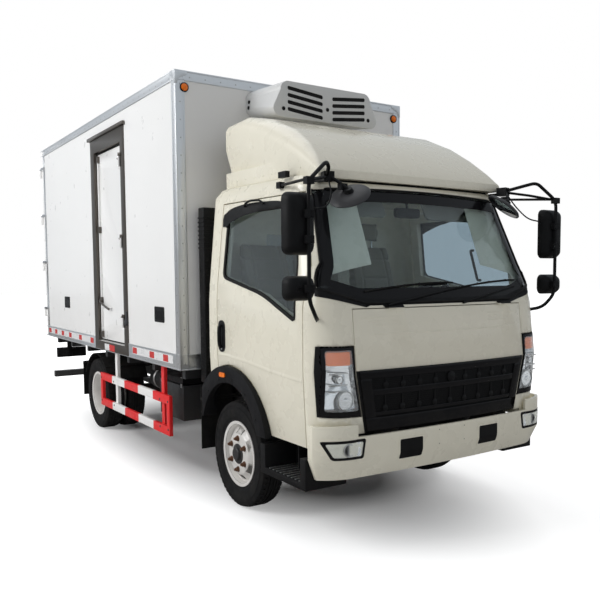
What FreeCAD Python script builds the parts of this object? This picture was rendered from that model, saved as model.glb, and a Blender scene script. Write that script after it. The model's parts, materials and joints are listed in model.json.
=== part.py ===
import FreeCAD, Part
import math
import os
import re

import Sketcher
from FreeCAD import Placement, Rotation, Vector

# A light cab-over refrigerated truck, in millimetres.
# The front is at -Y, the vehicle's left is at +X, and it stands on z = 0.

doc = FreeCAD.newDocument("refrigerated_truck")
sheet = doc.addObject("Spreadsheet::Sheet", "sizes")
sheet_names = []
nodes = []


def add_sizes(group):
    """Write a group of named sizes to the sheet."""
    for name, value in group.items():
        sheet_names.append(name)
        row = len(sheet_names)
        sheet.set(f"A{row}", name)
        sheet.set(f"B{row}", str(value))
        sheet.setAlias(f"B{row}", name)
    sheet.recompute()


def size(name):
    """Read one named size."""
    return float(sheet.get(name))


def formula(text):
    """Point each name in a formula at its cell of the sheet."""
    return re.sub(r"\b[a-z][a-z0-9_]{3,}\b(?!\()", lambda word: "sizes." + word.group(0), text)


def block(name, across, along, up):
    """Make a box from its low and high formulas across X, along Y and up Z."""
    box = doc.addObject("Part::Box", name)
    for axis, side, (low, high) in zip("xyz", ("Length", "Width", "Height"), (across, along, up)):
        box.setExpression("Placement.Base." + axis, formula(low))
        box.setExpression(side, formula(f"({high}) - ({low})"))
    return box


TURN_TO_AXIS = {
    "x": Rotation(Vector(0, 1, 0), 90),
    "y": Rotation(Vector(1, 0, 0), -90),
    "z": Rotation(),
}


def rod(name, axis, centre, radius, reach):
    """Make a cylinder along an axis: centre gives its place, reach its low and high ends."""
    cylinder = doc.addObject("Part::Cylinder", name)
    cylinder.Placement = Placement(Vector(), TURN_TO_AXIS[axis])
    place = dict(zip("xyz", centre))
    place[axis] = reach[0]
    for letter, text in place.items():
        cylinder.setExpression("Placement.Base." + letter, formula(text))
    cylinder.setExpression("Radius", formula(radius))
    cylinder.setExpression("Height", formula(f"({reach[1]}) - ({reach[0]})"))
    return cylinder


SKETCH_PLANES = {"x": "YZ_Plane", "y": "XZ_Plane", "z": "XY_Plane"}


def outline_sketch(body, axis, name, corners):
    """Draw a closed outline whose corners are pairs of formulas."""
    sketch = body.newObject("Sketcher::SketchObject", name + "_outline")
    plane = [item for item in body.Origin.OriginFeatures if item.Role == SKETCH_PLANES[axis]][0]
    sketch.AttachmentSupport = (plane, [""])
    sketch.MapMode = "FlatFace"
    count = len(corners)
    turns = [2 * math.pi * index / count for index in range(count)]
    start = [Vector(math.cos(turn), math.sin(turn), 0) for turn in turns]
    sides = [Part.LineSegment(start[index], start[(index + 1) % count]) for index in range(count)]
    sketch.addGeometry(sides, False)
    for index in range(count):
        sketch.addConstraint(Sketcher.Constraint("Coincident", index, 2, (index + 1) % count, 1))
    for index, pair in enumerate(corners):
        for kind, text, guess in zip(("DistanceX", "DistanceY"), pair, (start[index].x, start[index].y)):
            number = sketch.addConstraint(Sketcher.Constraint(kind, -1, 1, index, 1, guess))
            sketch.setExpression(f"Constraints[{number}]", formula(text))
    return sketch


def prism(name, axis, corners, reach):
    """Pad an outline along an axis. Corners are (Y, Z), (X, Z) or (X, Y) for x, y or z."""
    body = doc.addObject("PartDesign::Body", name)
    sketch = outline_sketch(body, axis, name, corners)
    pad = body.newObject("PartDesign::Pad", name + "_pad")
    pad.Profile = sketch
    pad.setExpression("Length", formula(f"({reach[1]}) - ({reach[0]})"))
    near_end = reach[1] if axis == "y" else reach[0]
    body.setExpression("Placement.Base." + axis, formula(near_end))
    return body


def turned(name, corners, centre):
    """Turn an outline of (X, radius) corners about the X axis through a centre (Y, Z)."""
    body = doc.addObject("PartDesign::Body", name)
    sketch = outline_sketch(body, "y", name, corners)
    revolution = body.newObject("PartDesign::Revolution", name + "_turn")
    revolution.Profile = sketch
    revolution.ReferenceAxis = (sketch, ["H_Axis"])
    revolution.Angle = 360
    body.setExpression("Placement.Base.y", formula(centre[0]))
    body.setExpression("Placement.Base.z", formula(centre[1]))
    return body


def solid(name, shape):
    """Keep a shape that was made with Part's own functions."""
    feature = doc.addObject("Part::Feature", name)
    feature.Shape = shape
    feature.Placement = Placement()
    return feature


def strut(name, start, end, radius):
    """Make a straight round bar between two points."""
    way = end - start
    return solid(name, Part.makeCylinder(radius, way.Length, start, way))


def joined(name, pieces):
    """Fuse pieces that are one solid."""
    fusion = doc.addObject("Part::MultiFuse", name)
    fusion.Shapes = pieces
    return fusion


def less(name, base, tools):
    """Cut tools out of a base."""
    cut = doc.addObject("Part::Cut", name)
    cut.Base = base
    cut.Tool = tools[0] if len(tools) == 1 else joined(name + "_tools", tools)
    return cut


def other_side(name, source):
    """Mirror a piece to the other side of the truck."""
    mirror = doc.addObject("Part::Mirroring", name)
    mirror.Source = source
    mirror.Base = Vector()
    mirror.Normal = Vector(1, 0, 0)
    return mirror


def together(name, pieces):
    """Hold like pieces, which don't touch, as one node."""
    compound = doc.addObject("Part::Compound", name)
    compound.Links = pieces
    return compound


def node(label, piece):
    """Name a finished sub-part, which is written to a file of its own."""
    piece.Label = label
    nodes.append(piece)
    return piece


# Chassis: rails, axles, springs, engine and what hangs below the box.
add_sizes({
    "tiny_gap": 0.3,
    "overrun": 40,
    "wheelbase": 3250,
    "front_axle_place": -1800,
    "tyre_radius": 380,
    "tyre_width": 185,
    "front_wheel_centre": 842.5,
    "rear_outer_centre": 847.5,
    "rear_inner_centre": 622.5,
    "rim_radius": 229,
    "frame_front": -2780,
    "frame_rear": 2900,
    "frame_half_width": 350,
    "rail_top": 740,
    "rail_height": 200,
    "rail_flange": 60,
    "rail_wall": 6,
    "cross_member_depth": 60,
    "cross_member_height": 70,
    "kingpin_place": 745,
    "kingpin_radius": 15,
    "kingpin_reach": 95,
    "eye_radius": 38,
    "eye_half_height": 55,
    "beam_half_width": 35,
    "beam_top": 370,
    "beam_height": 70,
    "axle_tube_radius": 60,
    "axle_tube_end": 520,
    "differential_radius": 160,
    "differential_half_width": 110,
    "spring_centre": 320,
    "spring_width": 70,
    "spring_depth": 50,
    "front_spring_half": 560,
    "rear_spring_half": 640,
    "front_spring_rise": 90,
    "rear_spring_rise": 45,
    "hanger_length": 50,
    "engine_half_width": 260,
    "engine_front": -2450,
    "engine_rear": -1560,
    "engine_bottom": 450,
    "engine_top": 890,
    "engine_mount_height": 40,
    "gearbox_half_width": 150,
    "gearbox_rear": -950,
    "gearbox_bottom": 430,
    "gearbox_top": 720,
    "shaft_radius": 42,
    "tank_inner": 400,
    "tank_outer": 860,
    "tank_front": -700,
    "tank_rear": 250,
    "tank_bottom": 420,
    "tank_top": 780,
    "strap_width": 50,
    "strap_thickness": 6,
    "battery_front": -700,
    "battery_rear": -180,
    "battery_top": 720,
    "air_tank_radius": 105,
    "air_tank_front": 60,
    "air_tank_rear": 760,
    "air_tank_place": 500,
    "air_tank_height": 600,
    "muffler_radius": 95,
    "muffler_front": 430,
    "muffler_rear": 900,
    "muffler_place": 520,
    "muffler_height": 560,
    "pipe_radius": 28,
})
REAR_AXLE = "(front_axle_place + wheelbase)"
RAIL_BOTTOM = "(rail_top - rail_height)"
rear_axle_place = size("front_axle_place") + size("wheelbase")
rail_bottom = size("rail_top") - size("rail_height")

left_rail = prism("left_rail", "y", [
    ("frame_half_width", RAIL_BOTTOM),
    ("frame_half_width", "rail_top"),
    ("frame_half_width - rail_flange", "rail_top"),
    ("frame_half_width - rail_flange", "rail_top - rail_wall"),
    ("frame_half_width - rail_wall", "rail_top - rail_wall"),
    ("frame_half_width - rail_wall", RAIL_BOTTOM + " + rail_wall"),
    ("frame_half_width - rail_flange", RAIL_BOTTOM + " + rail_wall"),
    ("frame_half_width - rail_flange", RAIL_BOTTOM),
], ("frame_front", "frame_rear"))
right_rail = other_side("right_rail", left_rail)
CROSS_MEMBER_SHARES = [0.0, 0.335, 0.45, 0.645, 0.83, 0.989]
cross_members = []
for number, share in enumerate(CROSS_MEMBER_SHARES):
    front_face = f"(frame_front + (frame_rear - frame_front) * {share})"
    cross_members.append(block(
        f"cross_member_{number}",
        ("-frame_half_width + rail_wall", "frame_half_width - rail_wall"),
        (front_face, front_face + " + cross_member_depth"),
        ("rail_top - rail_wall - cross_member_height", "rail_top - rail_wall"),
    ))
frame_pieces = [left_rail, right_rail] + cross_members

beam = prism("beam", "y", [
    ("-kingpin_place", "tyre_radius - eye_half_height / 2"),
    ("-kingpin_place + eye_radius", "tyre_radius - eye_half_height / 2"),
    ("-kingpin_place + beam_height", "beam_top - beam_height"),
    ("kingpin_place - beam_height", "beam_top - beam_height"),
    ("kingpin_place - eye_radius", "tyre_radius - eye_half_height / 2"),
    ("kingpin_place", "tyre_radius - eye_half_height / 2"),
    ("kingpin_place", "tyre_radius + eye_half_height / 2"),
    ("kingpin_place - beam_height", "tyre_radius + eye_half_height / 2"),
    ("spring_centre + beam_height", "beam_top"),
    ("-spring_centre - beam_height", "beam_top"),
    ("-kingpin_place + beam_height", "tyre_radius + eye_half_height / 2"),
    ("-kingpin_place", "tyre_radius + eye_half_height / 2"),
], ("front_axle_place - beam_half_width", "front_axle_place + beam_half_width"))
EYE_REACH = ("tyre_radius - eye_half_height", "tyre_radius + eye_half_height")
left_eye = rod("left_eye", "z", ("kingpin_place", "front_axle_place", "0"), "eye_radius", EYE_REACH)
beam_with_eyes = joined("beam_with_eyes", [beam, left_eye, other_side("right_eye", left_eye)])
left_bore = rod(
    "left_bore", "z", ("kingpin_place", "front_axle_place", "0"), "kingpin_radius + tiny_gap",
    ("tyre_radius - eye_half_height - overrun", "tyre_radius + eye_half_height + overrun"),
)
right_bore = other_side("right_bore", left_bore)
node("front_axle", less("front_axle_beam", beam_with_eyes, [left_bore, right_bore]))

axle_tube = rod(
    "axle_tube", "x", ("0", REAR_AXLE, "tyre_radius"), "axle_tube_radius",
    ("-axle_tube_end + tiny_gap", "axle_tube_end - tiny_gap"),
)
differential = rod(
    "differential", "x", ("0", REAR_AXLE, "tyre_radius"), "differential_radius",
    ("-differential_half_width", "differential_half_width"),
)
hub_spindle = rod(
    "hub_spindle", "x", ("0", REAR_AXLE, "tyre_radius"), "axle_tube_radius / 2",
    ("-rear_inner_centre", "rear_inner_centre"),
)
shaft_start = Vector(0, size("gearbox_rear"), (size("gearbox_bottom") + size("gearbox_top")) / 2)
shaft_end = Vector(0, rear_axle_place, size("tyre_radius"))
drive_shaft = less("drive_shaft_end", strut("drive_shaft", shaft_start, shaft_end, size("shaft_radius")), [
    block(
        "behind_gearbox", ("-gearbox_half_width", "gearbox_half_width"),
        ("gearbox_rear - overrun", "gearbox_rear"),
          ("gearbox_bottom", "gearbox_top"))])
node("rear_axle", joined("rear_axle_housing", [axle_tube, differential, hub_spindle, drive_shaft]))


def spring(name, place, half, seat, rise):
    """Make a leaf spring: an arched stack on its axle, with a hanger at each end up to the rail."""
    depth = size("spring_depth")
    width = size("spring_width")
    low = size("spring_centre") - width / 2
    lower = [
        Vector(low, place - half, seat + rise), Vector(low, place, seat),
        Vector(low, place + half, seat + rise)]
    upper = [point + Vector(0, 0, depth) for point in reversed(lower)]
    wire = Part.Wire([
        Part.Arc(*lower).toShape(),
        Part.makeLine(lower[2], upper[0]),
        Part.Arc(*upper).toShape(),
        Part.makeLine(upper[2], lower[0]),
    ])
    stack = Part.Face(wire).extrude(Vector(width, 0, 0))
    hanger = size("hanger_length")
    shape = stack
    for end in (place - half, place + half - hanger):
        height = rail_bottom - seat - rise
        shape = shape.fuse(Part.makeBox(width, hanger, height, Vector(low, end, seat + rise)))
    return solid(name, shape)


springs = [
    spring(
        "front_spring", size("front_axle_place"), size("front_spring_half"),
        size("beam_top"), size("front_spring_rise")),
    spring(
        "rear_spring", rear_axle_place, size("rear_spring_half"),
        size("tyre_radius") + size("axle_tube_radius"), size("rear_spring_rise")),
]
springs += [other_side("right_" + item.Name, item) for item in springs]
node("leaf_springs", together("spring_set", springs))

engine = block(
    "engine", ("-engine_half_width", "engine_half_width"), ("engine_front", "engine_rear"),
    ("engine_bottom", "engine_top"))
engine_mount = block(
    "engine_mount", ("-frame_half_width + rail_wall", "frame_half_width - rail_wall"),
    ("(engine_front + engine_rear) / 2 - engine_mount_height", "(engine_front + engine_rear) / 2"),
    ("rail_top - rail_height / 2", "rail_top - rail_height / 2 + engine_mount_height"))
gearbox = block(
    "gearbox", ("-gearbox_half_width", "gearbox_half_width"), ("engine_rear", "gearbox_rear"),
    ("gearbox_bottom", "gearbox_top"))
node("engine_block", joined("engine_and_gearbox", [engine, engine_mount, gearbox]))

HUNG_SHARES = (0.2, 0.8)


def hung_box(name, side, outer, front, rear, top):
    """Make a box beside the rails, with two straps back to the web."""
    inner = "tank_inner"
    across = (inner, outer) if side > 0 else ("-" + outer, "-" + inner)
    web = ("frame_half_width", inner) if side > 0 else ("-" + inner, "-frame_half_width")
    pieces = [block(name + "_body", across, (front, rear), ("tank_bottom", top))]
    for share in HUNG_SHARES:
        place = f"({front} + ({rear} - ({front})) * {share})"
        pieces.append(block(
            f"{name}_strap_{len(pieces)}", web, (place, place + " + strap_width"),
            (RAIL_BOTTOM, RAIL_BOTTOM + " + strap_width")))
    return joined(name, pieces)


node("fuel_tank", hung_box("tank", 1, "tank_outer", "tank_front", "tank_rear", "tank_top"))
battery_box = hung_box("battery", -1, "tank_outer", "battery_front", "battery_rear", "battery_top")
air_tank = rod(
    "air_tank_body", "y", ("-air_tank_place", "0", "air_tank_height"), "air_tank_radius",
    ("air_tank_front", "air_tank_rear"))
air_strap = block(
    "air_strap", ("-air_tank_place", "-frame_half_width"),
    ("(air_tank_front + air_tank_rear) / 2", "(air_tank_front + air_tank_rear) / 2 + strap_width"),
    ("air_tank_height - strap_width / 2", "air_tank_height + strap_width / 2"))
air_tank_hung = joined("air_tank_and_strap", [air_tank, air_strap])
node("battery_and_air_tank", together("battery_and_tank", [battery_box, air_tank_hung]))
muffler = rod(
    "muffler", "y", ("muffler_place", "0", "muffler_height"), "muffler_radius",
    ("muffler_front", "muffler_rear"))
muffler_strap = block(
    "muffler_strap", ("frame_half_width", "muffler_place"),
    ("(muffler_front + muffler_rear) / 2", "(muffler_front + muffler_rear) / 2 + strap_width"),
    ("muffler_height", "muffler_height + strap_width"))
tail_pipe = rod(
    "tail_pipe", "x", ("0", "muffler_rear - muffler_radius", "muffler_height - muffler_radius / 2"),
    "pipe_radius",
    ("muffler_place", "rear_outer_centre"))
node("exhaust", joined("exhaust_line", [muffler, muffler_strap, tail_pipe]))

# Guards, flaps, steps and lamps that the chassis carries.
add_sizes({
    "guard_outer": 1036,
    "guard_thickness": 30,
    "guard_front": -817,
    "guard_rear": 1005,
    "guard_top": 667,
    "guard_bottom": 335,
    "guard_rail_height": 72,
    "guard_post_width": 60,
    "guard_post_front": -640,
    "guard_post_rear": 560,
    "mudguard_clearance": 50,
    "mudguard_thickness": 8,
    "mudguard_inner": 515,
    "mudguard_outer": 945,
    "mudguard_drop": 190,
    "stay_radius": 14,
    "flap_thickness": 8,
    "front_flap_place": -1330,
    "front_flap_inner": 720,
    "front_flap_outer": 985,
    "front_flap_bottom": 330,
    "front_flap_top": 810,
    "front_stay_height": 715,
    "rear_flap_place": 1905,
    "rear_flap_inner": 540,
    "rear_flap_outer": 955,
    "rear_flap_bottom": 305,
    "rear_flap_top": 690,
    "rear_stay_height": 662,
    "underrun_half": 1028,
    "underrun_front": 2880,
    "underrun_rear": 2950,
    "underrun_bottom": 400,
    "underrun_top": 475,
    "lamp_inner": 640,
    "lamp_outer": 990,
    "lamp_bottom": 640,
    "lamp_top": 760,
    "lamp_front": 2890,
    "lamp_rear": 2945,
    "lamp_post_width": 60,
    "step_inner": 700,
    "step_outer": 1000,
    "step_front": -2800,
    "step_rear": -2262,
    "step_bottom": 368,
    "step_top": 560,
    "step_tread": 40,
    "step_skin": 60,
    "box_bottom": 920,
})
guard_parts = []
for label, low in (("top", "guard_top - guard_rail_height"), ("bottom", "guard_bottom")):
    guard_parts.append(block(
        f"guard_{label}_rail", ("guard_outer - guard_thickness", "guard_outer"),
        ("guard_front", "guard_rear"),
        (low, low + " + guard_rail_height")))
for label, place in (("front", "guard_front"), ("rear", "guard_rear - guard_post_width")):
    guard_parts.append(block(
        f"guard_{label}_end", ("guard_outer - guard_thickness", "guard_outer"),
        (place, place + " + guard_post_width"), ("guard_bottom", "guard_top")))
for label, place in (("front", "guard_post_front"), ("rear", "guard_post_rear")):
    guard_parts.append(block(
        f"guard_{label}_post", ("guard_outer - 2 * guard_thickness", "guard_outer - guard_thickness"),
        (place, place + " + guard_post_width"), ("guard_bottom", "box_bottom")))
left_guard = joined("left_guard", guard_parts)
node("side_guards", together("guard_pair", [left_guard, other_side("right_guard", left_guard)]))


def mudguard():
    """Make the arched guard over a pair of rear tyres, with its stays to the rail."""
    inner_radius = size("tyre_radius") + size("mudguard_clearance")
    outer_radius = inner_radius + size("mudguard_thickness")
    width = size("mudguard_outer") - size("mudguard_inner")
    centre = Vector(size("mudguard_inner"), rear_axle_place, size("tyre_radius"))
    ring = Part.makeCylinder(outer_radius, width, centre, Vector(1, 0, 0))
    ring = ring.cut(Part.makeCylinder(inner_radius, width, centre, Vector(1, 0, 0)))
    low = centre + Vector(-size("overrun"), -2 * outer_radius, -2 * outer_radius)
    shape = ring.cut(Part.makeBox(
        width + 2 * size("overrun"), 4 * outer_radius, 2 * outer_radius + size("mudguard_drop"), low))
    middle = (inner_radius + outer_radius) / 2
    height = rail_bottom + size("rail_height") * 3 / 4 - size("tyre_radius")
    reach = math.sqrt(middle ** 2 - height ** 2)
    for side in (-1, 1):
        start = Vector(
            size("frame_half_width"), rear_axle_place + side * reach, size("tyre_radius") + height)
        end = Vector(size("mudguard_outer"), start.y, start.z)
        shape = shape.fuse(Part.makeCylinder(size("stay_radius"), end.x - start.x, start, Vector(1, 0, 0)))
    return solid("left_mudguard", shape)


left_mudguard = mudguard()

flaps = []
for label in ("front", "rear"):
    place = f"{label}_flap_place"
    plate = block(
        f"{label}_flap_plate", (f"{label}_flap_inner", f"{label}_flap_outer"),
        (place, place + " + flap_thickness"),
        (f"{label}_flap_bottom", f"{label}_flap_top"))
    stay = rod(
        f"{label}_flap_stay", "x", ("0", place + " + flap_thickness / 2", f"{label}_stay_height"),
        "stay_radius", ("frame_half_width", f"{label}_flap_outer"))
    flaps.append(joined(f"left_{label}_flap", [plate, stay]))
flaps += [other_side("other_" + item.Name, item) for item in flaps]
node("mudguards_and_flaps", together(
    "mudguard_set", [left_mudguard, other_side("right_mudguard", left_mudguard)] + flaps))

underrun_bar = block(
    "underrun_bar", ("-underrun_half", "underrun_half"), ("underrun_front", "underrun_rear"),
    ("underrun_bottom", "underrun_top"))
underrun_post = block(
    "underrun_post", ("frame_half_width - rail_flange", "frame_half_width"),
    ("underrun_front - lamp_post_width", "frame_rear"),
    ("underrun_bottom", RAIL_BOTTOM))
node("rear_underrun_bar", joined(
    "underrun_pieces", [underrun_bar, underrun_post, other_side("right_underrun_post", underrun_post)]))

lamp_case = block(
    "lamp_case", ("lamp_inner", "lamp_outer"), ("lamp_front", "lamp_rear"), ("lamp_bottom", "lamp_top"))
lamp_post = block(
    "lamp_post", ("(lamp_inner + lamp_outer) / 2", "(lamp_inner + lamp_outer) / 2 + lamp_post_width"),
    ("lamp_front - strap_thickness", "lamp_front"), ("lamp_bottom", "box_bottom"))
left_lamp = joined("left_rear_lamp", [lamp_case, lamp_post])
node("rear_lamps", together("rear_lamp_pair", [left_lamp, other_side("right_rear_lamp", left_lamp)]))

step_body = block(
    "step_body", ("step_inner", "step_outer"), ("step_front", "step_rear"), ("step_bottom", "step_top"))
step_well = block(
    "step_well", ("step_inner + step_skin", "step_outer + overrun"),
    ("step_front + step_skin", "step_rear - step_skin"), ("step_bottom + step_tread", "step_top + overrun"))
step_arm = block(
    "step_arm", ("frame_half_width", "step_inner"),
    ("(step_front + step_rear) / 2", "(step_front + step_rear) / 2 + step_skin"), (RAIL_BOTTOM, "step_top"))
left_step = joined("left_step", [less("step_cup", step_body, [step_well]), step_arm])
node("cab_steps", together("step_pair", [left_step, other_side("right_step", left_step)]))

# Insulated box: floor, walls, roof, rear portal, edge rails and side door frame.
add_sizes({
    "box_front": -1190,
    "box_rear": 2896,
    "box_half_width": 1090,
    "box_top": 3175,
    "edge_proud": 5,
    "wall_thickness": 75,
    "floor_thickness": 90,
    "portal_depth": 60,
    "bottom_rail_height": 123,
    "top_rail_height": 77,
    "corner_post_width": 78,
    "sill_height": 100,
    "side_frame_front": -30,
    "side_frame_rear": 965,
    "side_frame_top": 2972,
    "side_frame_bottom": 925,
    "side_opening_front": 80,
    "side_opening_rear": 857,
    "side_opening_top": 2845,
    "drip_rail_height": 30,
    "drip_rail_proud": 22,
    "side_door_gap": 5,
    "side_door_recess": 36,
    "side_door_thickness": 60,
    "side_hinge_proud": 12,
    "side_hinge_inset": 4,
    "hinge_radius": 9,
    "hinge_plate": 6,
    "hinge_height": 90,
    "hinge_reach": 150,
    "bracket_height": 30,
    "side_hinge_low": 1224,
    "side_hinge_middle": 1945,
    "side_hinge_high": 2668,
    "lock_radius": 12,
    "lock_stand": 14,
    "side_lock_place": 800,
    "handle_height": 1345,
    "handle_length": 300,
    "handle_radius": 11,
    "rear_door_gap": 6,
    "rear_door_thickness": 70,
    "rear_hinge_proud": 12,
    "rear_hinge_back": 15,
    "rear_hinge_reach": 220,
    "rear_hinge_count": 4,
    "rear_lock_place": 330,
})
FLOOR_TOP = "(box_bottom + floor_thickness)"
ROOF_BOTTOM = "(box_top - edge_proud - wall_thickness)"
WALL_OUTER = "(box_half_width - edge_proud)"
WALL_INNER = "(box_half_width - edge_proud - wall_thickness)"
WALL_FRONT = "(box_front + edge_proud)"
WALL_REAR = "(box_rear - portal_depth)"

sill = block(
    "left_sill", ("frame_half_width - rail_flange", "frame_half_width"), ("box_front", WALL_REAR),
    ("rail_top", "rail_top + sill_height"))
bearers = []
BEARER_SHARES = [0.02, 0.18, 0.34, 0.50, 0.66, 0.82, 0.97]
for number, share in enumerate(BEARER_SHARES):
    place = f"(box_front + (box_rear - portal_depth - box_front) * {share})"
    bearers.append(block(
        f"bearer_{number}", ("-box_half_width + wall_thickness", "box_half_width - wall_thickness"),
        (place, place + " + cross_member_depth"), ("rail_top + sill_height", "box_bottom")))
node("box_subframe", joined("subframe", [sill, other_side("right_sill", sill)] + bearers))

node("box_floor", block(
    "floor_panel", ("-" + WALL_INNER, WALL_INNER), (WALL_FRONT + " + wall_thickness", WALL_REAR),
    ("box_bottom", FLOOR_TOP)))
node("box_roof", block(
    "roof_panel", ("-" + WALL_OUTER, WALL_OUTER), (WALL_FRONT, WALL_REAR),
    (ROOF_BOTTOM, "box_top - edge_proud")))
node("box_wall_left", block(
    "left_wall_panel", (WALL_INNER, WALL_OUTER), (WALL_FRONT, WALL_REAR), ("box_bottom", ROOF_BOTTOM)))
right_panel = block(
    "right_wall_panel", ("-" + WALL_OUTER, "-" + WALL_INNER), (WALL_FRONT, WALL_REAR),
    ("box_bottom", ROOF_BOTTOM))
THROUGH_RIGHT = ("-box_half_width - overrun", "-" + WALL_INNER + " + overrun")
doorway = block(
    "doorway", THROUGH_RIGHT, ("side_frame_front", "side_frame_rear"),
    (FLOOR_TOP, "side_frame_top"))
node("box_wall_right", less("right_wall", right_panel, [doorway]))
node("box_front_wall", block(
    "front_panel", ("-" + WALL_INNER, WALL_INNER), (WALL_FRONT, WALL_FRONT + " + wall_thickness"),
    ("box_bottom", ROOF_BOTTOM)))

portal_plate = block(
    "portal_plate", ("-box_half_width", "box_half_width"), (WALL_REAR, "box_rear"),
    ("box_bottom", "box_top"))
portal_hole = block(
    "portal_hole", ("-" + WALL_INNER, WALL_INNER), (WALL_REAR + " - overrun", "box_rear + overrun"),
    (FLOOR_TOP, ROOF_BOTTOM))
REAR_PIN = (
    "box_half_width + rear_hinge_proud",
    "box_rear + rear_door_gap + rear_door_thickness + rear_hinge_back")

HALF_SHARE = 0.5


def rear_hinge_middle(number):
    """Give the formula for the height of one rear hinge's middle."""
    return f"(box_bottom + (box_top - box_bottom) * ({number} + {HALF_SHARE}) / rear_hinge_count)"


rear_brackets = []
for number in range(int(size("rear_hinge_count"))):
    low = rear_hinge_middle(number) + " + hinge_height / 2 + tiny_gap"
    reach = (low, low + " + bracket_height")
    bracket_rod = rod("rear_bracket_rod", "z", (REAR_PIN[0], REAR_PIN[1], "0"), "hinge_radius", reach)
    bracket_plate = block(
        "rear_bracket_plate", ("box_half_width", REAR_PIN[0]), (WALL_REAR, REAR_PIN[1]), reach)
    rear_brackets += [bracket_rod, bracket_plate]
rear_brackets += [other_side("other_" + item.Name, item) for item in rear_brackets]
portal_ring = less("portal", portal_plate, [portal_hole])
node("box_rear_portal", joined("portal_and_brackets", [portal_ring] + rear_brackets))

edge_block = block(
    "edge_block", ("-box_half_width", "box_half_width"), ("box_front", WALL_REAR),
    ("box_bottom", "box_top"))
edge_hollow = block(
    "edge_hollow", ("-" + WALL_OUTER, WALL_OUTER), (WALL_FRONT, WALL_REAR + " + overrun"),
    ("box_bottom - overrun", "box_top - edge_proud"))
edge_side_window = block(
    "edge_side_window", ("-box_half_width - overrun", "box_half_width + overrun"),
    ("box_front + corner_post_width", WALL_REAR + " + overrun"),
    ("box_bottom + bottom_rail_height", "box_top - top_rail_height"))
edge_front_window = block(
    "edge_front_window", ("-box_half_width + corner_post_width", "box_half_width - corner_post_width"),
    ("box_front - overrun", WALL_REAR + " + overrun"),
    ("box_bottom + bottom_rail_height", "box_top - top_rail_height"))
edge_top_window = block(
    "edge_top_window", ("-box_half_width + corner_post_width", "box_half_width - corner_post_width"),
    ("box_front + corner_post_width", WALL_REAR + " + overrun"),
    (ROOF_BOTTOM, "box_top + overrun"))
edge_doorway = block(
    "edge_doorway", THROUGH_RIGHT, ("side_frame_front", "side_frame_rear"),
    ("side_frame_bottom", "side_frame_top"))
node("box_edge_rails", less("edge_rails", edge_block, [
    edge_hollow, edge_side_window, edge_front_window, edge_top_window, edge_doorway]))

door_frame_block = block(
    "door_frame_block", ("-box_half_width", "-" + WALL_INNER), ("side_frame_front", "side_frame_rear"),
    (FLOOR_TOP, "side_frame_top"))
door_frame_sill = block(
    "door_frame_sill", ("-box_half_width", "-" + WALL_OUTER), ("side_frame_front", "side_frame_rear"),
    ("side_frame_bottom", FLOOR_TOP))
door_frame_hole = block(
    "door_frame_hole", THROUGH_RIGHT, ("side_opening_front", "side_opening_rear"),
    (FLOOR_TOP, "side_opening_top"))
drip_rail = block(
    "drip_rail", ("-box_half_width - drip_rail_proud", "-" + WALL_OUTER),
    ("side_frame_front - drip_rail_height", "side_frame_rear + drip_rail_height"),
    ("side_frame_top", "side_frame_top + drip_rail_height"))
SIDE_PIN = ("-box_half_width - side_hinge_proud", "side_opening_front - side_hinge_inset")
side_brackets = []
for label in ("low", "middle", "high"):
    low = f"side_hinge_{label} + hinge_height / 2 + tiny_gap"
    reach = (low, low + " + bracket_height")
    side_brackets.append(rod(
        f"side_bracket_{label}", "z", (SIDE_PIN[0], SIDE_PIN[1], "0"), "hinge_radius", reach))
    side_brackets.append(block(
        f"side_bracket_foot_{label}", (SIDE_PIN[0], "-box_half_width"),
        (SIDE_PIN[1] + " - bracket_height", SIDE_PIN[1]), reach))
node("side_door_frame", joined("side_frame", [
    less("side_frame_ring", door_frame_block, [door_frame_hole]),
    door_frame_sill, drip_rail] + side_brackets))

# Side door: a leaf set back in its frame, on three hinges at its front edge.
LEAF_OUTER = "(-box_half_width + side_door_recess)"
side_leaf = block(
    "side_leaf", (LEAF_OUTER, LEAF_OUTER + " + side_door_thickness"),
    ("side_opening_front + side_door_gap", "side_opening_rear - side_door_gap"),
    (FLOOR_TOP + " + side_door_gap", "side_opening_top - side_door_gap"))
side_door_pieces = [side_leaf]
for label in ("low", "middle", "high"):
    middle = f"side_hinge_{label}"
    half = "hinge_height / 2"
    side_door_pieces.append(rod(
        f"side_knuckle_{label}", "z", (SIDE_PIN[0], SIDE_PIN[1], "0"), "hinge_radius",
        (f"{middle} - {half}", f"{middle} + {half}")))
    side_door_pieces.append(block(
        f"side_neck_{label}", (SIDE_PIN[0], LEAF_OUTER),
        ("side_opening_front + side_door_gap", "side_opening_front + side_door_gap + hinge_plate"),
        (f"{middle} - {half}", f"{middle} + {half}")))
    side_door_pieces.append(block(
        f"side_tab_{label}", (SIDE_PIN[0] + " - hinge_plate / 2", SIDE_PIN[0] + " + hinge_plate / 2"),
        (SIDE_PIN[1], "side_opening_front + side_door_gap + hinge_plate"),
        (f"{middle} - {half}", f"{middle} + {half}")))
    side_door_pieces.append(block(
        f"side_strap_{label}", (LEAF_OUTER + " - hinge_plate", LEAF_OUTER),
        ("side_opening_front + side_door_gap", "side_opening_front + hinge_reach"),
        (f"{middle} - {half}", f"{middle} + {half}")))

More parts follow.
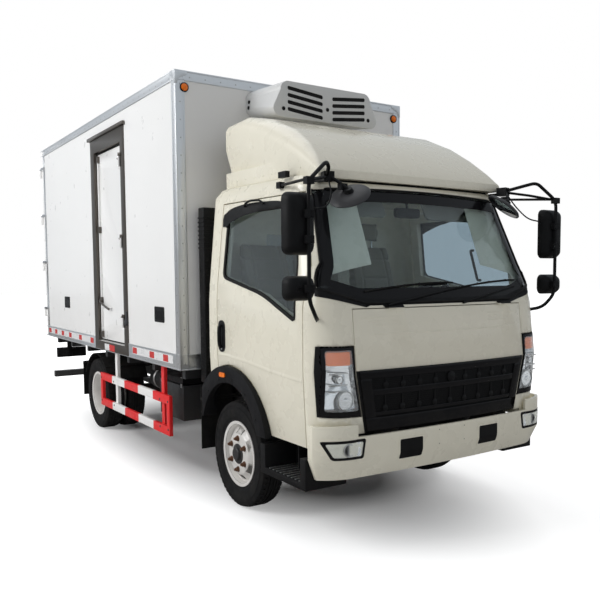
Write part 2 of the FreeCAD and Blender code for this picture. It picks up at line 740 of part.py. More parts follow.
LOCK_X = "(-box_half_width + side_door_recess - lock_stand)"
lock_rod = rod(
    "side_lock_rod", "z", (LOCK_X, "side_lock_place", "0"), "lock_radius / 2",
    (FLOOR_TOP + " + sill_height / 2", "side_opening_top - sill_height / 2"))
lock_handle = rod(
    "side_lock_handle", "y", (LOCK_X, "0", "handle_height"), "handle_radius / 2",
    ("side_lock_place - handle_length", "side_lock_place"))
SIDE_FOOT_SHARES = (0.04, 0.35, 0.65, 0.96)
REAR_FOOT_SHARES = (0.05, 0.3, 0.6, 0.95)
lock_feet = []
for number, share in enumerate(SIDE_FOOT_SHARES):
    low = f"({FLOOR_TOP} + sill_height / 2 + (side_opening_top - sill_height - {FLOOR_TOP}) * {share})"
    lock_feet.append(block(
        f"side_lock_foot_{number}", (LOCK_X, LEAF_OUTER),
        ("side_lock_place - lock_radius", "side_lock_place + lock_radius"),
        (low + " - lock_radius", low + " + lock_radius")))
node("side_door", joined("side_door_and_lock", side_door_pieces + [lock_rod, lock_handle] + lock_feet))

# Rear doors: two leaves over the portal, each on hinges outside its corner.
LEAF_FRONT = "(box_rear + rear_door_gap)"
LEAF_REAR = "(box_rear + rear_door_gap + rear_door_thickness)"
for side, label in ((1, "left"), (-1, "right")):
    leaf = block(
        "rear_leaf", ("rear_door_gap / 2", "box_half_width - rear_door_gap"), (LEAF_FRONT, LEAF_REAR),
        ("box_bottom + rear_door_gap", "box_top - edge_proud"))
    pieces = [leaf]
    for number in range(int(size("rear_hinge_count"))):
        middle = rear_hinge_middle(number)
        reach = (middle + " - hinge_height / 2", middle + " + hinge_height / 2")
        pieces.append(rod("rear_knuckle", "z", (REAR_PIN[0], REAR_PIN[1], "0"), "hinge_radius", reach))
        pieces.append(block(
            "rear_strap", ("box_half_width - rear_hinge_reach", REAR_PIN[0]),
            (LEAF_REAR, LEAF_REAR + " + hinge_plate + hinge_radius / 2"), reach))
    rear_rod = rod(
        "rear_lock_rod", "z", ("rear_lock_place", LEAF_REAR + " + lock_stand", "0"), "lock_radius",
        ("box_bottom + sill_height / 2", "box_top - sill_height / 2"))
    rear_handle = rod(
        "rear_lock_handle", "x", ("0", LEAF_REAR + " + lock_stand", "handle_height"), "handle_radius",
        ("rear_lock_place - handle_length / 2", "rear_lock_place"))
    feet = [
        block(
            "rear_lock_foot", ("rear_lock_place - lock_radius", "rear_lock_place + lock_radius"),
            (LEAF_REAR, LEAF_REAR + " + lock_stand"),
            (f"box_bottom + (box_top - box_bottom) * {share} - lock_radius",
             f"box_bottom + (box_top - box_bottom) * {share} + lock_radius"))
        for share in REAR_FOOT_SHARES]
    door = joined(f"rear_door_pieces_{label}", pieces + [rear_rod, rear_handle] + feet)
    node(f"rear_door_{label}", door if side > 0 else other_side("rear_door_mirror", door))

# Cooling unit on the front wall, and its evaporator under the roof inside.
add_sizes({
    "unit_front": -1606,
    "unit_half_width": 495,
    "unit_front_half_width": 425,
    "unit_low_front_half_width": 490,
    "unit_top": 3096,
    "unit_front_top": 3102,
    "unit_bottom": 2890,
    "unit_front_bottom": 2830,
    "unit_corner": 70,
    "evaporator_half_width": 600,
    "evaporator_length": 420,
    "evaporator_height": 230,
    "evaporator_flat": 294,
    "intake_inner": 820,
    "intake_outer": 942,
    "intake_front": -1330,
    "intake_rear": -1238,
    "intake_bottom": 830,
    "intake_top": 2156,
    "bumper_half_width": 988,
    "bumper_thickness": 18,
    "bumper_front": -2995,
    "bumper_shoulder": 735,
    "bumper_shoulder_back": 27,
    "bumper_corner_back": 70,
    "bumper_side_front": -2857,
    "bumper_side_rear": -2808,
    "bumper_bottom": 436,
    "bumper_waist": 560,
    "bumper_tuck": 45,
    "bumper_middle_top": 693,
    "bumper_corner_top": 766,
    "plate_hole_spacing": 220,
    "plate_hole_low": 575,
    "plate_hole_high": 665,
    "plate_hole_radius": 3.5,
})


def rounded_outline(place, low_half, high_half, bottom, top, corner):
    """Draw a rounded outline across the truck at one Y, its lower and upper half-widths given."""
    bend = corner * (1 - math.sqrt(0.5))
    low_corner = [
        (low_half - corner, bottom), (low_half - bend, bottom + bend), (low_half, bottom + corner)]
    high_corner = [(high_half, top - corner), (high_half - bend, top - bend), (high_half - corner, top)]
    corners = [
        [Vector(x, place, z) for x, z in low_corner],
        [Vector(x, place, z) for x, z in high_corner],
        [Vector(-x, place, z) for x, z in reversed(high_corner)],
        [Vector(-x, place, z) for x, z in reversed(low_corner)],
    ]
    edges = []
    for index, points in enumerate(corners):
        edges.append(Part.Arc(*points).toShape())
        edges.append(Part.makeLine(points[2], corners[(index + 1) % 4][0]))
    return Part.Wire(edges)


def cooling_unit():
    """Make the rounded case that tapers forward from the front wall."""
    rear = rounded_outline(
        size("box_front") + size("edge_proud"), size("unit_half_width"), size("unit_half_width"),
        size("unit_bottom"), size("unit_top"), size("unit_corner"))
    front = rounded_outline(
        size("unit_front"), size("unit_low_front_half_width"), size("unit_front_half_width"),
        size("unit_front_bottom"), size("unit_front_top"), size("unit_corner"))
    return solid("unit_case", Part.makeLoft([rear, front], True, True))


unit_case = cooling_unit()
EVAPORATOR_FRONT = f"({WALL_FRONT} + wall_thickness)"
evaporator = prism("evaporator_case", "x", [
    (EVAPORATOR_FRONT, ROOF_BOTTOM),
    (EVAPORATOR_FRONT, ROOF_BOTTOM + " - evaporator_height"),
    (EVAPORATOR_FRONT + " + evaporator_flat", ROOF_BOTTOM + " - evaporator_height"),
    (EVAPORATOR_FRONT + " + evaporator_length", ROOF_BOTTOM + " - evaporator_height / 2"),
    (EVAPORATOR_FRONT + " + evaporator_length", ROOF_BOTTOM),
], ("-evaporator_half_width", "evaporator_half_width"))
node("cooling_unit", together("cooling_unit_halves", [unit_case, evaporator]))

intake_duct = block(
    "intake_duct", ("-intake_outer", "-intake_inner"), ("intake_front", "intake_rear"),
    ("intake_bottom", "intake_top"))
intake_arm = block(
    "intake_arm", ("-intake_inner", "-frame_half_width + rail_flange"), ("intake_front", "intake_rear"),
    ("intake_bottom", "intake_bottom + strap_width"))
intake_post = block(
    "intake_post", ("-frame_half_width", "-frame_half_width + rail_flange"),
    ("intake_front", "intake_rear"), ("rail_top", "intake_bottom"))
node("air_intake", joined("intake_pieces", [intake_duct, intake_arm, intake_post]))


def bumper_outline(height, inset):
    """Draw the bumper's plan at one height, a given distance inside its outer face."""
    front = size("bumper_front") + inset
    shoulder = size("bumper_shoulder") - inset / 2
    shoulder_front = front + size("bumper_shoulder_back")
    half = size("bumper_half_width") - inset
    side_front = size("bumper_side_front") + inset / 2
    rear = size("bumper_side_rear")
    bend = Vector((shoulder + half * 2) / 3, shoulder_front + size("bumper_corner_back") / 2, height)
    right_bend = Vector(-bend.x, bend.y, height)
    points = [Vector(x, y, height) for x, y in (
        (-half, rear), (-half, side_front), (-shoulder, shoulder_front), (0, front),
        (shoulder, shoulder_front), (half, side_front), (half, rear))]
    return Part.Wire([
        Part.makeLine(points[0], points[1]),
        Part.Arc(points[1], right_bend, points[2]).toShape(),
        Part.Arc(points[2], points[3], points[4]).toShape(),
        Part.Arc(points[4], bend, points[5]).toShape(),
        Part.makeLine(points[5], points[6]),
        Part.makeLine(points[6], points[0]),
    ])


def bumper_shell():
    """Make the curved bumper, open to the rear, higher under the headlamps."""
    levels = [("bumper_bottom", size("bumper_tuck")), ("bumper_waist", 0.0), ("bumper_corner_top", 0.0)]
    outer = Part.makeLoft([bumper_outline(size(name), inset) for name, inset in levels], True, True)
    wall = size("bumper_thickness")
    inner = Part.makeLoft([bumper_outline(size(name), inset + wall) for name, inset in levels], True, True)
    shell = outer.cut(inner)
    over = size("overrun")
    notch = Part.makeBox(
        2 * size("bumper_shoulder"), size("bumper_side_rear") - size("bumper_front") + 2 * over,
        size("bumper_corner_top") - size("bumper_middle_top") + over,
        Vector(-size("bumper_shoulder"), size("bumper_front") - over, size("bumper_middle_top")))
    return shell.cut(notch)


bumper_skin = bumper_shell()
arm_front = size("bumper_front") + size("bumper_thickness") / 2
arm_size = size("rail_flange")
for side in (-1, 1):
    corner = Vector(
        side * (size("frame_half_width") - arm_size / 2) - arm_size / 2, arm_front, size("bumper_waist"))
    bumper_arm = Part.makeBox(arm_size, size("frame_front") - arm_front, arm_size, corner)
    bumper_skin = bumper_skin.fuse(bumper_arm)
for side in (-1, 1):
    for level in ("plate_hole_low", "plate_hole_high"):
        mouth = Vector(
            side * size("plate_hole_spacing") / 2, size("bumper_front") - size("overrun"), size(level))
        hole_depth = 2 * size("overrun") + size("bumper_thickness")
        bumper_skin = bumper_skin.cut(
            Part.makeCylinder(size("plate_hole_radius"), hole_depth, mouth, Vector(0, 1, 0)))
node("front_bumper", solid("bumper_and_arms", bumper_skin))

# Cab: one curved body made of levels, split into shell, doors, glass, lamps and front flap.
add_sizes({
    "foot_height": 612,
    "foot_half": 950,
    "foot_front": -2953,
    "hip_height": 1080,
    "hip_half": 973,
    "hip_front": -2978,
    "waist_height": 1447,
    "waist_half": 972,
    "waist_front": -2938,
    "shoulder_height": 1574,
    "shoulder_half": 965,
    "shoulder_front": -2895,
    "brow_height": 2205,
    "brow_half": 845,
    "brow_front": -2640,
    "crown_height": 2262,
    "crown_half": 820,
    "crown_front": -2600,
    "ceiling_height": 2292,
    "ceiling_half": 755,
    "ceiling_front": -2520,
    "cab_rear": -1415,
    "brow_rear_spread": 60,
    "crown_rear_spread": 48,
    "ceiling_rear_spread": 35,
    "crown_rear_inset": 35,
    "ceiling_rear_inset": 100,
    "corner_back": 38,
    "corner_side_back": 200,
    "rear_corner": 70,
    "cab_wall": 60,
    "door_wall": 54,
    "seam": 8,
    "floor_low": 925,
    "floor_high": 965,
    "cab_skirt": 700,
    "cab_rear_skirt": 880,
    "arch_centre_height": 430,
    "arch_radius": 470,
    "arch_inner": 480,
    "tunnel_half": 560,
    "tunnel_top": 905,
    "flare_centre_height": 470,
    "flare_inner_radius": 425,
    "flare_outer_radius": 543,
    "flare_outer": 1000,
    "flare_bottom": 596,
    "flare_rear": -1375,
    "tilt_pin_back": 125,
    "pillar_width": 22,
    "tilt_pin_height": 800,
    "tilt_pin_radius": 12,
    "tilt_lug_radius": 26,
    "tilt_lug_width": 40,
    "tilt_lug_gap": 8,
})
CORNER_SHARES = {
    "foot": 0.78, "hip": 0.76, "waist": 0.755, "shoulder": 0.82, "brow": 0.875, "crown": 0.87,
    "ceiling": 0.85}
CORNER_BULGE_SHARE = 0.2
LEVELS = list(CORNER_SHARES)


def level_outline(level, inset):
    """Draw the cab's plan at one level, a given distance inside its skin."""
    height = size(level + "_height")
    if level == "ceiling":
        height -= inset
    half = size(level + "_half") - inset
    front = size(level + "_front") + inset
    rear = size("cab_rear") - inset
    if level in ("crown", "ceiling"):
        rear -= size(level + "_rear_inset")
    rear_half = half
    if level in ("brow", "crown", "ceiling"):
        rear_half += size(level + "_rear_spread")
    corner_x = size(level + "_half") * CORNER_SHARES[level] - inset / 2
    corner_y = front + size("corner_back")
    side_y = size(level + "_front") + size("corner_side_back") + inset / 2
    bend = size("rear_corner") - inset / 2
    turn = bend * (1 - math.sqrt(0.5))
    across, along = half - corner_x, side_y - corner_y
    bulge_x = (half + corner_x) / 2 + along * CORNER_BULGE_SHARE
    bulge_y = (corner_y + side_y) / 2 - across * CORNER_BULGE_SHARE
    right = [
        (corner_x, corner_y), (bulge_x, bulge_y), (half, side_y), (rear_half, rear - bend),
        (rear_half - turn, rear - turn), (rear_half - bend, rear)]
    plus = [Vector(x, y, height) for x, y in right]
    minus = [Vector(-x, y, height) for x, y in right]
    return Part.Wire([
        Part.Arc(minus[0], Vector(0, front, height), plus[0]).toShape(),
        Part.Arc(*plus[0:3]).toShape(),
        Part.makeLine(plus[2], plus[3]),
        Part.Arc(*plus[3:6]).toShape(),
        Part.makeLine(plus[5], minus[5]),
        Part.Arc(minus[5], minus[4], minus[3]).toShape(),
        Part.makeLine(minus[3], minus[2]),
        Part.Arc(minus[2], minus[1], minus[0]).toShape(),
    ])


lofts = {}


def cab_body(inset):
    """Make the whole cab as a closed body, a given distance inside its skin."""
    if inset not in lofts:
        lofts[inset] = Part.makeLoft([level_outline(level, inset) for level in LEVELS], True, True)
    return lofts[inset]


def cab_layer(outer, inner):
    """Make the layer of the cab between two distances inside its skin."""
    return cab_body(outer).cut(cab_body(inner))


def along_x(points, low, high):
    """Extrude an outline of (Y, Z) points between two X."""
    wire = Part.makePolygon([Vector(low, y, z) for y, z in points + points[:1]])
    return Part.Face(wire).extrude(Vector(high - low, 0, 0))


def along_y(points, low, high):
    """Extrude an outline of (X, Z) points between two Y."""
    wire = Part.makePolygon([Vector(x, low, z) for x, z in points + points[:1]])
    return Part.Face(wire).extrude(Vector(0, high - low, 0))


def span(x, y, z):
    """Make a box between pairs of X, Y and Z."""
    return Part.makeBox(x[1] - x[0], y[1] - y[0], z[1] - z[0], Vector(x[0], y[0], z[0]))


def mirrored(shape):
    """Mirror a shape to the other side of the truck."""
    return shape.mirror(Vector(), Vector(1, 0, 0))


add_sizes({
    "door_front": -2735,
    "door_rear": -1603,
    "door_top": 2150,
    "door_pillar_height": 1700,
    "door_pillar_top": -2560,
    "door_foot_rear": -2285,
    "window_rear": -1687,
    "window_top": 2077,
    "window_front_top": -2492,
    "window_front": -2648,
    "window_front_bottom": 1372,
    "window_step": -2258,
    "window_step_height": 1526,
    "window_rear_bottom": 1636,
    "glass_inset": 8,
    "glass_depth": 6,
    "screen_foot_half": 620,
    "screen_foot": 1478,
    "screen_corner_half": 918,
    "screen_corner_height": 1566,
    "screen_top_half": 806,
    "screen_top": 2168,
    "screen_crown": 20,
    "screen_behind": -2560,
    "back_window_half": 480,
    "back_window_bottom": 1560,
    "back_window_top": 1960,
    "flap_half": 727,
    "flap_foot_half": 655,
    "flap_foot": 705,
    "flap_knee": 1080,
    "flap_top": 1441,
    "flap_skin": 25,
    "flap_pocket": 33,
    "flap_behind": -2800,
    "flap_pin_place": -2940,
    "flap_pin_height": 1444,
    "flap_pin_radius": 2.5,
    "flap_pin_length": 60,
    "flap_pin_neck": 40,
    "flap_pin_side": 480,
    "lamp_step": 8,
    "headlamp_foot": 802,
    "headlamp_head": 1230,
    "headlamp_behind": -2832,
    "headlamp_depth": 45,
    "headlamp_proud": 3,
})


def door_outline(margin):
    """Give the cab door's outline, grown outward by a margin."""
    arch = (size("front_axle_place"), size("flare_centre_height"))
    radius = size("flare_outer_radius") + size("seam") - margin
    foot = size("foot_height")
    rear = size("door_rear") + margin
    start = math.asin((foot - margin - arch[1]) / radius)
    finish = math.acos((rear - arch[0]) / radius)
    steps = 12
    arc = []
    for step in range(steps + 1):
        turn = math.pi - start + (finish - math.pi + start) * step / steps
        arc.append((arch[0] + radius * math.cos(turn), arch[1] + radius * math.sin(turn)))
    return [
        (size("door_front") - margin, foot - margin),
        *arc,
        (rear, size("door_top") + margin),
        (size("door_pillar_top") - margin / 2, size("door_top") + margin),
        (size("door_front") - margin, size("door_pillar_height") + margin / 2),
    ]


WINDOW_OUTLINE = [
    (size("window_rear"), size("window_top")),
    (size("window_rear"), size("window_rear_bottom")),
    (size("window_step"), size("window_step_height")),
    (size("window_front"), size("window_front_bottom")),
    (size("window_front"), size("door_pillar_height")),
    (size("window_front_top"), size("window_top")),
]
far_side = size("flare_outer") + size("overrun")
near_side = size("arch_inner")
door_hole = along_x(door_outline(size("seam")), near_side, far_side)
door_block = along_x(door_outline(0), near_side, far_side)
window_hole = along_x(WINDOW_OUTLINE, near_side, far_side)
left_door = cab_layer(0, size("door_wall")).common(door_block).cut(window_hole)
glass_layer = cab_layer(size("glass_inset"), size("glass_inset") + size("glass_depth"))
left_glass = glass_layer.common(window_hole)

screen_points = [
    (size("screen_foot_half"), size("screen_foot")),
    (size("screen_corner_half"), size("screen_corner_height")),
    (size("screen_top_half"), size("screen_top")),
]
front_limit = size("bumper_front") - size("overrun")
screen_right = [Vector(x, front_limit, z) for x, z in screen_points]
screen_left = [Vector(-x, front_limit, z) for x, z in screen_points]
screen_wire = Part.Wire([
    Part.makeLine(screen_left[0], screen_right[0]),
    Part.makeLine(screen_right[0], screen_right[1]),
    Part.makeLine(screen_right[1], screen_right[2]),
    Part.Arc(
        screen_right[2], Vector(0, front_limit, size("screen_top") + size("screen_crown")),
        screen_left[2]).toShape(),
    Part.makeLine(screen_left[2], screen_left[1]),
    Part.makeLine(screen_left[1], screen_left[0]),
])
screen_hole = Part.Face(screen_wire).extrude(Vector(0, size("screen_behind") - front_limit, 0))
pillar_side = along_x(door_outline(size("seam") + size("pillar_width")), near_side, far_side)
screen_hole = screen_hole.cut(pillar_side).cut(mirrored(pillar_side))
back_hole = span(
    (-size("back_window_half"), size("back_window_half")),
    (size("cab_rear") - 2 * size("cab_wall"), size("cab_rear") + size("overrun")),
    (size("back_window_bottom"), size("back_window_top")))
screen_glass = glass_layer.common(screen_hole)
back_glass = glass_layer.common(back_hole)

flap_points = [(-size("flap_foot_half"), size("flap_foot")), (size("flap_foot_half"), size("flap_foot"))]
flap_points += [(size("flap_half"), size("flap_knee")), (size("flap_half"), size("flap_top"))]
flap_points += [(-size("flap_half"), size("flap_top")), (-size("flap_half"), size("flap_knee"))]
flap_block = along_y(flap_points, front_limit, size("flap_behind"))
pocket_half = size("flap_half") + size("seam") / 2
pocket_foot = size("flap_foot_half") + size("seam") / 2
pocket_low = size("cab_skirt") - size("overrun")
pocket_points = [(-pocket_foot, pocket_low), (pocket_foot, pocket_low)]
pocket_points += [(pocket_foot, size("flap_foot")), (pocket_half, size("flap_knee"))]
pocket_points += [(pocket_half, size("waist_height")), (-pocket_half, size("waist_height"))]
pocket_points += [(-pocket_half, size("flap_knee")), (-pocket_foot, size("flap_foot"))]
pocket_block = along_y(pocket_points, front_limit, size("flap_behind"))
flap_skin = cab_layer(0, size("flap_skin")).common(flap_block)
grille_limit = span((-far_side, far_side), (front_limit, 0), (0, size("flap_knee")))
grille_skin = flap_skin.common(grille_limit)
panel_skin = flap_skin.cut(grille_limit)

lamp_low = size("headlamp_foot")
knee_share = (lamp_low - size("flap_foot")) / (size("flap_knee") - size("flap_foot"))
lamp_inner_low = size("flap_foot_half") + (size("flap_half") - size("flap_foot_half")) * knee_share
lamp_points = [
    (lamp_inner_low + size("lamp_step"), lamp_low),
    (far_side, lamp_low + 2 * size("lamp_step")),
    (far_side, size("headlamp_head")),
    (size("flap_half") + size("lamp_step"), size("headlamp_head")),
    (size("flap_half") + size("lamp_step"), size("flap_knee")),
]
lamp_block = along_y(lamp_points, front_limit, size("headlamp_behind"))
lamp_solid = cab_layer(-size("headlamp_proud"), size("headlamp_depth")).common(lamp_block)
lamp_pocket = cab_layer(-size("overrun"), size("headlamp_depth")).common(lamp_block)

shell = cab_layer(0, size("cab_wall"))
floor_slab = cab_body(size("cab_wall")).common(span(
    (-far_side, far_side), (front_limit, size("cab_rear") + size("overrun")),
    (size("floor_low"), size("floor_high"))))
arch_middle = Vector(near_side, size("front_axle_place"), size("arch_centre_height"))
arch = Part.makeCylinder(size("arch_radius"), far_side - near_side, arch_middle, Vector(1, 0, 0))
flap_gap = cab_layer(-size("overrun"), size("flap_pocket")).common(pocket_block)
tunnel = span(
    (-size("tunnel_half"), size("tunnel_half")), (size("flap_behind"), size("cab_rear") + size("overrun")),
    (0, size("tunnel_top")))
front_skirt = span(
    (-size("flap_half"), size("flap_half")), (front_limit, size("flap_behind")), (0, size("cab_skirt")))
rear_skirt = span(
    (-far_side, far_side), (size("front_axle_place"), size("cab_rear") + size("overrun")),
    (0, size("cab_rear_skirt")))
tilt_pin_place = size("bumper_front") + size("tilt_pin_back")
lug_low = size("frame_half_width") + size("tilt_lug_gap")
lug_high = lug_low + size("tilt_lug_width")
lug = span(
    (lug_low, lug_high), (size("hip_front") + size("cab_wall"), tilt_pin_place),
    (size("tilt_pin_height") - size("tilt_lug_radius"), size("tilt_pin_height") + size("tilt_lug_radius")))
lug = lug.fuse(Part.makeCylinder(
    size("tilt_lug_radius"), size("tilt_lug_width"),
    Vector(lug_low, tilt_pin_place, size("tilt_pin_height")),
    Vector(1, 0, 0)))
lug = lug.cut(Part.makeCylinder(
    size("tilt_pin_radius") + size("tiny_gap"), size("tilt_lug_width"),
    Vector(lug_low, tilt_pin_place, size("tilt_pin_height")), Vector(1, 0, 0)))
arm_low = size("frame_half_width") - size("rail_flange")
arm_slot = span(
    (arm_low - size("tilt_lug_gap"), lug_low), (front_limit, tilt_pin_place),
    (0, size("tilt_pin_height") + 2 * size("tilt_lug_radius")))
for cutter in (door_hole, mirrored(door_hole), screen_hole, back_hole, flap_gap, lamp_pocket,
               mirrored(lamp_pocket), tunnel, front_skirt, arm_slot, mirrored(arm_slot)):
    shell = shell.cut(cutter)
shell = shell.fuse(floor_slab).cut(arch).cut(mirrored(arch)).cut(rear_skirt)


def flap_pin(side, start, neck_up):
    """Make one bead of the front flap's hinge, with its neck up to the cab or down to the flap."""
    low = Vector(side * start, size("flap_pin_place"), size("flap_pin_height"))
    length = size("flap_pin_length")
    bead = Part.makeCylinder(size("flap_pin_radius"), length, low, Vector(1, 0, 0))
    reach = size("flap_pin_radius") * 2
    up = (low.z, low.z + reach) if neck_up else (low.z - reach, low.z)
    return bead.fuse(span((low.x, low.x + length), (low.y, low.y + size("flap_pin_neck")), up))


for side in (-1, 1):
    shell = shell.fuse(flap_pin(side, size("flap_pin_side"), True))
    inner_start = size("flap_pin_side") + side * (size("flap_pin_length") + size("tiny_gap"))
    panel_skin = panel_skin.fuse(flap_pin(side, inner_start, False))
shell = shell.fuse(lug).fuse(mirrored(lug))
node("cab_shell", solid("cab_shell_solid", shell))
node("cab_door_left", solid("left_door_solid", left_door))
node("cab_door_right", solid("right_door_solid", mirrored(left_door)))
node("door_glass_left", solid("left_glass_solid", left_glass))
node("door_glass_right", solid("right_glass_solid", mirrored(left_glass)))
node("cab_glass", solid("cab_glass_solids", Part.makeCompound([screen_glass, back_glass])))
node("headlamps", solid("headlamp_solids", Part.makeCompound([lamp_solid, mirrored(lamp_solid)])))
node("front_flap", solid("front_flap_solid", panel_skin))
node("grille", solid("grille_solid", grille_skin))

# Tilt bracket: the chassis arms and pins that the cab's lugs turn on.
tilt_arm = along_x([
    (size("frame_front"), size("rail_top") - 2 * size("rail_flange")),
    (size("frame_front"), size("rail_top")),
    (tilt_pin_place + size("tilt_lug_radius"), size("tilt_pin_height") + size("tilt_lug_radius")),
    (tilt_pin_place - size("tilt_lug_radius"), size("tilt_pin_height") + size("tilt_lug_radius")),
    (tilt_pin_place - size("tilt_lug_radius"), size("tilt_pin_height") - size("tilt_lug_radius")),
], arm_low, size("frame_half_width"))
tilt_arm = tilt_arm.fuse(Part.makeCylinder(
    size("tilt_pin_radius"), lug_high - size("frame_half_width"),
    Vector(size("frame_half_width"), tilt_pin_place, size("tilt_pin_height")), Vector(1, 0, 0)))
left_tilt_arm = solid("left_tilt_arm", tilt_arm)
right_tilt_arm = solid("right_tilt_arm", mirrored(tilt_arm))
node("chassis_frame", joined("frame_and_arms", frame_pieces + [left_tilt_arm, right_tilt_arm]))

add_sizes({
    "inside_gap": 66,
    "dash_front": -2860,
    "dash_rear": -2500,
    "dash_low": 1010,
    "dash_foot_rear": -2560,
    "dash_high": 1415,
    "dash_lip": 1330,
    "column_start": 1270,
    "driver_place": 400,
    "wheel_place": -2290,
    "wheel_height": 1470,
    "wheel_rim_radius": 205,
    "wheel_rim_thickness": 14,
    "wheel_lean": 35,
    "column_radius": 24,
    "column_tip_radius": 12,
    "column_length": 200,
    "boss_radius": 55,
    "boss_depth": 30,
    "spoke_width": 34,
    "seat_base_low": 1120,
    "seat_top": 1300,
    "seat_front": -2120,
    "seat_rear": -1640,
    "seat_half_width": 235,
    "passenger_place": -370,
    "passenger_half_width": 440,
    "back_thickness": 120,
    "back_lean": 90,
    "back_top": 1900,
    "headrest_top": 2090,
    "headrest_half": 120,
    "fairing_base": 2240,
    "fairing_wall": 22,
    "fairing_0_place": -2650,
    "fairing_0_half": 795,
    "fairing_0_top": 2292,
    "fairing_0_bend": 23,
    "fairing_1_place": -2560,
    "fairing_1_half": 795,
    "fairing_1_top": 2380,
    "fairing_1_bend": 63,
    "fairing_2_place": -2420,
    "fairing_2_half": 797,
    "fairing_2_top": 2490,
    "fairing_2_bend": 105,
    "fairing_3_place": -2240,
    "fairing_3_half": 800,
    "fairing_3_top": 2600,
    "fairing_3_bend": 130,
    "fairing_4_place": -1960,
    "fairing_4_half": 812,
    "fairing_4_top": 2715,
    "fairing_4_bend": 120,
    "fairing_5_place": -1740,
    "fairing_5_half": 825,
    "fairing_5_top": 2762,
    "fairing_5_bend": 90,
    "fairing_6_place": -1505,
    "fairing_6_half": 834,
    "fairing_6_top": 2740,
    "fairing_6_bend": 70,
    "scoop_front": -2250,
    "scoop_front_low": 2390,
    "scoop_front_high": 2480,
    "scoop_front_side": 806,
    "scoop_low": 2386,
    "scoop_high": 2558,
    "scoop_low_side": 786,
    "scoop_high_side": 836,
})

dash_points = [
    (size("dash_front"), size("dash_low")),
    (size("dash_front"), size("dash_high")),
    (size("dash_foot_rear"), size("dash_high")),
    (size("dash_rear"), size("dash_lip")),
    (size("dash_foot_rear"), size("dash_low")),
]
dash = along_x(dash_points, -far_side, far_side).common(cab_body(size("inside_gap")))
wheel_centre = Vector(size("driver_place"), size("wheel_place"), size("wheel_height"))
lean = math.radians(size("wheel_lean"))
column_way = Vector(0, -math.cos(math.pi / 2 - lean), -math.sin(math.pi / 2 - lean))
column_top = wheel_centre + column_way * (size("boss_depth") + size("tiny_gap"))
column_end = column_top + column_way * size("column_length")
dash_anchor = Vector(size("driver_place"), size("dash_foot_rear"), size("column_start"))
column = Part.makeCylinder(size("column_radius"), size("column_length"), column_end, column_way * -1)
column = column.fuse(Part.makeCylinder(
    size("column_radius"), (column_end - dash_anchor).Length + size("column_radius"), column_end,
    dash_anchor - column_end))
wall_foot = span(
    (-size("seat_half_width"), size("seat_half_width")),
    (size("hip_front") + size("cab_wall") - size("seam"), size("dash_front") + size("seam")),
    (size("dash_low"), size("dash_high")))
dash = dash.fuse(wall_foot.common(cab_body(size("cab_wall")))).fuse(column)
node("dashboard", solid("dashboard_solid", dash))

rim = Part.makeTorus(
    size("wheel_rim_radius") - size("wheel_rim_thickness"), size("wheel_rim_thickness"), wheel_centre,
    column_way)
boss = Part.makeCylinder(size("boss_radius"), size("boss_depth"), wheel_centre, column_way)
spokes = Part.makeBox(
    2 * (size("wheel_rim_radius") - size("wheel_rim_thickness")), size("spoke_width"),
    size("wheel_rim_thickness"),
    Vector(-size("wheel_rim_radius") + size("wheel_rim_thickness"), -size("spoke_width") / 2, 0))
spokes.Placement = Placement(wheel_centre, Rotation(Vector(0, 0, 1), column_way))
node("steering_wheel", solid("steering_wheel_solid", rim.fuse([boss, spokes])))


def seat(name, place, half):
    """Make a plain cushion and leaning back on the cab floor's seat box."""
    cushion = span(
        (place - half, place + half), (size("seat_front"), size("seat_rear")),
        (size("seat_base_low"), size("seat_top")))
    rear = size("seat_rear")
    deep = size("back_thickness")
    back = along_x([
        (rear - deep, size("seat_top")),
        (rear, size("seat_top")),
        (rear + size("back_lean"), size("back_top")),
        (rear + size("back_lean") - deep / 2, size("back_top")),
    ], place - half, place + half)
    return cushion.fuse(back)


driver_seat = seat("driver", size("driver_place"), size("seat_half_width"))
headrest = along_x([
    (size("seat_rear") + size("back_lean") - size("back_thickness") / 2, size("back_top")),
    (size("seat_rear") + size("back_lean"), size("back_top")),
    (size("seat_rear") + size("back_lean"), size("headrest_top")),
    (size("seat_rear") + size("back_lean") - size("back_thickness") / 2, size("headrest_top")),
], size("driver_place") - size("headrest_half"), size("driver_place") + size("headrest_half"))
bench = seat("bench", size("passenger_place"), size("passenger_half_width"))
node("seats", solid("seat_solids", Part.makeCompound([driver_seat.fuse(headrest), bench])))
seat_box = span(
    (size("passenger_place") - size("passenger_half_width"), size("driver_place") + size("seat_half_width")),
    (size("seat_front") + size("seat_half_width") / 2, size("seat_rear")),
    (size("floor_high"), size("seat_base_low")))
node("seat_box", solid("seat_box_solid", seat_box))


def fairing_outline(number, inset):
    """Draw the fairing's cross-section at one place along the roof."""
    place = size(f"fairing_{number}_place") + (inset if number == 0 else 0)
    top = size(f"fairing_{number}_top") - inset
    base = size("fairing_base")
    half = size(f"fairing_{number}_half") - inset
    bend = size(f"fairing_{number}_bend") - inset / 2
    turn = bend * (1 - math.sqrt(0.5))
    points = [(half, base), (half, top - bend), (half - turn, top - turn), (half - bend, top)]
    plus = [Vector(x, place, z) for x, z in points]
    minus = [Vector(-x, place, z) for x, z in points]
    return Part.Wire([
        Part.makeLine(plus[0], plus[1]),
        Part.Arc(*plus[1:4]).toShape(),
        Part.makeLine(plus[3], minus[3]),
        Part.Arc(minus[3], minus[2], minus[1]).toShape(),
        Part.makeLine(minus[1], minus[0]),
        Part.makeLine(minus[0], plus[0]),
    ])


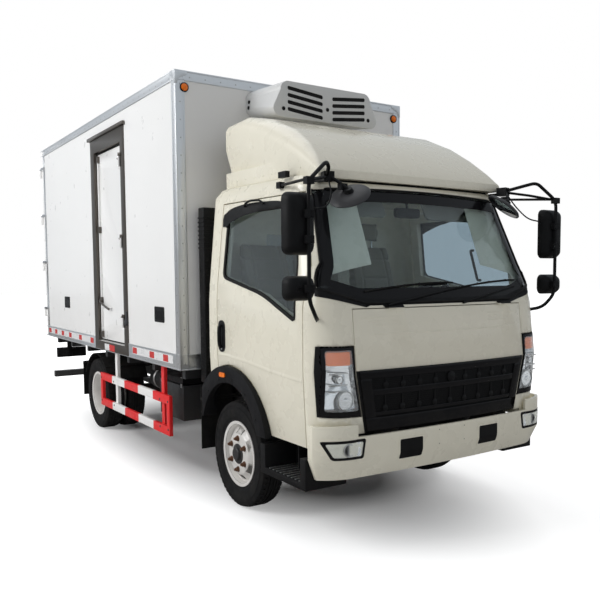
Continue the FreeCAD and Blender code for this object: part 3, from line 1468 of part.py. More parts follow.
def scoop(inset):
    """Make the tapering hollow cut into the fairing's left side towards the rear."""
    over = size("overrun")
    outside = size("fairing_6_half") + over
    rear_points = [
        (outside, size("scoop_low") - inset),
        (size("scoop_low_side") - inset, size("scoop_low") - inset),
        (size("scoop_high_side") - inset, size("scoop_high") + inset),
        (outside, size("scoop_high") + inset),
    ]
    front_points = [
        (outside, size("scoop_front_low") - inset),
        (size("scoop_front_side") - inset, size("scoop_front_low") - inset),
        (size("scoop_front_side") - inset, size("scoop_front_high") + inset),
        (outside, size("scoop_front_high") + inset),
    ]
    wires = []
    for place, points in (
            (size("fairing_6_place") + over, rear_points), (size("scoop_front"), front_points)):
        corners = [Vector(x, place, z) for x, z in points]
        wires.append(Part.makePolygon(corners + corners[:1]))
    return Part.makeLoft(wires, True, True)


fairing_outer = Part.makeLoft([fairing_outline(number, 0) for number in range(7)], True, True)
fairing_inner = Part.makeLoft(
    [fairing_outline(number, size("fairing_wall")) for number in range(7)], True, True)
outer_scoop = scoop(0)
inner_scoop = scoop(size("fairing_wall"))
fairing_outer = fairing_outer.cut(outer_scoop).cut(mirrored(outer_scoop))
fairing_inner = fairing_inner.cut(inner_scoop).cut(mirrored(inner_scoop))
fairing = fairing_outer.cut(fairing_inner).cut(cab_body(0))
node("roof_fairing", solid("roof_fairing_solid", fairing))

# Fenders: the dark flares over the front wheels.
flare_middle = Vector(
    size("foot_half") - size("cab_wall"), size("front_axle_place"), size("flare_centre_height"))
flare_width = size("flare_outer") - flare_middle.x
flare = Part.makeCylinder(size("flare_outer_radius"), flare_width, flare_middle, Vector(1, 0, 0))
flare = flare.cut(Part.makeCylinder(size("flare_inner_radius"), flare_width, flare_middle, Vector(1, 0, 0)))
flare = flare.common(span(
    (flare_middle.x, size("flare_outer")),
    (size("front_axle_place") - size("flare_outer_radius"), size("flare_rear")),
    (size("flare_bottom"), size("flare_centre_height") + size("flare_outer_radius"))))
flare = flare.cut(cab_body(0))
flare = Part.makeCompound([item for item in flare.Solids if item.BoundBox.XMax > size("flare_outer") - 1])
node("cab_fenders", solid("fender_solids", Part.makeCompound([flare, mirrored(flare)])))

# Mirrors and wipers, on the cab.
add_sizes({
    "mirror_place": -2900,
    "mirror_tube_side": 955,
    "mirror_tube_radius": 12,
    "mirror_tube_low": 1492,
    "mirror_tube_high": 2215,
    "mirror_peak_side": 900,
    "mirror_peak_height": 2300,
    "mirror_root_side": 790,
    "mirror_root_height": 1462,
    "mirror_top_side": 825,
    "mirror_top_place": -2440,
    "mirror_top_height": 2222,
    "mirror_outer": 1178,
    "mirror_inner": 985,
    "mirror_depth": 85,
    "mirror_bottom": 1758,
    "mirror_top": 2108,
    "small_mirror_bottom": 1500,
    "small_mirror_top": 1641,
    "round_mirror_side": 650,
    "round_mirror_place": -2790,
    "round_mirror_height": 2075,
    "round_mirror_radius": 120,
    "round_mirror_depth": 35,
    "round_arm_radius": 9,
    "round_arm_height": 2225,
    "wiper_radius": 7,
    "wiper_stand": 10,
    "wiper_root_height": 1462,
    "wiper_tip_height": 1560,
    "wiper_0_root": -470,
    "wiper_0_tip": 110,
    "wiper_1_root": 150,
    "wiper_1_tip": 700,
})


def screen_front(x, z):
    """Give the Y of the cab's front skin at one X and Z above the waist."""
    names = ["waist", "shoulder", "brow"]
    low, high = (names[0:2] if z < size("shoulder_height") else names[1:3])
    share = (z - size(low + "_height")) / (size(high + "_height") - size(low + "_height"))
    fronts = [
        size(name + "_front")
        + size("corner_back") * (x / (size(name + "_half") * CORNER_SHARES[name])) ** 2
        for name in (low, high)]
    return fronts[0] + (fronts[1] - fronts[0]) * share


def bars(points, radius):
    """Make a round bar along a path of points, mitred at each bend."""
    path = Part.makePolygon(points)
    section = Part.Wire([Part.makeCircle(radius, points[0], points[1] - points[0])])
    return path.makePipeShell([section], True, False, 1)


FORK_SHARE = 0.3
mirror_y = size("mirror_place")
root_place = screen_front(0, size("mirror_root_height")) + size("corner_side_back")
root = Vector(size("mirror_root_side"), root_place,
              size("mirror_root_height"))
tube_points = [
    root,
    Vector(size("mirror_root_side"), mirror_y, size("mirror_root_height")),
    Vector(size("mirror_tube_side"), mirror_y, size("mirror_tube_low")),
    Vector(size("mirror_tube_side"), mirror_y, size("mirror_tube_high")),
    Vector(size("mirror_peak_side"), mirror_y, size("mirror_peak_height")),
    Vector(size("mirror_top_side"), size("mirror_top_place"), size("mirror_top_height")),
]
mirror = bars(tube_points, size("mirror_tube_radius"))
for low, high in (("mirror_bottom", "mirror_top"), ("small_mirror_bottom", "small_mirror_top")):
    case = span(
        (size("mirror_inner"), size("mirror_outer")),
        (mirror_y - size("mirror_depth") / 3, mirror_y + size("mirror_depth") * 2 / 3),
        (size(low), size(high)))
    middle = (size(low) + size(high)) / 2
    clamp_half = size("mirror_tube_radius") * 2
    clamp = span(
        (size("mirror_tube_side") - clamp_half, size("mirror_inner") + clamp_half),
        (mirror_y - clamp_half, mirror_y + clamp_half), (middle - clamp_half, middle + clamp_half))
    mirror = mirror.fuse(case).fuse(clamp)
round_centre = Vector(size("round_mirror_side"), size("round_mirror_place"), size("round_mirror_height"))
round_face = Part.makeCylinder(
    size("round_mirror_radius"), size("round_mirror_depth"), round_centre, Vector(0, -1, 0))
fork = tube_points[4] + (tube_points[5] - tube_points[4]) * FORK_SHARE
round_arm = bars([
    round_centre + Vector(0, -size("round_mirror_depth") / 2, size("round_mirror_radius") / 2),
    Vector(size("round_mirror_side"), fork.y, size("round_arm_height")),
    fork,
], size("round_arm_radius"))
mirror = mirror.fuse(round_face).fuse(round_arm).cut(cab_body(0))
mirror = max(mirror.Solids, key=lambda item: item.Volume)
node("mirrors", solid("mirror_solids", Part.makeCompound([mirror, mirrored(mirror)])))

wiper_solids = []
for number in (0, 1):
    root_x, tip_x = size(f"wiper_{number}_root"), size(f"wiper_{number}_tip")
    out = Vector(0, -size("wiper_stand"), 0)
    root_point = Vector(root_x, screen_front(root_x, size("wiper_root_height")), size("wiper_root_height"))
    tip_point = Vector(tip_x, screen_front(tip_x, size("wiper_tip_height")), size("wiper_tip_height"))
    arm = bars([root_point, root_point + out, tip_point + out], size("wiper_radius"))
    wiper_solids.append(max(arm.cut(cab_body(0)).Solids, key=lambda item: item.Volume))
node("wipers", solid("wiper_solids", Part.makeCompound(wiper_solids)))

# Knuckles, wheels and tyres.
add_sizes({
    "ear_height": 30,
    "knuckle_web_low": 45,
    "knuckle_web_high": 67,
    "knuckle_half_width": 40,
    "spindle_radius": 30,
    "spindle_end": 58,
    "hub_start": 24,
    "hub_radius": 72,
    "hub_cap_radius": 46,
    "hub_cap_out": 104,
    "rim_half": 72,
    "rim_flange": 8,
    "rim_bed": 210,
    "rim_inside": 198,
    "disc_thickness": 10,
    "front_disc_out": 80,
    "disc_flat_radius": 132,
    "disc_slope": 42,
    "bore_end": 60,
    "rear_hub_start": 521,
    "rear_hub_radius": 95,
    "rear_hub_out": 90,
    "rear_flat_radius": 152,
    "rear_disc_reach": 50,
    "tread_half": 66,
    "tread_edge_radius": 362,
    "tread_edge_half": 86,
    "belly_radius_high": 325,
    "belly_radius_low": 280,
})
AXLE_Y = "front_axle_place"
KNUCKLE_Z = "tyre_radius"
pin = rod("kingpin", "z", ("kingpin_place", AXLE_Y, "0"), "kingpin_radius",
          ("tyre_radius - kingpin_reach", "tyre_radius + kingpin_reach"))
knuckle_pieces = [pin]
for label, low in (("upper", "tyre_radius + eye_half_height + tiny_gap"),
                   ("lower", "tyre_radius - eye_half_height - tiny_gap - ear_height")):
    knuckle_pieces.append(rod(
        f"{label}_ear", "z", ("kingpin_place", AXLE_Y, "0"), "eye_radius", (low, low + " + ear_height")))
    knuckle_pieces.append(block(
        f"{label}_ear_web", ("kingpin_place", "kingpin_place + knuckle_web_high"),
        ("front_axle_place - eye_radius", "front_axle_place + eye_radius"), (low, low + " + ear_height")))
knuckle_pieces.append(block(
    "knuckle_web", ("kingpin_place + knuckle_web_low", "kingpin_place + knuckle_web_high"),
    ("front_axle_place - eye_radius", "front_axle_place + eye_radius"),
    ("tyre_radius - eye_half_height - tiny_gap - ear_height",
     "tyre_radius + eye_half_height + tiny_gap + ear_height")))
knuckle_pieces.append(rod(
    "spindle", "x", ("0", AXLE_Y, "tyre_radius"), "spindle_radius",
    ("kingpin_place + knuckle_web_low", "front_wheel_centre + spindle_end")))
knuckle = joined("left_knuckle", knuckle_pieces)
node("knuckle_left", knuckle)
node("knuckle_right", other_side("right_knuckle", knuckle))

BORE = "spindle_radius + tiny_gap"
C = "front_wheel_centre"
RIM_IN = "rim_inside"
front_wheel = turned("front_wheel", [
    (C + " - hub_start", BORE),
    (C + " - hub_start", "hub_radius"),
    (C + " + front_disc_out - disc_thickness", "hub_radius"),
    (C + " + front_disc_out - disc_thickness", "disc_flat_radius - disc_thickness / 2"),
    (C + " + front_disc_out - disc_thickness - disc_slope",
     "disc_flat_radius + disc_slope - disc_thickness / 2"),
    (C, RIM_IN),
    (C + " - rim_half - rim_flange", RIM_IN),
    (C + " - rim_half - rim_flange", "rim_radius"),
    (C + " - rim_half", "rim_radius"),
    (C + " - rim_half", "rim_bed"),
    (C + " + rim_half", "rim_bed"),
    (C + " + rim_half", "rim_radius"),
    (C + " + rim_half + rim_flange", "rim_radius"),
    (C + " + rim_half + rim_flange", RIM_IN),
    (C + " + 2 * disc_thickness", RIM_IN),
    (C + " + front_disc_out - disc_slope", "disc_flat_radius + disc_slope"),
    (C + " + front_disc_out", "disc_flat_radius"),
    (C + " + front_disc_out", "hub_cap_radius"),
    (C + " + hub_cap_out", "hub_cap_radius"),
    (C + " + hub_cap_out", "0"),
    (C + " + bore_end", "0"),
    (C + " + bore_end", BORE),
], (AXLE_Y, "tyre_radius"))
node("wheel_front_left", front_wheel)
node("wheel_front_right", other_side("right_front_wheel", front_wheel))

MID = "(rear_inner_centre + rear_outer_centre) / 2"
C1 = "rear_inner_centre"
C2 = "rear_outer_centre"
rear_wheel = turned("rear_wheel", [
    ("rear_hub_start", "axle_tube_radius / 2 + tiny_gap"),
    ("rear_hub_start", "rear_hub_radius"),
    (MID + " - disc_thickness", "rear_hub_radius"),
    (MID + " - disc_thickness", "rear_flat_radius"),
    (C1 + " + rear_disc_reach", RIM_IN),
    (C1 + " - rim_half - rim_flange", RIM_IN),
    (C1 + " - rim_half - rim_flange", "rim_radius"),
    (C1 + " - rim_half", "rim_radius"),
    (C1 + " - rim_half", "rim_bed"),
    (C1 + " + rim_half", "rim_bed"),
    (C1 + " + rim_half", "rim_radius"),
    (C1 + " + rim_half + rim_flange", "rim_radius"),
    (C1 + " + rim_half + rim_flange", RIM_IN),
    (C1 + " + rear_disc_reach + disc_thickness", RIM_IN),
    (MID, "rear_flat_radius + disc_thickness"),
    (C2 + " - rear_disc_reach - disc_thickness", RIM_IN),
    (C2 + " - rim_half - rim_flange", RIM_IN),
    (C2 + " - rim_half - rim_flange", "rim_radius"),
    (C2 + " - rim_half", "rim_radius"),
    (C2 + " - rim_half", "rim_bed"),
    (C2 + " + rim_half", "rim_bed"),
    (C2 + " + rim_half", "rim_radius"),
    (C2 + " + rim_half + rim_flange", "rim_radius"),
    (C2 + " + rim_half + rim_flange", RIM_IN),
    (C2 + " - rear_disc_reach", RIM_IN),
    (MID + " + disc_thickness", "rear_flat_radius"),
    (MID + " + disc_thickness", "rear_hub_radius"),
    (MID + " + rear_hub_out", "rear_hub_radius - disc_thickness"),
    (MID + " + rear_hub_out", "0"),
    (C1 + " + disc_thickness", "0"),
    (C1 + " + disc_thickness", "axle_tube_radius / 2 + tiny_gap"),
], (REAR_AXLE, "tyre_radius"))
node("wheels_rear_left", rear_wheel)
node("wheels_rear_right", other_side("right_rear_wheels", rear_wheel))


def tyre(name, centre, axle):
    """Turn a plain tyre outline on its rim's bed."""
    half = [
        ("rim_half", "rim_bed"),
        ("rim_half", "rim_radius + rim_flange / 2"),
        ("tyre_width / 2", "belly_radius_low"),
        ("tyre_width / 2", "belly_radius_high"),
        ("tread_edge_half", "tread_edge_radius"),
        ("tread_half", "tyre_radius"),
    ]
    right = [(f"{centre} + {x}", radius) for x, radius in half]
    left = [(f"{centre} - {x}", radius) for x, radius in reversed(half)]
    return turned(name, right + left, (axle, "tyre_radius"))


front_tyre = tyre("front_tyre", C, AXLE_Y)
node("tyre_front_left", front_tyre)
node("tyre_front_right", other_side("right_front_tyre", front_tyre))
twins = together("left_twin_tyres", [tyre("inner_tyre", C1, REAR_AXLE), tyre("outer_tyre", C2, REAR_AXLE)])
node("tyres_rear_left", twins)
node("tyres_rear_right", other_side("right_twin_tyres", twins))

# Check every object, then write each sub-part to its own file.
doc.recompute()
for item in doc.Objects:
    if "Invalid" in item.State or "Error" in item.State:
        raise RuntimeError(f"{item.Name} failed: {item.State}")
os.makedirs("parts", exist_ok=True)
for item in nodes:
    if item.Shape.isNull() or not item.Shape.isValid() or not item.Shape.Solids:
        raise RuntimeError(f"{item.Label} has no valid shape")
for item in nodes:
    item.Shape.exportStep(f"parts/{item.Label}.step")
print(len(nodes), "sub-parts written")
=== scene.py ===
import json
import math

import bmesh
import bpy
from bpy.props import FloatProperty, FloatVectorProperty, IntProperty, PointerProperty
from mathutils import Matrix, Vector
from mathutils.bvhtree import BVHTree

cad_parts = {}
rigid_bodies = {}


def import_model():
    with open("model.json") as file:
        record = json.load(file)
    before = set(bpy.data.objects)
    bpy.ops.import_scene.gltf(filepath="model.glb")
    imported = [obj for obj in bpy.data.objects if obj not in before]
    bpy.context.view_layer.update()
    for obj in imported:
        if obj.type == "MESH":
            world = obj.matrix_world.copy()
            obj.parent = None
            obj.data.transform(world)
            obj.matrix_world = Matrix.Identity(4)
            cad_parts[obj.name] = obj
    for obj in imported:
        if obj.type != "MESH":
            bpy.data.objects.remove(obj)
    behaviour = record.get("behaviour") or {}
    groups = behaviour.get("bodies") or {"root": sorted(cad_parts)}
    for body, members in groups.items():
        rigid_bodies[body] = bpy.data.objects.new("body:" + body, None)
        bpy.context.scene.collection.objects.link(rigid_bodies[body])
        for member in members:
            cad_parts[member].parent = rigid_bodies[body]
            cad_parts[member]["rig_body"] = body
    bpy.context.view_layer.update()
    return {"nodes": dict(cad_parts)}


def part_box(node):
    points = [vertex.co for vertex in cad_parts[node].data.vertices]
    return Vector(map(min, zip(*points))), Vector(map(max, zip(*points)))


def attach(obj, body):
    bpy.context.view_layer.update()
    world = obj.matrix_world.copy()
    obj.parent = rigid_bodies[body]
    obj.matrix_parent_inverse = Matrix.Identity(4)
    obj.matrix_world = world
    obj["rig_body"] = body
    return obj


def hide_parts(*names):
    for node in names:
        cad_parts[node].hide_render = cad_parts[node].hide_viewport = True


bl_info = {
    "name": "Refrigerated Truck Dressing",
    "version": (1, 0, 0),
    "blender": (4, 5, 0),
    "location": "View3D > Sidebar > Truck",
    "description": "Finishes a light refrigerated truck: paint, box fittings, glazing, lamps, wheels and cab interior",
    "category": "Object",
}

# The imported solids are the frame: metres, +Z up, the truck's front at -Y and its left at +X.
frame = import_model()
solids = frame["nodes"]
finishes = {}

# Places that several pieces share, in metres
AXLE_Z, FRONT_AXLE_Y, REAR_AXLE_Y = 0.380, -1.800, 1.450
FRONT_WHEEL_X, REAR_WHEELS_X, REAR_DISC_X = 0.8425, (0.6225, 0.8475), 0.735
REAR_SKIN_Y = 2.9727
REAR_HINGES_Z, SIDE_HINGES_Z = (1.202, 1.766, 2.329, 2.893), (1.269, 1.990, 2.713)

# Bolt heads as (distance out, radius), and how many nuts hold a wheel
HINGE_BOLT = ((-0.002, 0.009), (0.004, 0.009), (0.007, 0.005), (0.007, 0.0))
KEEPER_BOLT = ((0.0, 0.006), (0.004, 0.006), (0.0055, 0.0035), (0.0055, 0.0))
WHEEL_NUTS = 6

# Doubled vertices of a solid lie closer than this, and faces that turn less than this make one flat face
WELD = 0.00002
FLAT = math.radians(0.4)


# Shapes

def blanks(count):
    """Give some empty bmeshes."""
    return [bmesh.new() for number in range(count)]


def add_object(name, mesh, body, finish=None):
    """Link a mesh whose vertices are already in place, and let it ride on a body."""
    piece = bpy.data.objects.new(name, mesh)
    bpy.context.scene.collection.objects.link(piece)
    if finish:
        mesh.materials.clear()
        for label in ([finish] if isinstance(finish, str) else finish):
            mesh.materials.append(finishes[label])
    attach(piece, body)
    return piece


def smooth(mesh, degrees):
    """Shade a mesh smooth, with sharp edges where it turns more than an angle."""
    for face in mesh.polygons:
        face.use_smooth = True
    mesh.set_sharp_from_angle(angle=math.radians(degrees))


def mesh_from(name, shape, degrees=35, way=None):
    """Turn a bmesh into a mesh with outward normals, or for an open sheet with normals that face a way."""
    bmesh.ops.recalc_face_normals(shape, faces=shape.faces)
    if way:
        shape.normal_update()
        bmesh.ops.reverse_faces(shape, faces=[face for face in shape.faces if face.normal.dot(Vector(way)) < 0])
    mesh = bpy.data.meshes.new(name)
    shape.to_mesh(mesh)
    shape.free()
    smooth(mesh, degrees)
    return mesh


def add_piece(name, shape, body, finish, degrees=35, way=None):
    """Turn a bmesh into a piece of one finish that rides on a body."""
    return add_object(name, mesh_from(name, shape, degrees, way), body, finish)


def skinned(shape, rows, closed=True):
    """Join rows of as many vertices each with faces, all the way round or only along them."""
    count = len(rows[0])
    for first, second in zip(rows, rows[1:]):
        for step in range(count if closed else count - 1):
            after = (step + 1) % count
            shape.faces.new([first[step], first[after], second[after], second[step]])


def applied(piece, modifiers):
    """Add modifiers given as (type, settings), and bake them into the piece's mesh."""
    for kind, settings in modifiers:
        modifier = piece.modifiers.new(kind.title(), kind)
        for key, value in settings.items():
            setattr(modifier, key, value)
    bpy.context.view_layer.update()
    evaluated = piece.evaluated_get(bpy.context.evaluated_depsgraph_get())
    mesh = bpy.data.meshes.new_from_object(evaluated)
    piece.modifiers.clear()
    piece.data = mesh


def bevelled(piece, width, degrees=30):
    """Round a piece's edges, and shade it smooth again."""
    applied(piece, [("BEVEL", {"width": width, "segments": 2, "limit_method": "ANGLE"})])
    smooth(piece.data, degrees)


def dress(node, finish, edge=0.0, degrees=32, name=None, zones=(), cuts=()):
    """Replace a solid by its clean copy, shaded smooth and with softened edges.

    Cuts are planes given as (point, normal) that part its faces. Zones are (finish, test of a face's centre):
    their faces stay parted from the others, but add_object puts every face back to the first finish."""
    name = name or node + "_skin"
    shape = bmesh.new()
    shape.from_mesh(solids[node].data)
    bmesh.ops.remove_doubles(shape, verts=shape.verts, dist=WELD)
    for point, normal in cuts:
        geometry = shape.verts[:] + shape.edges[:] + shape.faces[:]
        bmesh.ops.bisect_plane(shape, geom=geometry, plane_co=point, plane_no=normal)
    for face in shape.faces:
        face.material_index = 0
        centre = face.calc_center_median()
        for index, (label, test) in enumerate(zones, 1):
            if test(centre):
                face.material_index = index
                break
    bmesh.ops.dissolve_limit(
        shape, angle_limit=FLAT, verts=shape.verts, edges=shape.edges, use_dissolve_boundaries=False,
        delimit={"MATERIAL"})
    mesh = bpy.data.meshes.new(name)
    shape.to_mesh(mesh)
    shape.free()
    smooth(mesh, degrees)
    labels = [finish] + [label for label, test in zones]
    piece = add_object(name, mesh, solids[node]["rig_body"], labels)
    if edge > 0:
        applied(piece, [("BEVEL", {
            "width": edge, "segments": 2, "limit_method": "ANGLE", "angle_limit": math.radians(degrees),
            "harden_normals": False})])
        smooth(piece.data, degrees)
    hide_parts(node)
    return piece


def surface(*nodes):
    """Give a search tree over the triangles of some solids, for laying pieces on them."""
    verts, faces = [], []
    for node in nodes:
        mesh = solids[node].data
        start = len(verts)
        verts += [vert.co.copy() for vert in mesh.vertices]
        faces += [[start + index for index in face.vertices] for face in mesh.polygons]
    return BVHTree.FromPolygons(verts, faces)


def dropped(tree, pair, axis, side, fallback=None):
    """Find where a line along an axis, coming from one side, first meets a surface."""
    pair = tuple(pair)
    if axis == "X":
        start, way = Vector((4 * side, pair[0], pair[1])), Vector((-side, 0, 0))
    elif axis == "Y":
        start, way = Vector((pair[0], 4 * side, pair[1])), Vector((0, -side, 0))
    else:
        start, way = Vector((pair[0], pair[1], 4 * side)), Vector((0, 0, -side))
    place = tree.ray_cast(start, way)[0]
    if place is None and fallback is not None:
        place = Vector(start)
        place["XYZ".index(axis)] = fallback
    if place is None:
        raise RuntimeError("nothing under %s along %s" % (pair, axis))
    return place


def draped(shape, rows, tree, axis, side, lift, thickness, closed=True, fallback=None, filled=False):
    """Lay rows of points, given across an axis, on a surface as a band of some thickness.

    A filled band also closes its last row, so that it covers all inside its first."""
    away = Vector([side if letter == axis else 0 for letter in "XYZ"])
    tops, feet = [], []
    for row_points in rows:
        places = [dropped(tree, pair, axis, side, fallback) + away * lift for pair in row_points]
        tops.append([shape.verts.new(place) for place in places])
        feet.append([shape.verts.new(place - away * thickness) for place in places])
    count = len(rows[0])
    steps = range(count if closed else count - 1)
    for index in range(len(rows) - 1):
        for step in steps:
            after = (step + 1) % count
            shape.faces.new([tops[index][step], tops[index][after], tops[index + 1][after], tops[index + 1][step]])
            shape.faces.new([feet[index][step], feet[index + 1][step], feet[index + 1][after], feet[index][after]])
    for index in (0,) if filled else (0, -1):
        for step in steps:
            after = (step + 1) % count
            shape.faces.new([tops[index][step], feet[index][step], feet[index][after], tops[index][after]])
    if filled:
        shape.faces.new(tops[-1])
        shape.faces.new(feet[-1])
    if not closed:
        for index in range(len(rows) - 1):
            for step in (0, -1):
                shape.faces.new([tops[index][step], tops[index + 1][step], feet[index + 1][step], feet[index][step]])


def between(first, second, count):
    """Give rows of points from one outline to another with as many points."""
    rows = []
    for index in range(count + 1):
        share = index / count
        rows.append([Vector(a).lerp(Vector(b), share) for a, b in zip(first, second)])
    return rows


def shrunk(outline, share):
    """Scale an outline towards its middle."""
    middle = sum((Vector(point) for point in outline), Vector((0, 0))) / len(outline)
    return [middle.lerp(Vector(point), share) for point in outline]


def nested(outline, *shares):
    """Give an outline and copies of it that are scaled towards its middle."""
    return [outline] + [shrunk(outline, share) for share in shares]


def dense(outline, spacing, closed=True):
    """Add points along an outline so that none are further apart than a spacing."""
    points = [Vector(point) for point in outline]
    pairs = list(zip(points, points[1:] + points[:1])) if closed else list(zip(points, points[1:]))
    result = []
    for first, second in pairs:
        count = max(1, math.ceil((second - first).length / spacing))
        result += [first.lerp(second, step / count) for step in range(count)]
    if not closed:
        result.append(points[-1])
    return result


def resampled(outline, count):
    """Give a closed outline evenly spaced points, starting where it crosses the middle at its foot."""
    points = [Vector(point[:2]) for point in outline]
    lowest = min(range(len(points)), key=lambda index: (round(points[index].y, 3), abs(points[index].x)))
    points = points[lowest:] + points[:lowest]
    points.append(points[0])
    lengths = [0.0]
    for first, second in zip(points, points[1:]):
        lengths.append(lengths[-1] + (second - first).length)
    result, index = [], 0
    for step in range(count):
        along = lengths[-1] * step / count
        while lengths[index + 1] < along:
            index += 1
        share = (along - lengths[index]) / max(1e-9, lengths[index + 1] - lengths[index])
        result.append(points[index].lerp(points[index + 1], share))
    return result


def inset(outline, distance):
    """Move each side of a closed outline inwards, where it runs anticlockwise."""
    points = [Vector(point[:2]) for point in outline]
    count = len(points)
    result = []
    for index, point in enumerate(points):
        back = (point - points[index - 1]).normalized()
        on = (points[(index + 1) % count] - point).normalized()
        inward = Vector((-back.y - on.y, back.x + on.x))
        inward.normalize()
        share = max(0.35, inward.dot(Vector((-on.y, on.x))))
        result.append(point + inward * distance / share)
    return result


def rounded_outline(corners, radius, steps=6):
    """Round the corners of a closed outline of (across, up) points."""
    points = [Vector(point[:2]) for point in corners]
    count = len(points)
    radii = radius if isinstance(radius, (list, tuple)) else [radius] * count
    result = []
    for index, corner in enumerate(points):
        back, on = points[index - 1] - corner, points[(index + 1) % count] - corner
        reach = min(radii[index], back.length / 2.1, on.length / 2.1)
        start, end = corner + back.normalized() * reach, corner + on.normalized() * reach
        for step in range(steps + 1):
            share = step / steps
            result.append(start.lerp(corner, share).lerp(corner.lerp(end, share), share))
    return result


def repaint(finish, *nodes):
    """Give carried-over solids a finish."""
    for node in nodes:
        mesh = solids[node].data
        mesh.materials.clear()
        mesh.materials.append(finishes[finish])


def cuboid(shape, low, high):
    """Add a box between two corners, and return its vertices."""
    centre = (Vector(low) + Vector(high)) / 2
    extent = Vector(high) - Vector(low)
    matrix = Matrix.Translation(centre) @ Matrix.Diagonal((*extent, 1))
    return bmesh.ops.create_cube(shape, size=1, matrix=matrix)["verts"]


def round_bar(shape, start, end, radius, sides=20, end_radius=None):
    """Add a closed round bar or cone between two points."""
    start, end = Vector(start), Vector(end)
    way = end - start
    turn = way.to_track_quat("Z", "Y").to_matrix().to_4x4()
    matrix = Matrix.Translation((start + end) / 2) @ turn
    bmesh.ops.create_cone(
        shape, cap_ends=True, cap_tris=False, segments=sides, radius1=radius,
        radius2=radius if end_radius is None else end_radius, depth=way.length, matrix=matrix)


def outwards(profile, side):
    """Turn a profile of (distance out, radius) points towards a side of the truck."""
    return [(side * out, radius) for out, radius in profile]


def lathe(shape, profile, centre, axis="X", sides=64):
    """Turn a profile of (distance along, radius) points about an axis through a centre."""
    centre = Vector(centre)
    rings = []
    for along, radius in profile:
        ring = []
        for index in range(sides):
            turn = 2 * math.pi * index / sides
            across = (radius * math.cos(turn), radius * math.sin(turn))
            point = Vector((along, *across)) if axis == "X" else (
                Vector((across[0], along, across[1])) if axis == "Y" else Vector((*across, along)))
            ring.append(shape.verts.new(centre + point))
            if radius == 0:
                break
        rings.append(ring)
    for first, second in zip(rings, rings[1:]):
        for index in range(sides):
            after = (index + 1) % sides
            corners = [first[index % len(first)], first[after % len(first)],
                       second[after % len(second)], second[index % len(second)]]
            corners = list(dict.fromkeys(corners))
            if len(corners) > 2:
                shape.faces.new(corners)
    for ring in (rings[0], rings[-1]):
        if len(ring) > 2 and rings[0] is not rings[-1]:
            shape.faces.new(ring)


def extruded(shape, outline, axis, low, high):
    """Add a closed prism from an outline in the two other axes, between two places, and return its faces."""
    def place(pair, along):
        if axis == "X":
            return Vector((along, pair[0], pair[1]))
        if axis == "Y":
            return Vector((pair[0], along, pair[1]))
        return Vector((pair[0], pair[1], along))
    near = [shape.verts.new(place(pair, low)) for pair in outline]
    far = [shape.verts.new(place(pair, high)) for pair in outline]
    count = len(outline)
    faces = [shape.faces.new(near), shape.faces.new(list(reversed(far)))]
    for index in range(count):
        after = (index + 1) % count
        faces.append(shape.faces.new([near[index], far[index], far[after], near[after]]))
    return faces


def tube(shape, points, radius, sides=14, closed=False):
    """Sweep a round section along a smoothed path of points, with closed ends."""
    path = [Vector(point) for point in points]
    count = len(path)
    rings = []
    side = None
    for index, point in enumerate(path):
        if closed:
            way = path[(index + 1) % count] - path[index - 1]
        else:
            way = path[min(index + 1, count - 1)] - path[max(index - 1, 0)]
        way.normalize()
        if side is None:
            side = way.orthogonal().normalized()
        side = (side - way * side.dot(way)).normalized()
        other = way.cross(side)
        rings.append([
            shape.verts.new(point + radius * (math.cos(turn) * side + math.sin(turn) * other))
            for turn in (2 * math.pi * step / sides for step in range(sides))])
    skinned(shape, rings + rings[:1] if closed else rings)
    if not closed:
        shape.faces.new(list(reversed(rings[0])))
        shape.faces.new(rings[-1])


def rounded_path(corners, radius, steps=6):
    """Round the corners of an open path of points."""
    corners = [Vector(point) for point in corners]
    path = [corners[0]]
    for before, corner, after in zip(corners, corners[1:], corners[2:]):
        back, on = before - corner, after - corner
        reach = min(radius, back.length / 2.2, on.length / 2.2)
        start, end = corner + back.normalized() * reach, corner + on.normalized() * reach
        for step in range(steps + 1):
            share = step / steps
            path.append(start.lerp(corner, share).lerp(corner.lerp(end, share), share))
    path.append(corners[-1])
    return path


def rounded_rectangle(width, height, corner, steps=5):
    """Give the outline of a rounded rectangle about the origin."""
    points = []
    for across, up, turn in ((1, 1, 0), (-1, 1, 90), (-1, -1, 180), (1, -1, 270)):
        for step in range(steps + 1):
            angle = math.radians(turn + 90 * step / steps)
            points.append((
                across * (width / 2 - corner) + corner * math.cos(angle),
                up * (height / 2 - corner) + corner * math.sin(angle)))
    return points


def mirrored_x(shape):
    """Add a copy of everything in a bmesh on the other side of the truck."""
    found = bmesh.ops.duplicate(shape, geom=shape.verts[:] + shape.edges[:] + shape.faces[:])["geom"]
    copies = [item for item in found if isinstance(item, bmesh.types.BMVert)]
    for vert in copies:
        vert.co.x = -vert.co.x
    faces = [item for item in found if isinstance(item, bmesh.types.BMFace)]
    bmesh.ops.reverse_faces(shape, faces=faces)


# Finishes

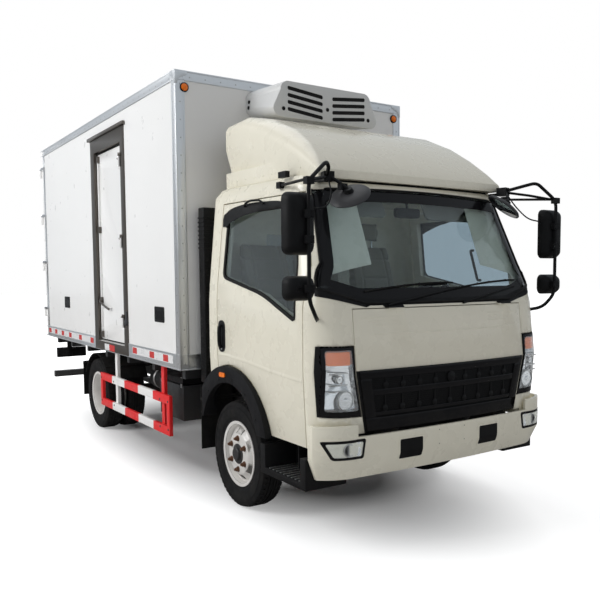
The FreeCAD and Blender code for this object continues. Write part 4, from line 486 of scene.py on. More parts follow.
class NodeSheet:
    """A material's node tree, with the few nodes that every finish here uses."""

    def __init__(self, label):
        self.material = bpy.data.materials.new(label)
        self.material.use_nodes = True
        self.tree = self.material.node_tree
        self.shader = self.tree.nodes["Principled BSDF"]
        self.place = self.tree.nodes.new("ShaderNodeTexCoord").outputs["Object"]
        finishes[label] = self.material

    def feed(self, socket, value):
        if isinstance(value, bpy.types.NodeSocket):
            self.tree.links.new(value, socket)
        elif socket.type == "RGBA":
            socket.default_value = (*value[:3], 1)
        else:
            socket.default_value = value

    def add(self, kind, **inputs):
        node = self.tree.nodes.new(kind)
        for key, value in inputs.items():
            self.feed(node.inputs[key.replace("_", " ")], value)
        return node

    def noise(self, scale, detail=3.0, roughness=0.5, stretch=None):
        place = self.place
        if stretch:
            mapping = self.add("ShaderNodeMapping", Vector=place, Scale=stretch)
            place = mapping.outputs["Vector"]
        return self.add(
            "ShaderNodeTexNoise", Vector=place, Scale=scale, Detail=detail, Roughness=roughness).outputs["Fac"]

    def span(self, value, low, high, out_low, out_high):
        node = self.tree.nodes.new("ShaderNodeMapRange")
        node.clamp = True
        self.tree.links.new(value, node.inputs["Value"])
        for key, number in (("From Min", low), ("From Max", high), ("To Min", out_low), ("To Max", out_high)):
            node.inputs[key].default_value = number
        return node.outputs["Result"]

    def mix(self, factor, first, second):
        node = self.tree.nodes.new("ShaderNodeMix")
        node.data_type = "RGBA"
        for index, value in ((0, factor), (6, first), (7, second)):
            self.feed(node.inputs[index], value)
        return node.outputs[2]

    def axis(self, letter):
        split = self.tree.nodes.new("ShaderNodeSeparateXYZ")
        self.tree.links.new(self.place, split.inputs[0])
        return split.outputs[letter]

    def calculate(self, operation, first, second):
        node = self.tree.nodes.new("ShaderNodeMath")
        node.operation = operation
        for socket, value in zip(node.inputs, (first, second)):
            self.feed(socket, value)
        return node.outputs[0]

    def bump(self, height, strength, distance):
        node = self.add("ShaderNodeBump", Height=height, Strength=strength, Distance=distance)
        self.tree.links.new(node.outputs["Normal"], self.shader.inputs["Normal"])

    def set(self, **values):
        for key, value in values.items():
            self.feed(self.shader.inputs[key.replace("_", " ")], value)


def shade(colour, amount):
    """Scale a colour's brightness."""
    return tuple(channel * amount for channel in colour[:3])


def enamel(label, colour, roughness=0.28, coat=0.35, drift=0.05, dust=(0.35, 0.31, 0.25), dust_top=0.9,
           dust_most=0.35, orange_peel=0.04):
    """Gloss paint: slight drift in tone, an orange-peel surface, and road dust that fades out upwards."""
    sheet = NodeSheet(label)
    tone = sheet.mix(sheet.noise(1.3), shade(colour, 1 - drift), shade(colour, 1 + drift))
    low = sheet.span(sheet.axis("Z"), 0.25, dust_top, dust_most, 0.0)
    patches = sheet.span(sheet.noise(5.0, 6.0, 0.65), 0.35, 0.7, 0.0, 1.0)
    sheet.set(
        Base_Color=sheet.mix(sheet.calculate("MULTIPLY", low, patches), tone, dust),
        Roughness=sheet.span(sheet.noise(9.0), 0.3, 0.7, roughness * 0.85, roughness * 1.2),
        Coat_Weight=coat, Coat_Roughness=0.08, IOR=1.5)
    if orange_peel > 0:
        sheet.bump(sheet.noise(140.0, 2.0), orange_peel, 0.001)


def metal(label, colour, roughness=0.35, streaks=(60.0, 60.0, 1.5), strength=0.25, drift=0.08):
    """Bare metal: a drawn or brushed grain along one axis, with duller patches."""
    sheet = NodeSheet(label)
    grain = sheet.noise(6.0, 4.0, 0.6, stretch=streaks)
    sheet.set(
        Base_Color=sheet.mix(sheet.noise(3.0), shade(colour, 1 - drift), shade(colour, 1 + drift)),
        Metallic=1.0,
        Roughness=sheet.span(grain, 0.25, 0.75, roughness * 0.75, roughness * 1.35))
    sheet.bump(grain, strength, 0.0004)


def plastic(label, colour, roughness=0.55, grain=420.0, strength=0.3, drift=0.12, dust_most=0.25):
    """Moulded plastic: a fine pebble grain, uneven sheen and some dust low down."""
    sheet = NodeSheet(label)
    tone = sheet.mix(sheet.noise(4.0), shade(colour, 1 - drift), shade(colour, 1 + drift))
    low = sheet.span(sheet.axis("Z"), 0.2, 1.1, dust_most, 0.0)
    patches = sheet.span(sheet.noise(7.0, 6.0, 0.7), 0.38, 0.7, 0.0, 1.0)
    sheet.set(
        Base_Color=sheet.mix(sheet.calculate("MULTIPLY", low, patches), tone, (0.19, 0.17, 0.145)),
        Specular_IOR_Level=0.16,
        Roughness=sheet.span(sheet.noise(11.0), 0.3, 0.7, roughness * 0.85, min(1.0, roughness * 1.2)))
    sheet.bump(sheet.noise(grain, 2.0), strength, 0.0006)


def rubber(label, colour, roughness=0.8, strength=0.35):
    """Rubber: matt black, greyed by dust in fine patches."""
    sheet = NodeSheet(label)
    patches = sheet.span(sheet.noise(10.0, 7.0, 0.7), 0.42, 0.75, 0.0, 0.55)
    sheet.set(
        Base_Color=sheet.mix(patches, colour, (0.030, 0.027, 0.024)), Specular_IOR_Level=0.12,
        Roughness=sheet.span(sheet.noise(25.0), 0.3, 0.7, roughness * 0.9, min(1.0, roughness * 1.15)))
    sheet.bump(sheet.noise(260.0, 3.0), strength, 0.0008)


def glass(label, colour, roughness=0.02, clear=0.86):
    """Window glass: mostly see-through, with a faint tint and even film."""
    sheet = NodeSheet(label)
    film = sheet.span(sheet.noise(6.0, 4.0), 0.35, 0.7, roughness, roughness + 0.02)
    sheet.set(Base_Color=colour, Roughness=film, Transmission_Weight=clear, IOR=1.25, Coat_Weight=0.25,
              Coat_Roughness=0.02)


def fabric(label, colour, second, scale=900.0):
    """Woven cloth: crossed threads, a soft sheen and worn lighter areas."""
    sheet = NodeSheet(label)
    warp = sheet.add("ShaderNodeTexWave", Vector=sheet.place, Scale=scale / 6.28)
    warp.bands_direction = "X"
    weft = sheet.add("ShaderNodeTexWave", Vector=sheet.place, Scale=scale / 6.28)
    weft.bands_direction = "DIAGONAL"
    weave = sheet.calculate("MULTIPLY", warp.outputs["Fac"], weft.outputs["Fac"])
    worn = sheet.span(sheet.noise(8.0, 5.0), 0.3, 0.75, 0.0, 1.0)
    tone = sheet.mix(worn, colour, second)
    sheet.set(Base_Color=sheet.mix(weave, shade(colour, 0.8), tone), Roughness=0.9, Sheen_Weight=0.4)
    sheet.bump(weave, 0.5, 0.0008)


def banded(label, first, second, starts, period_axis="Y"):
    """Paint in two colours: the second shows between each pair of places along an axis."""
    sheet = NodeSheet(label)
    place = sheet.axis(period_axis)
    factor = None
    for low, high in starts:
        above = sheet.calculate("GREATER_THAN", place, low)
        inside = sheet.calculate("MULTIPLY", above, sheet.calculate("LESS_THAN", place, high))
        factor = inside if factor is None else sheet.calculate("MAXIMUM", factor, inside)
    colour = sheet.mix(factor, first, second)
    patches = sheet.span(sheet.noise(9.0, 7.0, 0.7), 0.5, 0.8, 0.0, 0.12)
    sheet.set(
        Base_Color=sheet.mix(patches, colour, (0.30, 0.25, 0.20)),
        Roughness=sheet.span(sheet.noise(14.0), 0.3, 0.7, 0.32, 0.5))
    sheet.bump(sheet.noise(160.0, 2.0), 0.08, 0.001)


# Sizes and colours that a user would change

class TruckColours(bpy.types.PropertyGroup):
    """Colours of the truck's painted and moulded pieces."""

    cab: FloatVectorProperty(
        name="Cab", description="Cream paint of the cab, fairing and bumper", subtype="COLOR", size=3,
        min=0, max=1, default=(0.84, 0.80, 0.665))
    panel: FloatVectorProperty(
        name="Box panel", description="White skin of the insulated box", subtype="COLOR", size=3,
        min=0, max=1, default=(0.89, 0.885, 0.87))
    unit: FloatVectorProperty(
        name="Cooling unit", description="Case of the cooling unit", subtype="COLOR", size=3,
        min=0, max=1, default=(0.66, 0.665, 0.66))
    flare: FloatVectorProperty(
        name="Flares", description="Dark plastic over the front wheels", subtype="COLOR", size=3,
        min=0, max=1, default=(0.007, 0.007, 0.008))
    seat: FloatVectorProperty(
        name="Seats", description="Cloth covers of the cab seats", subtype="COLOR", size=3,
        min=0, max=1, default=(0.36, 0.335, 0.28))
    band: FloatVectorProperty(
        name="Guard bands", description="Red bands on the side guards", subtype="COLOR", size=3,
        min=0, max=1, default=(0.80, 0.012, 0.014))


class TruckSizes(bpy.types.PropertyGroup):
    """Sizes of the truck's added details."""

    rivet: FloatProperty(
        name="Rivet", description="Head diameter of the rivets along the box rails", unit="LENGTH",
        min=0.004, max=0.03, default=0.012)
    rivet_spacing: FloatProperty(
        name="Rivet spacing", description="Distance between rivets along the box rails", unit="LENGTH",
        min=0.05, max=0.5, default=0.13)
    border: FloatProperty(
        name="Screen border", description="Width of the black border around the windscreen", unit="LENGTH",
        min=0.01, max=0.2, default=0.075)
    tread_blocks: IntProperty(
        name="Tread blocks", description="Blocks around each tyre", min=20, max=90, default=52)
    edge: FloatProperty(
        name="Panel edge", description="Rounding of the cab's panel edges", unit="LENGTH",
        min=0.0005, max=0.01, default=0.003)


def colours():
    return bpy.context.scene.truck_colours


def sizes():
    return bpy.context.scene.truck_sizes


class TRUCK_OT_finishes(bpy.types.Operator):
    """Make every paint, metal, plastic, glass and cloth, and give the solids their finish"""
    bl_idname = "truck.finishes"
    bl_label = "Make the finishes"

    def execute(self, context):
        shades = colours()
        enamel("cab_paint", shades.cab, drift=0.012, dust_top=0.7, dust_most=0.15, orange_peel=0.0)
        enamel("panel_white", shades.panel, roughness=0.32, coat=0.2, drift=0.02, dust_top=1.5, dust_most=0.2)
        enamel("unit_grey", shades.unit, roughness=0.4, coat=0.1, dust_most=0.0)
        enamel("chassis_black", (0.018, 0.018, 0.019), roughness=0.5, coat=0.0, dust_most=0.12, dust_top=0.7)
        enamel("wheel_silver", (0.74, 0.72, 0.69), roughness=0.35, coat=0.2, dust_most=0.25, dust_top=0.8)
        metal("rail_aluminium", (0.72, 0.73, 0.74), 0.38)
        metal("door_stainless", (0.62, 0.62, 0.63), 0.27, streaks=(1.5, 60.0, 60.0))
        metal("rust_brown", (0.23, 0.13, 0.085), 0.65, streaks=(30.0, 30.0, 30.0), strength=0.5)
        # Painted shade: the side door's frame and fittings are steel darkened to stand in for the dark reflections and
        # shade on its posts.
        metal("door_frame_grey", (0.15, 0.135, 0.12), 0.42, streaks=(1.5, 60.0, 60.0))
        metal("zinc", (0.55, 0.55, 0.54), 0.42, streaks=(20.0, 20.0, 20.0))
        metal("engine_iron", (0.17, 0.17, 0.18), 0.6, streaks=(8.0, 8.0, 8.0), strength=0.6)
        metal("exhaust_steel", (0.30, 0.27, 0.24), 0.5, streaks=(10.0, 10.0, 10.0))
        metal("reflector_chrome", (0.62, 0.63, 0.64), 0.07, streaks=(4.0, 4.0, 4.0),
              strength=0.02, drift=0.01)
        plastic("trim_black", (0.006, 0.006, 0.0065), 0.5, dust_most=0.03)
        plastic("mirror_grey", (0.055, 0.055, 0.058), 0.4)
        plastic("gloss_black", (0.008, 0.008, 0.009), 0.16, grain=30.0, strength=0.02, dust_most=0.1)
        plastic("flare_grey", shades.flare, 0.6, dust_most=0.02)
        plastic("dash_grey", (0.045, 0.046, 0.048), 0.62)
        plastic("lining_grey", (0.30, 0.29, 0.26), 0.75, grain=300.0)
        rubber("tyre_rubber", (0.012, 0.012, 0.0125))
        rubber("seal_black", (0.010, 0.010, 0.010), 0.6, 0.1)
        glass("window_glass", (0.66, 0.74, 0.77), clear=1.0)
        glass("lens_clear", (0.93, 0.95, 0.96), roughness=0.03, clear=0.9)
        enamel("amber_lens", (0.95, 0.19, 0.0), roughness=0.25, coat=0.1, drift=0.15, dust_most=0.0)
        enamel("red_lens", (0.50, 0.008, 0.008), roughness=0.12, coat=0.8, drift=0.15, dust_most=0.1)
        enamel("tape_red", (0.60, 0.015, 0.012), roughness=0.3, coat=0.3, drift=0.08, dust_most=0.2)
        enamel("tape_white", (0.78, 0.78, 0.78), roughness=0.3, coat=0.3, drift=0.05, dust_most=0.2)
        fabric("seat_cloth", shades.seat, shade(shades.seat, 1.4))
        banded("guard_bands", (0.88, 0.87, 0.85), shades.band, [(-1.0, -0.453), (-0.088, 0.276), (0.64, 1.1)])
        enamel("guard_red", shades.band, dust_most=0.0)
        repaint("cab_paint", "cab_shell", "cab_door_left", "cab_door_right", "front_flap", "roof_fairing",
                "front_bumper")
        repaint("window_glass", "cab_glass", "door_glass_left", "door_glass_right")
        repaint("panel_white", "box_floor", "box_roof", "box_wall_left", "box_wall_right", "box_front_wall",
                "side_door", "rear_door_left", "rear_door_right")
        repaint("rail_aluminium", "box_edge_rails", "fuel_tank")
        repaint("door_stainless", "side_door_frame", "box_rear_portal")
        repaint("unit_grey", "cooling_unit")
        repaint("chassis_black", "chassis_frame", "front_axle", "rear_axle", "leaf_springs",
                "battery_and_air_tank",
                "rear_underrun_bar", "box_subframe", "knuckle_left", "knuckle_right")
        repaint("engine_iron", "engine_block")
        repaint("exhaust_steel", "exhaust")
        repaint("guard_bands", "side_guards")
        repaint("seal_black", "mudguards_and_flaps")
        repaint("red_lens", "rear_lamps")
        repaint("trim_black", "cab_steps", "air_intake", "mirrors", "wipers", "grille", "headlamps")
        repaint("flare_grey", "cab_fenders")
        repaint("dash_grey", "dashboard", "steering_wheel", "seat_box")
        repaint("seat_cloth", "seats")
        repaint("wheel_silver", "wheel_front_left", "wheel_front_right", "wheels_rear_left",
                "wheels_rear_right")
        repaint("tyre_rubber", "tyre_front_left", "tyre_front_right", "tyres_rear_left", "tyres_rear_right")
        return {"FINISHED"}


# Insulated box

def scatter_tree(label, sockets, finish, build, rounded=False):
    """Build a node tree that sets a small part on every point it is given, turned to the point's facing.

    Build makes the part from the tree's nodes, its links and its inputs."""
    tree = bpy.data.node_groups.new(label, "GeometryNodeTree")
    tree.interface.new_socket("Geometry", in_out="INPUT", socket_type="NodeSocketGeometry")
    for name, default in sockets:
        socket = tree.interface.new_socket(name, in_out="INPUT", socket_type="NodeSocketFloat")
        socket.default_value = default
    tree.interface.new_socket("Geometry", in_out="OUTPUT", socket_type="NodeSocketGeometry")
    nodes, links = tree.nodes, tree.links
    given, result = nodes.new("NodeGroupInput"), nodes.new("NodeGroupOutput")
    part = build(nodes, links, given.outputs)
    normal = nodes.new("GeometryNodeInputNamedAttribute")
    normal.data_type = "FLOAT_VECTOR"
    normal.inputs["Name"].default_value = "facing"
    align = nodes.new("FunctionNodeAlignRotationToVector")
    align.axis = "Z"
    links.new(normal.outputs["Attribute"], align.inputs["Vector"])
    scatter = nodes.new("GeometryNodeInstanceOnPoints")
    links.new(given.outputs["Geometry"], scatter.inputs["Points"])
    links.new(part, scatter.inputs["Instance"])
    links.new(align.outputs["Rotation"], scatter.inputs["Rotation"])
    real = nodes.new("GeometryNodeRealizeInstances")
    links.new(scatter.outputs["Instances"], real.inputs[0])
    paint = nodes.new("GeometryNodeSetMaterial")
    paint.inputs["Material"].default_value = finishes[finish]
    links.new(real.outputs[0], paint.inputs["Geometry"])
    last = paint.outputs[0]
    if rounded:
        shading = nodes.new("GeometryNodeSetShadeSmooth")
        links.new(last, shading.inputs["Geometry"])
        last = shading.outputs[0]
    links.new(last, result.inputs[0])
    return tree


def rivet_tree(finish):
    """Build a node tree that sets a domed rivet on every point it is given."""
    def build(nodes, links, given):
        head = nodes.new("GeometryNodeMeshUVSphere")
        head.inputs["Segments"].default_value = 8
        head.inputs["Rings"].default_value = 4
        links.new(given["Radius"], head.inputs["Radius"])
        ratio = nodes.new("ShaderNodeMath")
        ratio.operation = "DIVIDE"
        links.new(given["Height"], ratio.inputs[0])
        links.new(given["Radius"], ratio.inputs[1])
        flatten = nodes.new("ShaderNodeCombineXYZ")
        flatten.inputs[0].default_value = 1
        flatten.inputs[1].default_value = 1
        links.new(ratio.outputs[0], flatten.inputs[2])
        squash = nodes.new("GeometryNodeTransform")
        links.new(head.outputs["Mesh"], squash.inputs["Geometry"])
        links.new(flatten.outputs[0], squash.inputs["Scale"])
        return squash.outputs["Geometry"]
    return scatter_tree("rivet_rows", (("Radius", 0.006), ("Height", 0.003)), finish, build, rounded=True)


def ring_tree(finish):
    """Build a node tree that sets a six-sided wire ring on every point it is given."""
    def build(nodes, links, given):
        ring = nodes.new("GeometryNodeCurvePrimitiveCircle")
        ring.inputs["Resolution"].default_value = 6
        section = nodes.new("GeometryNodeCurvePrimitiveCircle")
        section.inputs["Resolution"].default_value = 3
        links.new(given["Radius"], ring.inputs["Radius"])
        links.new(given["Thickness"], section.inputs["Radius"])
        solid = nodes.new("GeometryNodeCurveToMesh")
        links.new(ring.outputs["Curve"], solid.inputs["Curve"])
        links.new(section.outputs["Curve"], solid.inputs["Profile Curve"])
        return solid.outputs["Mesh"]
    return scatter_tree("mesh_cells", (("Radius", 0.008), ("Thickness", 0.0015)), finish, build)


def grown(name, points, tree, body, finish, **inputs):
    """Run a node tree over loose points given as (place, facing), and keep the result as a plain mesh."""
    seed = bpy.data.meshes.new(name + "_points")
    seed.from_pydata([place for place, facing in points], [], [])
    facing = seed.attributes.new("facing", "FLOAT_VECTOR", "POINT")
    for index, (place, way) in enumerate(points):
        facing.data[index].vector = way
    piece = bpy.data.objects.new(name, seed)
    bpy.context.scene.collection.objects.link(piece)
    modifier = piece.modifiers.new("Grow", "NODES")
    modifier.node_group = tree
    for item in tree.interface.items_tree:
        if item.in_out == "INPUT" and item.name in inputs:
            modifier[item.identifier] = inputs[item.name]
    bpy.context.view_layer.update()
    evaluated = piece.evaluated_get(bpy.context.evaluated_depsgraph_get())
    mesh = bpy.data.meshes.new_from_object(evaluated)
    piece.modifiers.clear()
    piece.data = mesh
    mesh.name = name
    mesh.materials.clear()
    mesh.materials.append(finishes[finish])
    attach(piece, body)
    return piece


def row(start, end, spacing, facing):
    """Give evenly spaced points from start to end, with the way they face."""
    start, end = Vector(start), Vector(end)
    count = max(2, round((end - start).length / spacing) + 1)
    return [(start.lerp(end, index / (count - 1)), Vector(facing)) for index in range(count)]


def plate(shape, side, y_low, y_high, z_low, z_high, out, thickness):
    """Add a thin plate on a side wall: side -1 is the truck's right, out is its face's |X|."""
    low, high = sorted((side * (out - thickness), side * out))
    cuboid(shape, (low, y_low, z_low), (high, y_high, z_high))


class TRUCK_OT_box_rails(bpy.types.Operator):
    """Fold the aluminium rails and corner posts around the insulated box, with their rivets"""
    bl_idname = "truck.box_rails"
    bl_label = "Box rails"

    def execute(self, context):
        low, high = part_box("box_edge_rails")
        dress("box_edge_rails", "rail_aluminium", 0.002)
        dress("box_rear_portal", "door_stainless", 0.002)
        front, rear = low.y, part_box("box_rear_portal")[1].y
        half, top, foot = high.x, high.z, low.z
        lip = 0.001
        levels = ((top - 0.073, 0.008), (top - 0.012, 0.012), (foot + 0.117, 0.007), (foot, 0.010))
        shape = bmesh.new()
        for side in (-1, 1):
            across = half - 0.001
            for z, height in levels:
                stretches = [(front, rear)]
                if side < 0 and z < 2:
                    stretches = [(front, -0.03), (0.965, rear)]
                for start, end in stretches:
                    plate(shape, side, start, end, z, z + height, across + 0.003, 0.004)
            for along in (0.004, 0.062):
                plate(shape, side, front + along, front + along + 0.009, foot, top, across + 0.003, 0.004)
        for z, height in levels:
            cuboid(shape, (-half, front - 0.0025, z), (half, front + lip, z + height))
        for x in (-half + 0.001, -half + 0.064, half - 0.073, half - 0.010):
            cuboid(shape, (x, front - 0.0025, foot), (x + 0.009, front + lip, top))
        beads = add_piece("rail_beads", shape, "chassis", "rail_aluminium")
        bevelled(beads, 0.0015)

        caps = bmesh.new()
        for side in (-1, 1):
            corner = [(0.0, 0.0), (0.10, 0.0), (0.095, 0.03), (0.06, 0.045), (0.03, 0.06), (0.015, 0.10),
                      (0.0, 0.10)]
            outline = [(front + y, top - z) for y, z in corner]
            extruded(caps, outline, "X", side * half - 0.0035, side * half + 0.0035)
            outline = [(side * (half - y), top - z) for y, z in corner]
            extruded(caps, outline, "Y", front - 0.0035, front + 0.0035)
        cap = add_piece("roof_corner_caps", caps, "chassis", "rail_aluminium")
        bevelled(cap, 0.001)

        spacing = sizes().rivet_spacing
        points = []
        for side in (-1, 1):
            out = (side, 0, 0)
            x = side * half
            points += row((x, front + 0.12, top - 0.045), (x, rear - 0.08, top - 0.045), spacing, out)
            points += row((x, front + 0.04, foot + 0.05), (x, front + 0.04, top - 0.10), spacing, out)
            stretches = [(front + 0.12, rear - 0.05)]
            if side < 0:
                stretches = [(front + 0.12, -0.07), (1.0, rear - 0.05)]
            for start, end in stretches:
                points += row((x, start, foot + 0.022), (x, end, foot + 0.022), spacing, out)
            post = side * (half - 0.04)
            points += row((post, front, foot + 0.05), (post, front, top - 0.10), spacing, (0, -1, 0))
        for z in (top - 0.045, foot + 0.03):
            points += row((-half + 0.12, front, z), (half - 0.12, front, z), spacing, (0, -1, 0))
        grown("rail_rivets", points, rivet_tree("zinc"), "chassis", "zinc", Radius=sizes().rivet / 2,
              Height=0.0025)
        return {"FINISHED"}


class TRUCK_OT_box_marks(bpy.types.Operator):
    """Stick the red and white reflective tape on the bottom rails and the rear doors"""
    bl_idname = "truck.box_marks"
    bl_label = "Reflective tape"

    def execute(self, context):
        low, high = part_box("box_edge_rails")
        half, foot = high.x, low.z
        out = half + 0.0012
        red, white = blanks(2)
        for side in (-1, 1):
            if side < 0:
                reds = [2.80, 2.52, 2.22, 1.90, 1.50, 1.08, -0.19, -0.60, -0.90]
                whites = [(1.03, 2.86), (-1.05, -0.13)]
            else:
                reds = [2.75 - 0.31 * step for step in range(13)]
                whites = [(-1.05, 2.86)]
            for place in reds:
                plate(red, side, place - 0.052, place + 0.052, foot + 0.046, foot + 0.100, out + 0.0006,
                      0.001)
            for start, end in whites:
                plate(white, side, start, end, foot + 0.040, foot + 0.106, out, 0.001)
        plate(white, -1, 0.52, 0.66, foot + 0.012, foot + 0.072, out, 0.001)
        plate(red, -1, 0.36, 0.52, foot + 0.012, foot + 0.072, out + 0.0006, 0.001)
        add_piece("tape_red_pieces", red, "chassis", "tape_red")
        add_piece("tape_white_pieces", white, "chassis", "tape_white")
        for side, body in ((-1, "rear_door_right"), (1, "rear_door_left")):
            red, white = blanks(2)
            for shape, x in ((red, 0.92), (red, 0.62), (white, 0.77)):
                middle = side * x
                cuboid(shape, (middle - 0.07, REAR_SKIN_Y - 0.0012, 0.985),
                       (middle + 0.07, REAR_SKIN_Y, 1.035))
            middle = side * 1.02
            for shape, z in ((red, 2.93), (white, 2.77)):
                cuboid(shape, (middle - 0.025, REAR_SKIN_Y - 0.0012, z),
                       (middle + 0.025, REAR_SKIN_Y, z + 0.15))
            add_piece(body + "_tape_red", red, body, "tape_red")
            add_piece(body + "_tape_white", white, body, "tape_white")
        return {"FINISHED"}


# Doors, markers and inside of the box

def edge_seal(name, corners, axis, place, body, radius=0.006):
    """Run a black rubber bead round a door leaf."""
    line = dense(rounded_outline(corners, 0.02, 4), 0.1)
    shape = bmesh.new()
    if axis == "X":
        path = [Vector((place, along, up)) for along, up in line]
    else:
        path = [Vector((across, place, up)) for across, up in line]
    tube(shape, path, radius, 8, closed=True)
    add_piece(name, shape, body, "seal_black", 50)


class TRUCK_OT_side_door_set(bpy.types.Operator):
    """Finish the side door: its frame, rubber bead, lever, keepers, hinge bolts and catch"""
    bl_idname = "truck.side_door_set"
    bl_label = "Side door"

    def execute(self, context):
        dress("side_door", "panel_white", 0.0015, zones=[("zinc", lambda c: c.x < -1.0555 or c.y < 0.075)])
        # The frame's darkened steel is painted shade and painted dark reflection.
        dress("side_door_frame", "door_frame_grey", 0.0015)
        edge_seal("side_door_bead", [(0.092, 1.022), (0.846, 1.022), (0.846, 2.833), (0.092, 2.833)], "X",
                  -1.0535, "side_door")
        shape = bmesh.new()
        tube(shape, rounded_path([
            (-1.066, 0.800, 1.420), (-1.086, 0.800, 1.400), (-1.088, 0.680, 1.365), (-1.086, 0.520, 1.330)], 0.03, 6),
            0.010, 12)
        lathe(shape, [(0.004, 0.0), (0.004, 0.034), (-0.010, 0.030), (-0.016, 0.018), (-0.016, 0.0)],
              (-1.066, 0.800, 1.410), "X", 24)
        for up in (1.075, 1.410, 2.100, 2.780):
            cuboid(shape, (-1.076, 0.778, up - 0.030), (-1.054, 0.822, up + 0.030))
            for bolt in (-0.018, 0.018):
                lathe(shape, outwards(KEEPER_BOLT, -1), (-1.076, 0.786, up + bolt), "X", 12)
        for up in SIDE_HINGES_Z:
            for along in (0.125, 0.170, 0.212):
                lathe(shape, outwards(HINGE_BOLT, -1), (-1.066, along, up), "X", 14)
        add_piece("side_door_fittings", shape, "side_door", "door_frame_grey", 40)
        catch = bmesh.new()
        lathe(catch, [(0.0, 0.030), (-0.018, 0.026), (-0.024, 0.012), (-0.024, 0.0)],
              (-1.090, -0.005, 1.230), "X", 24)
        cuboid(catch, (-1.100, -0.020, 1.250), (-1.090, 0.012, 1.330))
        add_piece("side_door_catch", catch, "chassis", "mirror_grey", 40)
        return {"FINISHED"}


class TRUCK_OT_rear_door_set(bpy.types.Operator):
    """Finish the rear doors: rubber beads, guides and catches of the lock bars, hinge bolts and keepers"""
    bl_idname = "truck.rear_door_set"
    bl_label = "Rear doors"

    def execute(self, context):
        keepers = bmesh.new()
        for side, body in ((1, "rear_door_left"), (-1, "rear_door_right")):
            dress(body, "panel_white", 0.0015, zones=[
                ("zinc", lambda c: c.y > 2.9735 or abs(c.x) > 1.0845)])
            low, high = sorted((side * 0.012, side * 1.076))
            corners = [(low, 0.936), (high, 0.936), (high, 3.160), (low, 3.160)]
            edge_seal(body + "_bead", corners, "Y", 2.9715, body)
            shape = bmesh.new()
            for up in (1.04, 1.60, 2.27, 3.05):
                start, end = sorted((side * 0.296, side * 0.364))
                cuboid(shape, (start, 2.971, up - 0.022), (end, 2.980, up + 0.022))
                for bolt in (-0.026, 0.026):
                    lathe(shape, KEEPER_BOLT, (side * 0.33 + bolt, 2.980, up), "Y", 12)
            start, end = sorted((side * 0.14, side * 0.20))
            cuboid(shape, (start, 2.971, 1.322), (end, 2.983, 1.368))
            for up in REAR_HINGES_Z:
                for across in (0.895, 0.950, 1.010):
                    lathe(shape, HINGE_BOLT, (side * across, 2.984, up), "Y", 14)
            add_piece(body + "_fittings", shape, body, "zinc", 40)
            for up in (0.945, 3.150):
                start, end = sorted((side * 0.300, side * 0.360))
                cuboid(keepers, (start, 2.9025, up - 0.012), (end, 2.9060, up + 0.012))
        add_piece("rear_keepers", keepers, "chassis", "zinc", 40)
        return {"FINISHED"}


class TRUCK_OT_box_lamps(bpy.types.Operator):
    """Fit the box's front and rear marker lamps and its dark side marker boxes"""
    bl_idname = "truck.box_lamps"
    bl_label = "Box lamps"

    def execute(self, context):
        holders, ambers, reds, glow = blanks(4)
        for side in (-1, 1):
            for along, up in ((1.997, 1.357), (-0.777, 1.335)):
                line = rounded_rectangle(0.205, 0.125, 0.012, 4)
                start, end = sorted((side * 1.0845, side * 1.0895))
                extruded(holders, [(along + across, up + rise) for across, rise in line], "X", start, end)
                line = rounded_rectangle(0.150, 0.074, 0.010, 4)
                start, end = sorted((side * 1.088, side * 1.0900))
                extruded(glow, [(along + across, up - 0.006 + rise) for across, rise in line],
                         "X", start, end)
            place = Vector((side * 1.015, -1.1915, 3.052))
            lathe(holders, [(0.006, 0.0), (0.006, 0.036), (-0.006, 0.034), (-0.006, 0.0)], place, "Y", 28)
            lathe(ambers, [(-0.005, 0.028), (-0.013, 0.022), (-0.017, 0.010), (-0.0175, 0.0)], place, "Y", 28)
        for across in (-1.0, -0.34, 0.0, 0.34, 1.0):
            line = rounded_rectangle(0.090, 0.022, 0.008, 4)
            extruded(reds, [(across + x, 3.1725 + z * 0.1) for x, z in line], "Y", 2.880, 2.890)
        for name, shape, finish in (
                ("marker_holders", holders, "trim_black"), ("front_marker_lenses", ambers, "amber_lens"),
                ("side_marker_lenses", glow, "gloss_black"), ("rear_marker_lenses", reds, "red_lens")):
            add_piece(name, shape, "chassis", finish, 50)
        return {"FINISHED"}


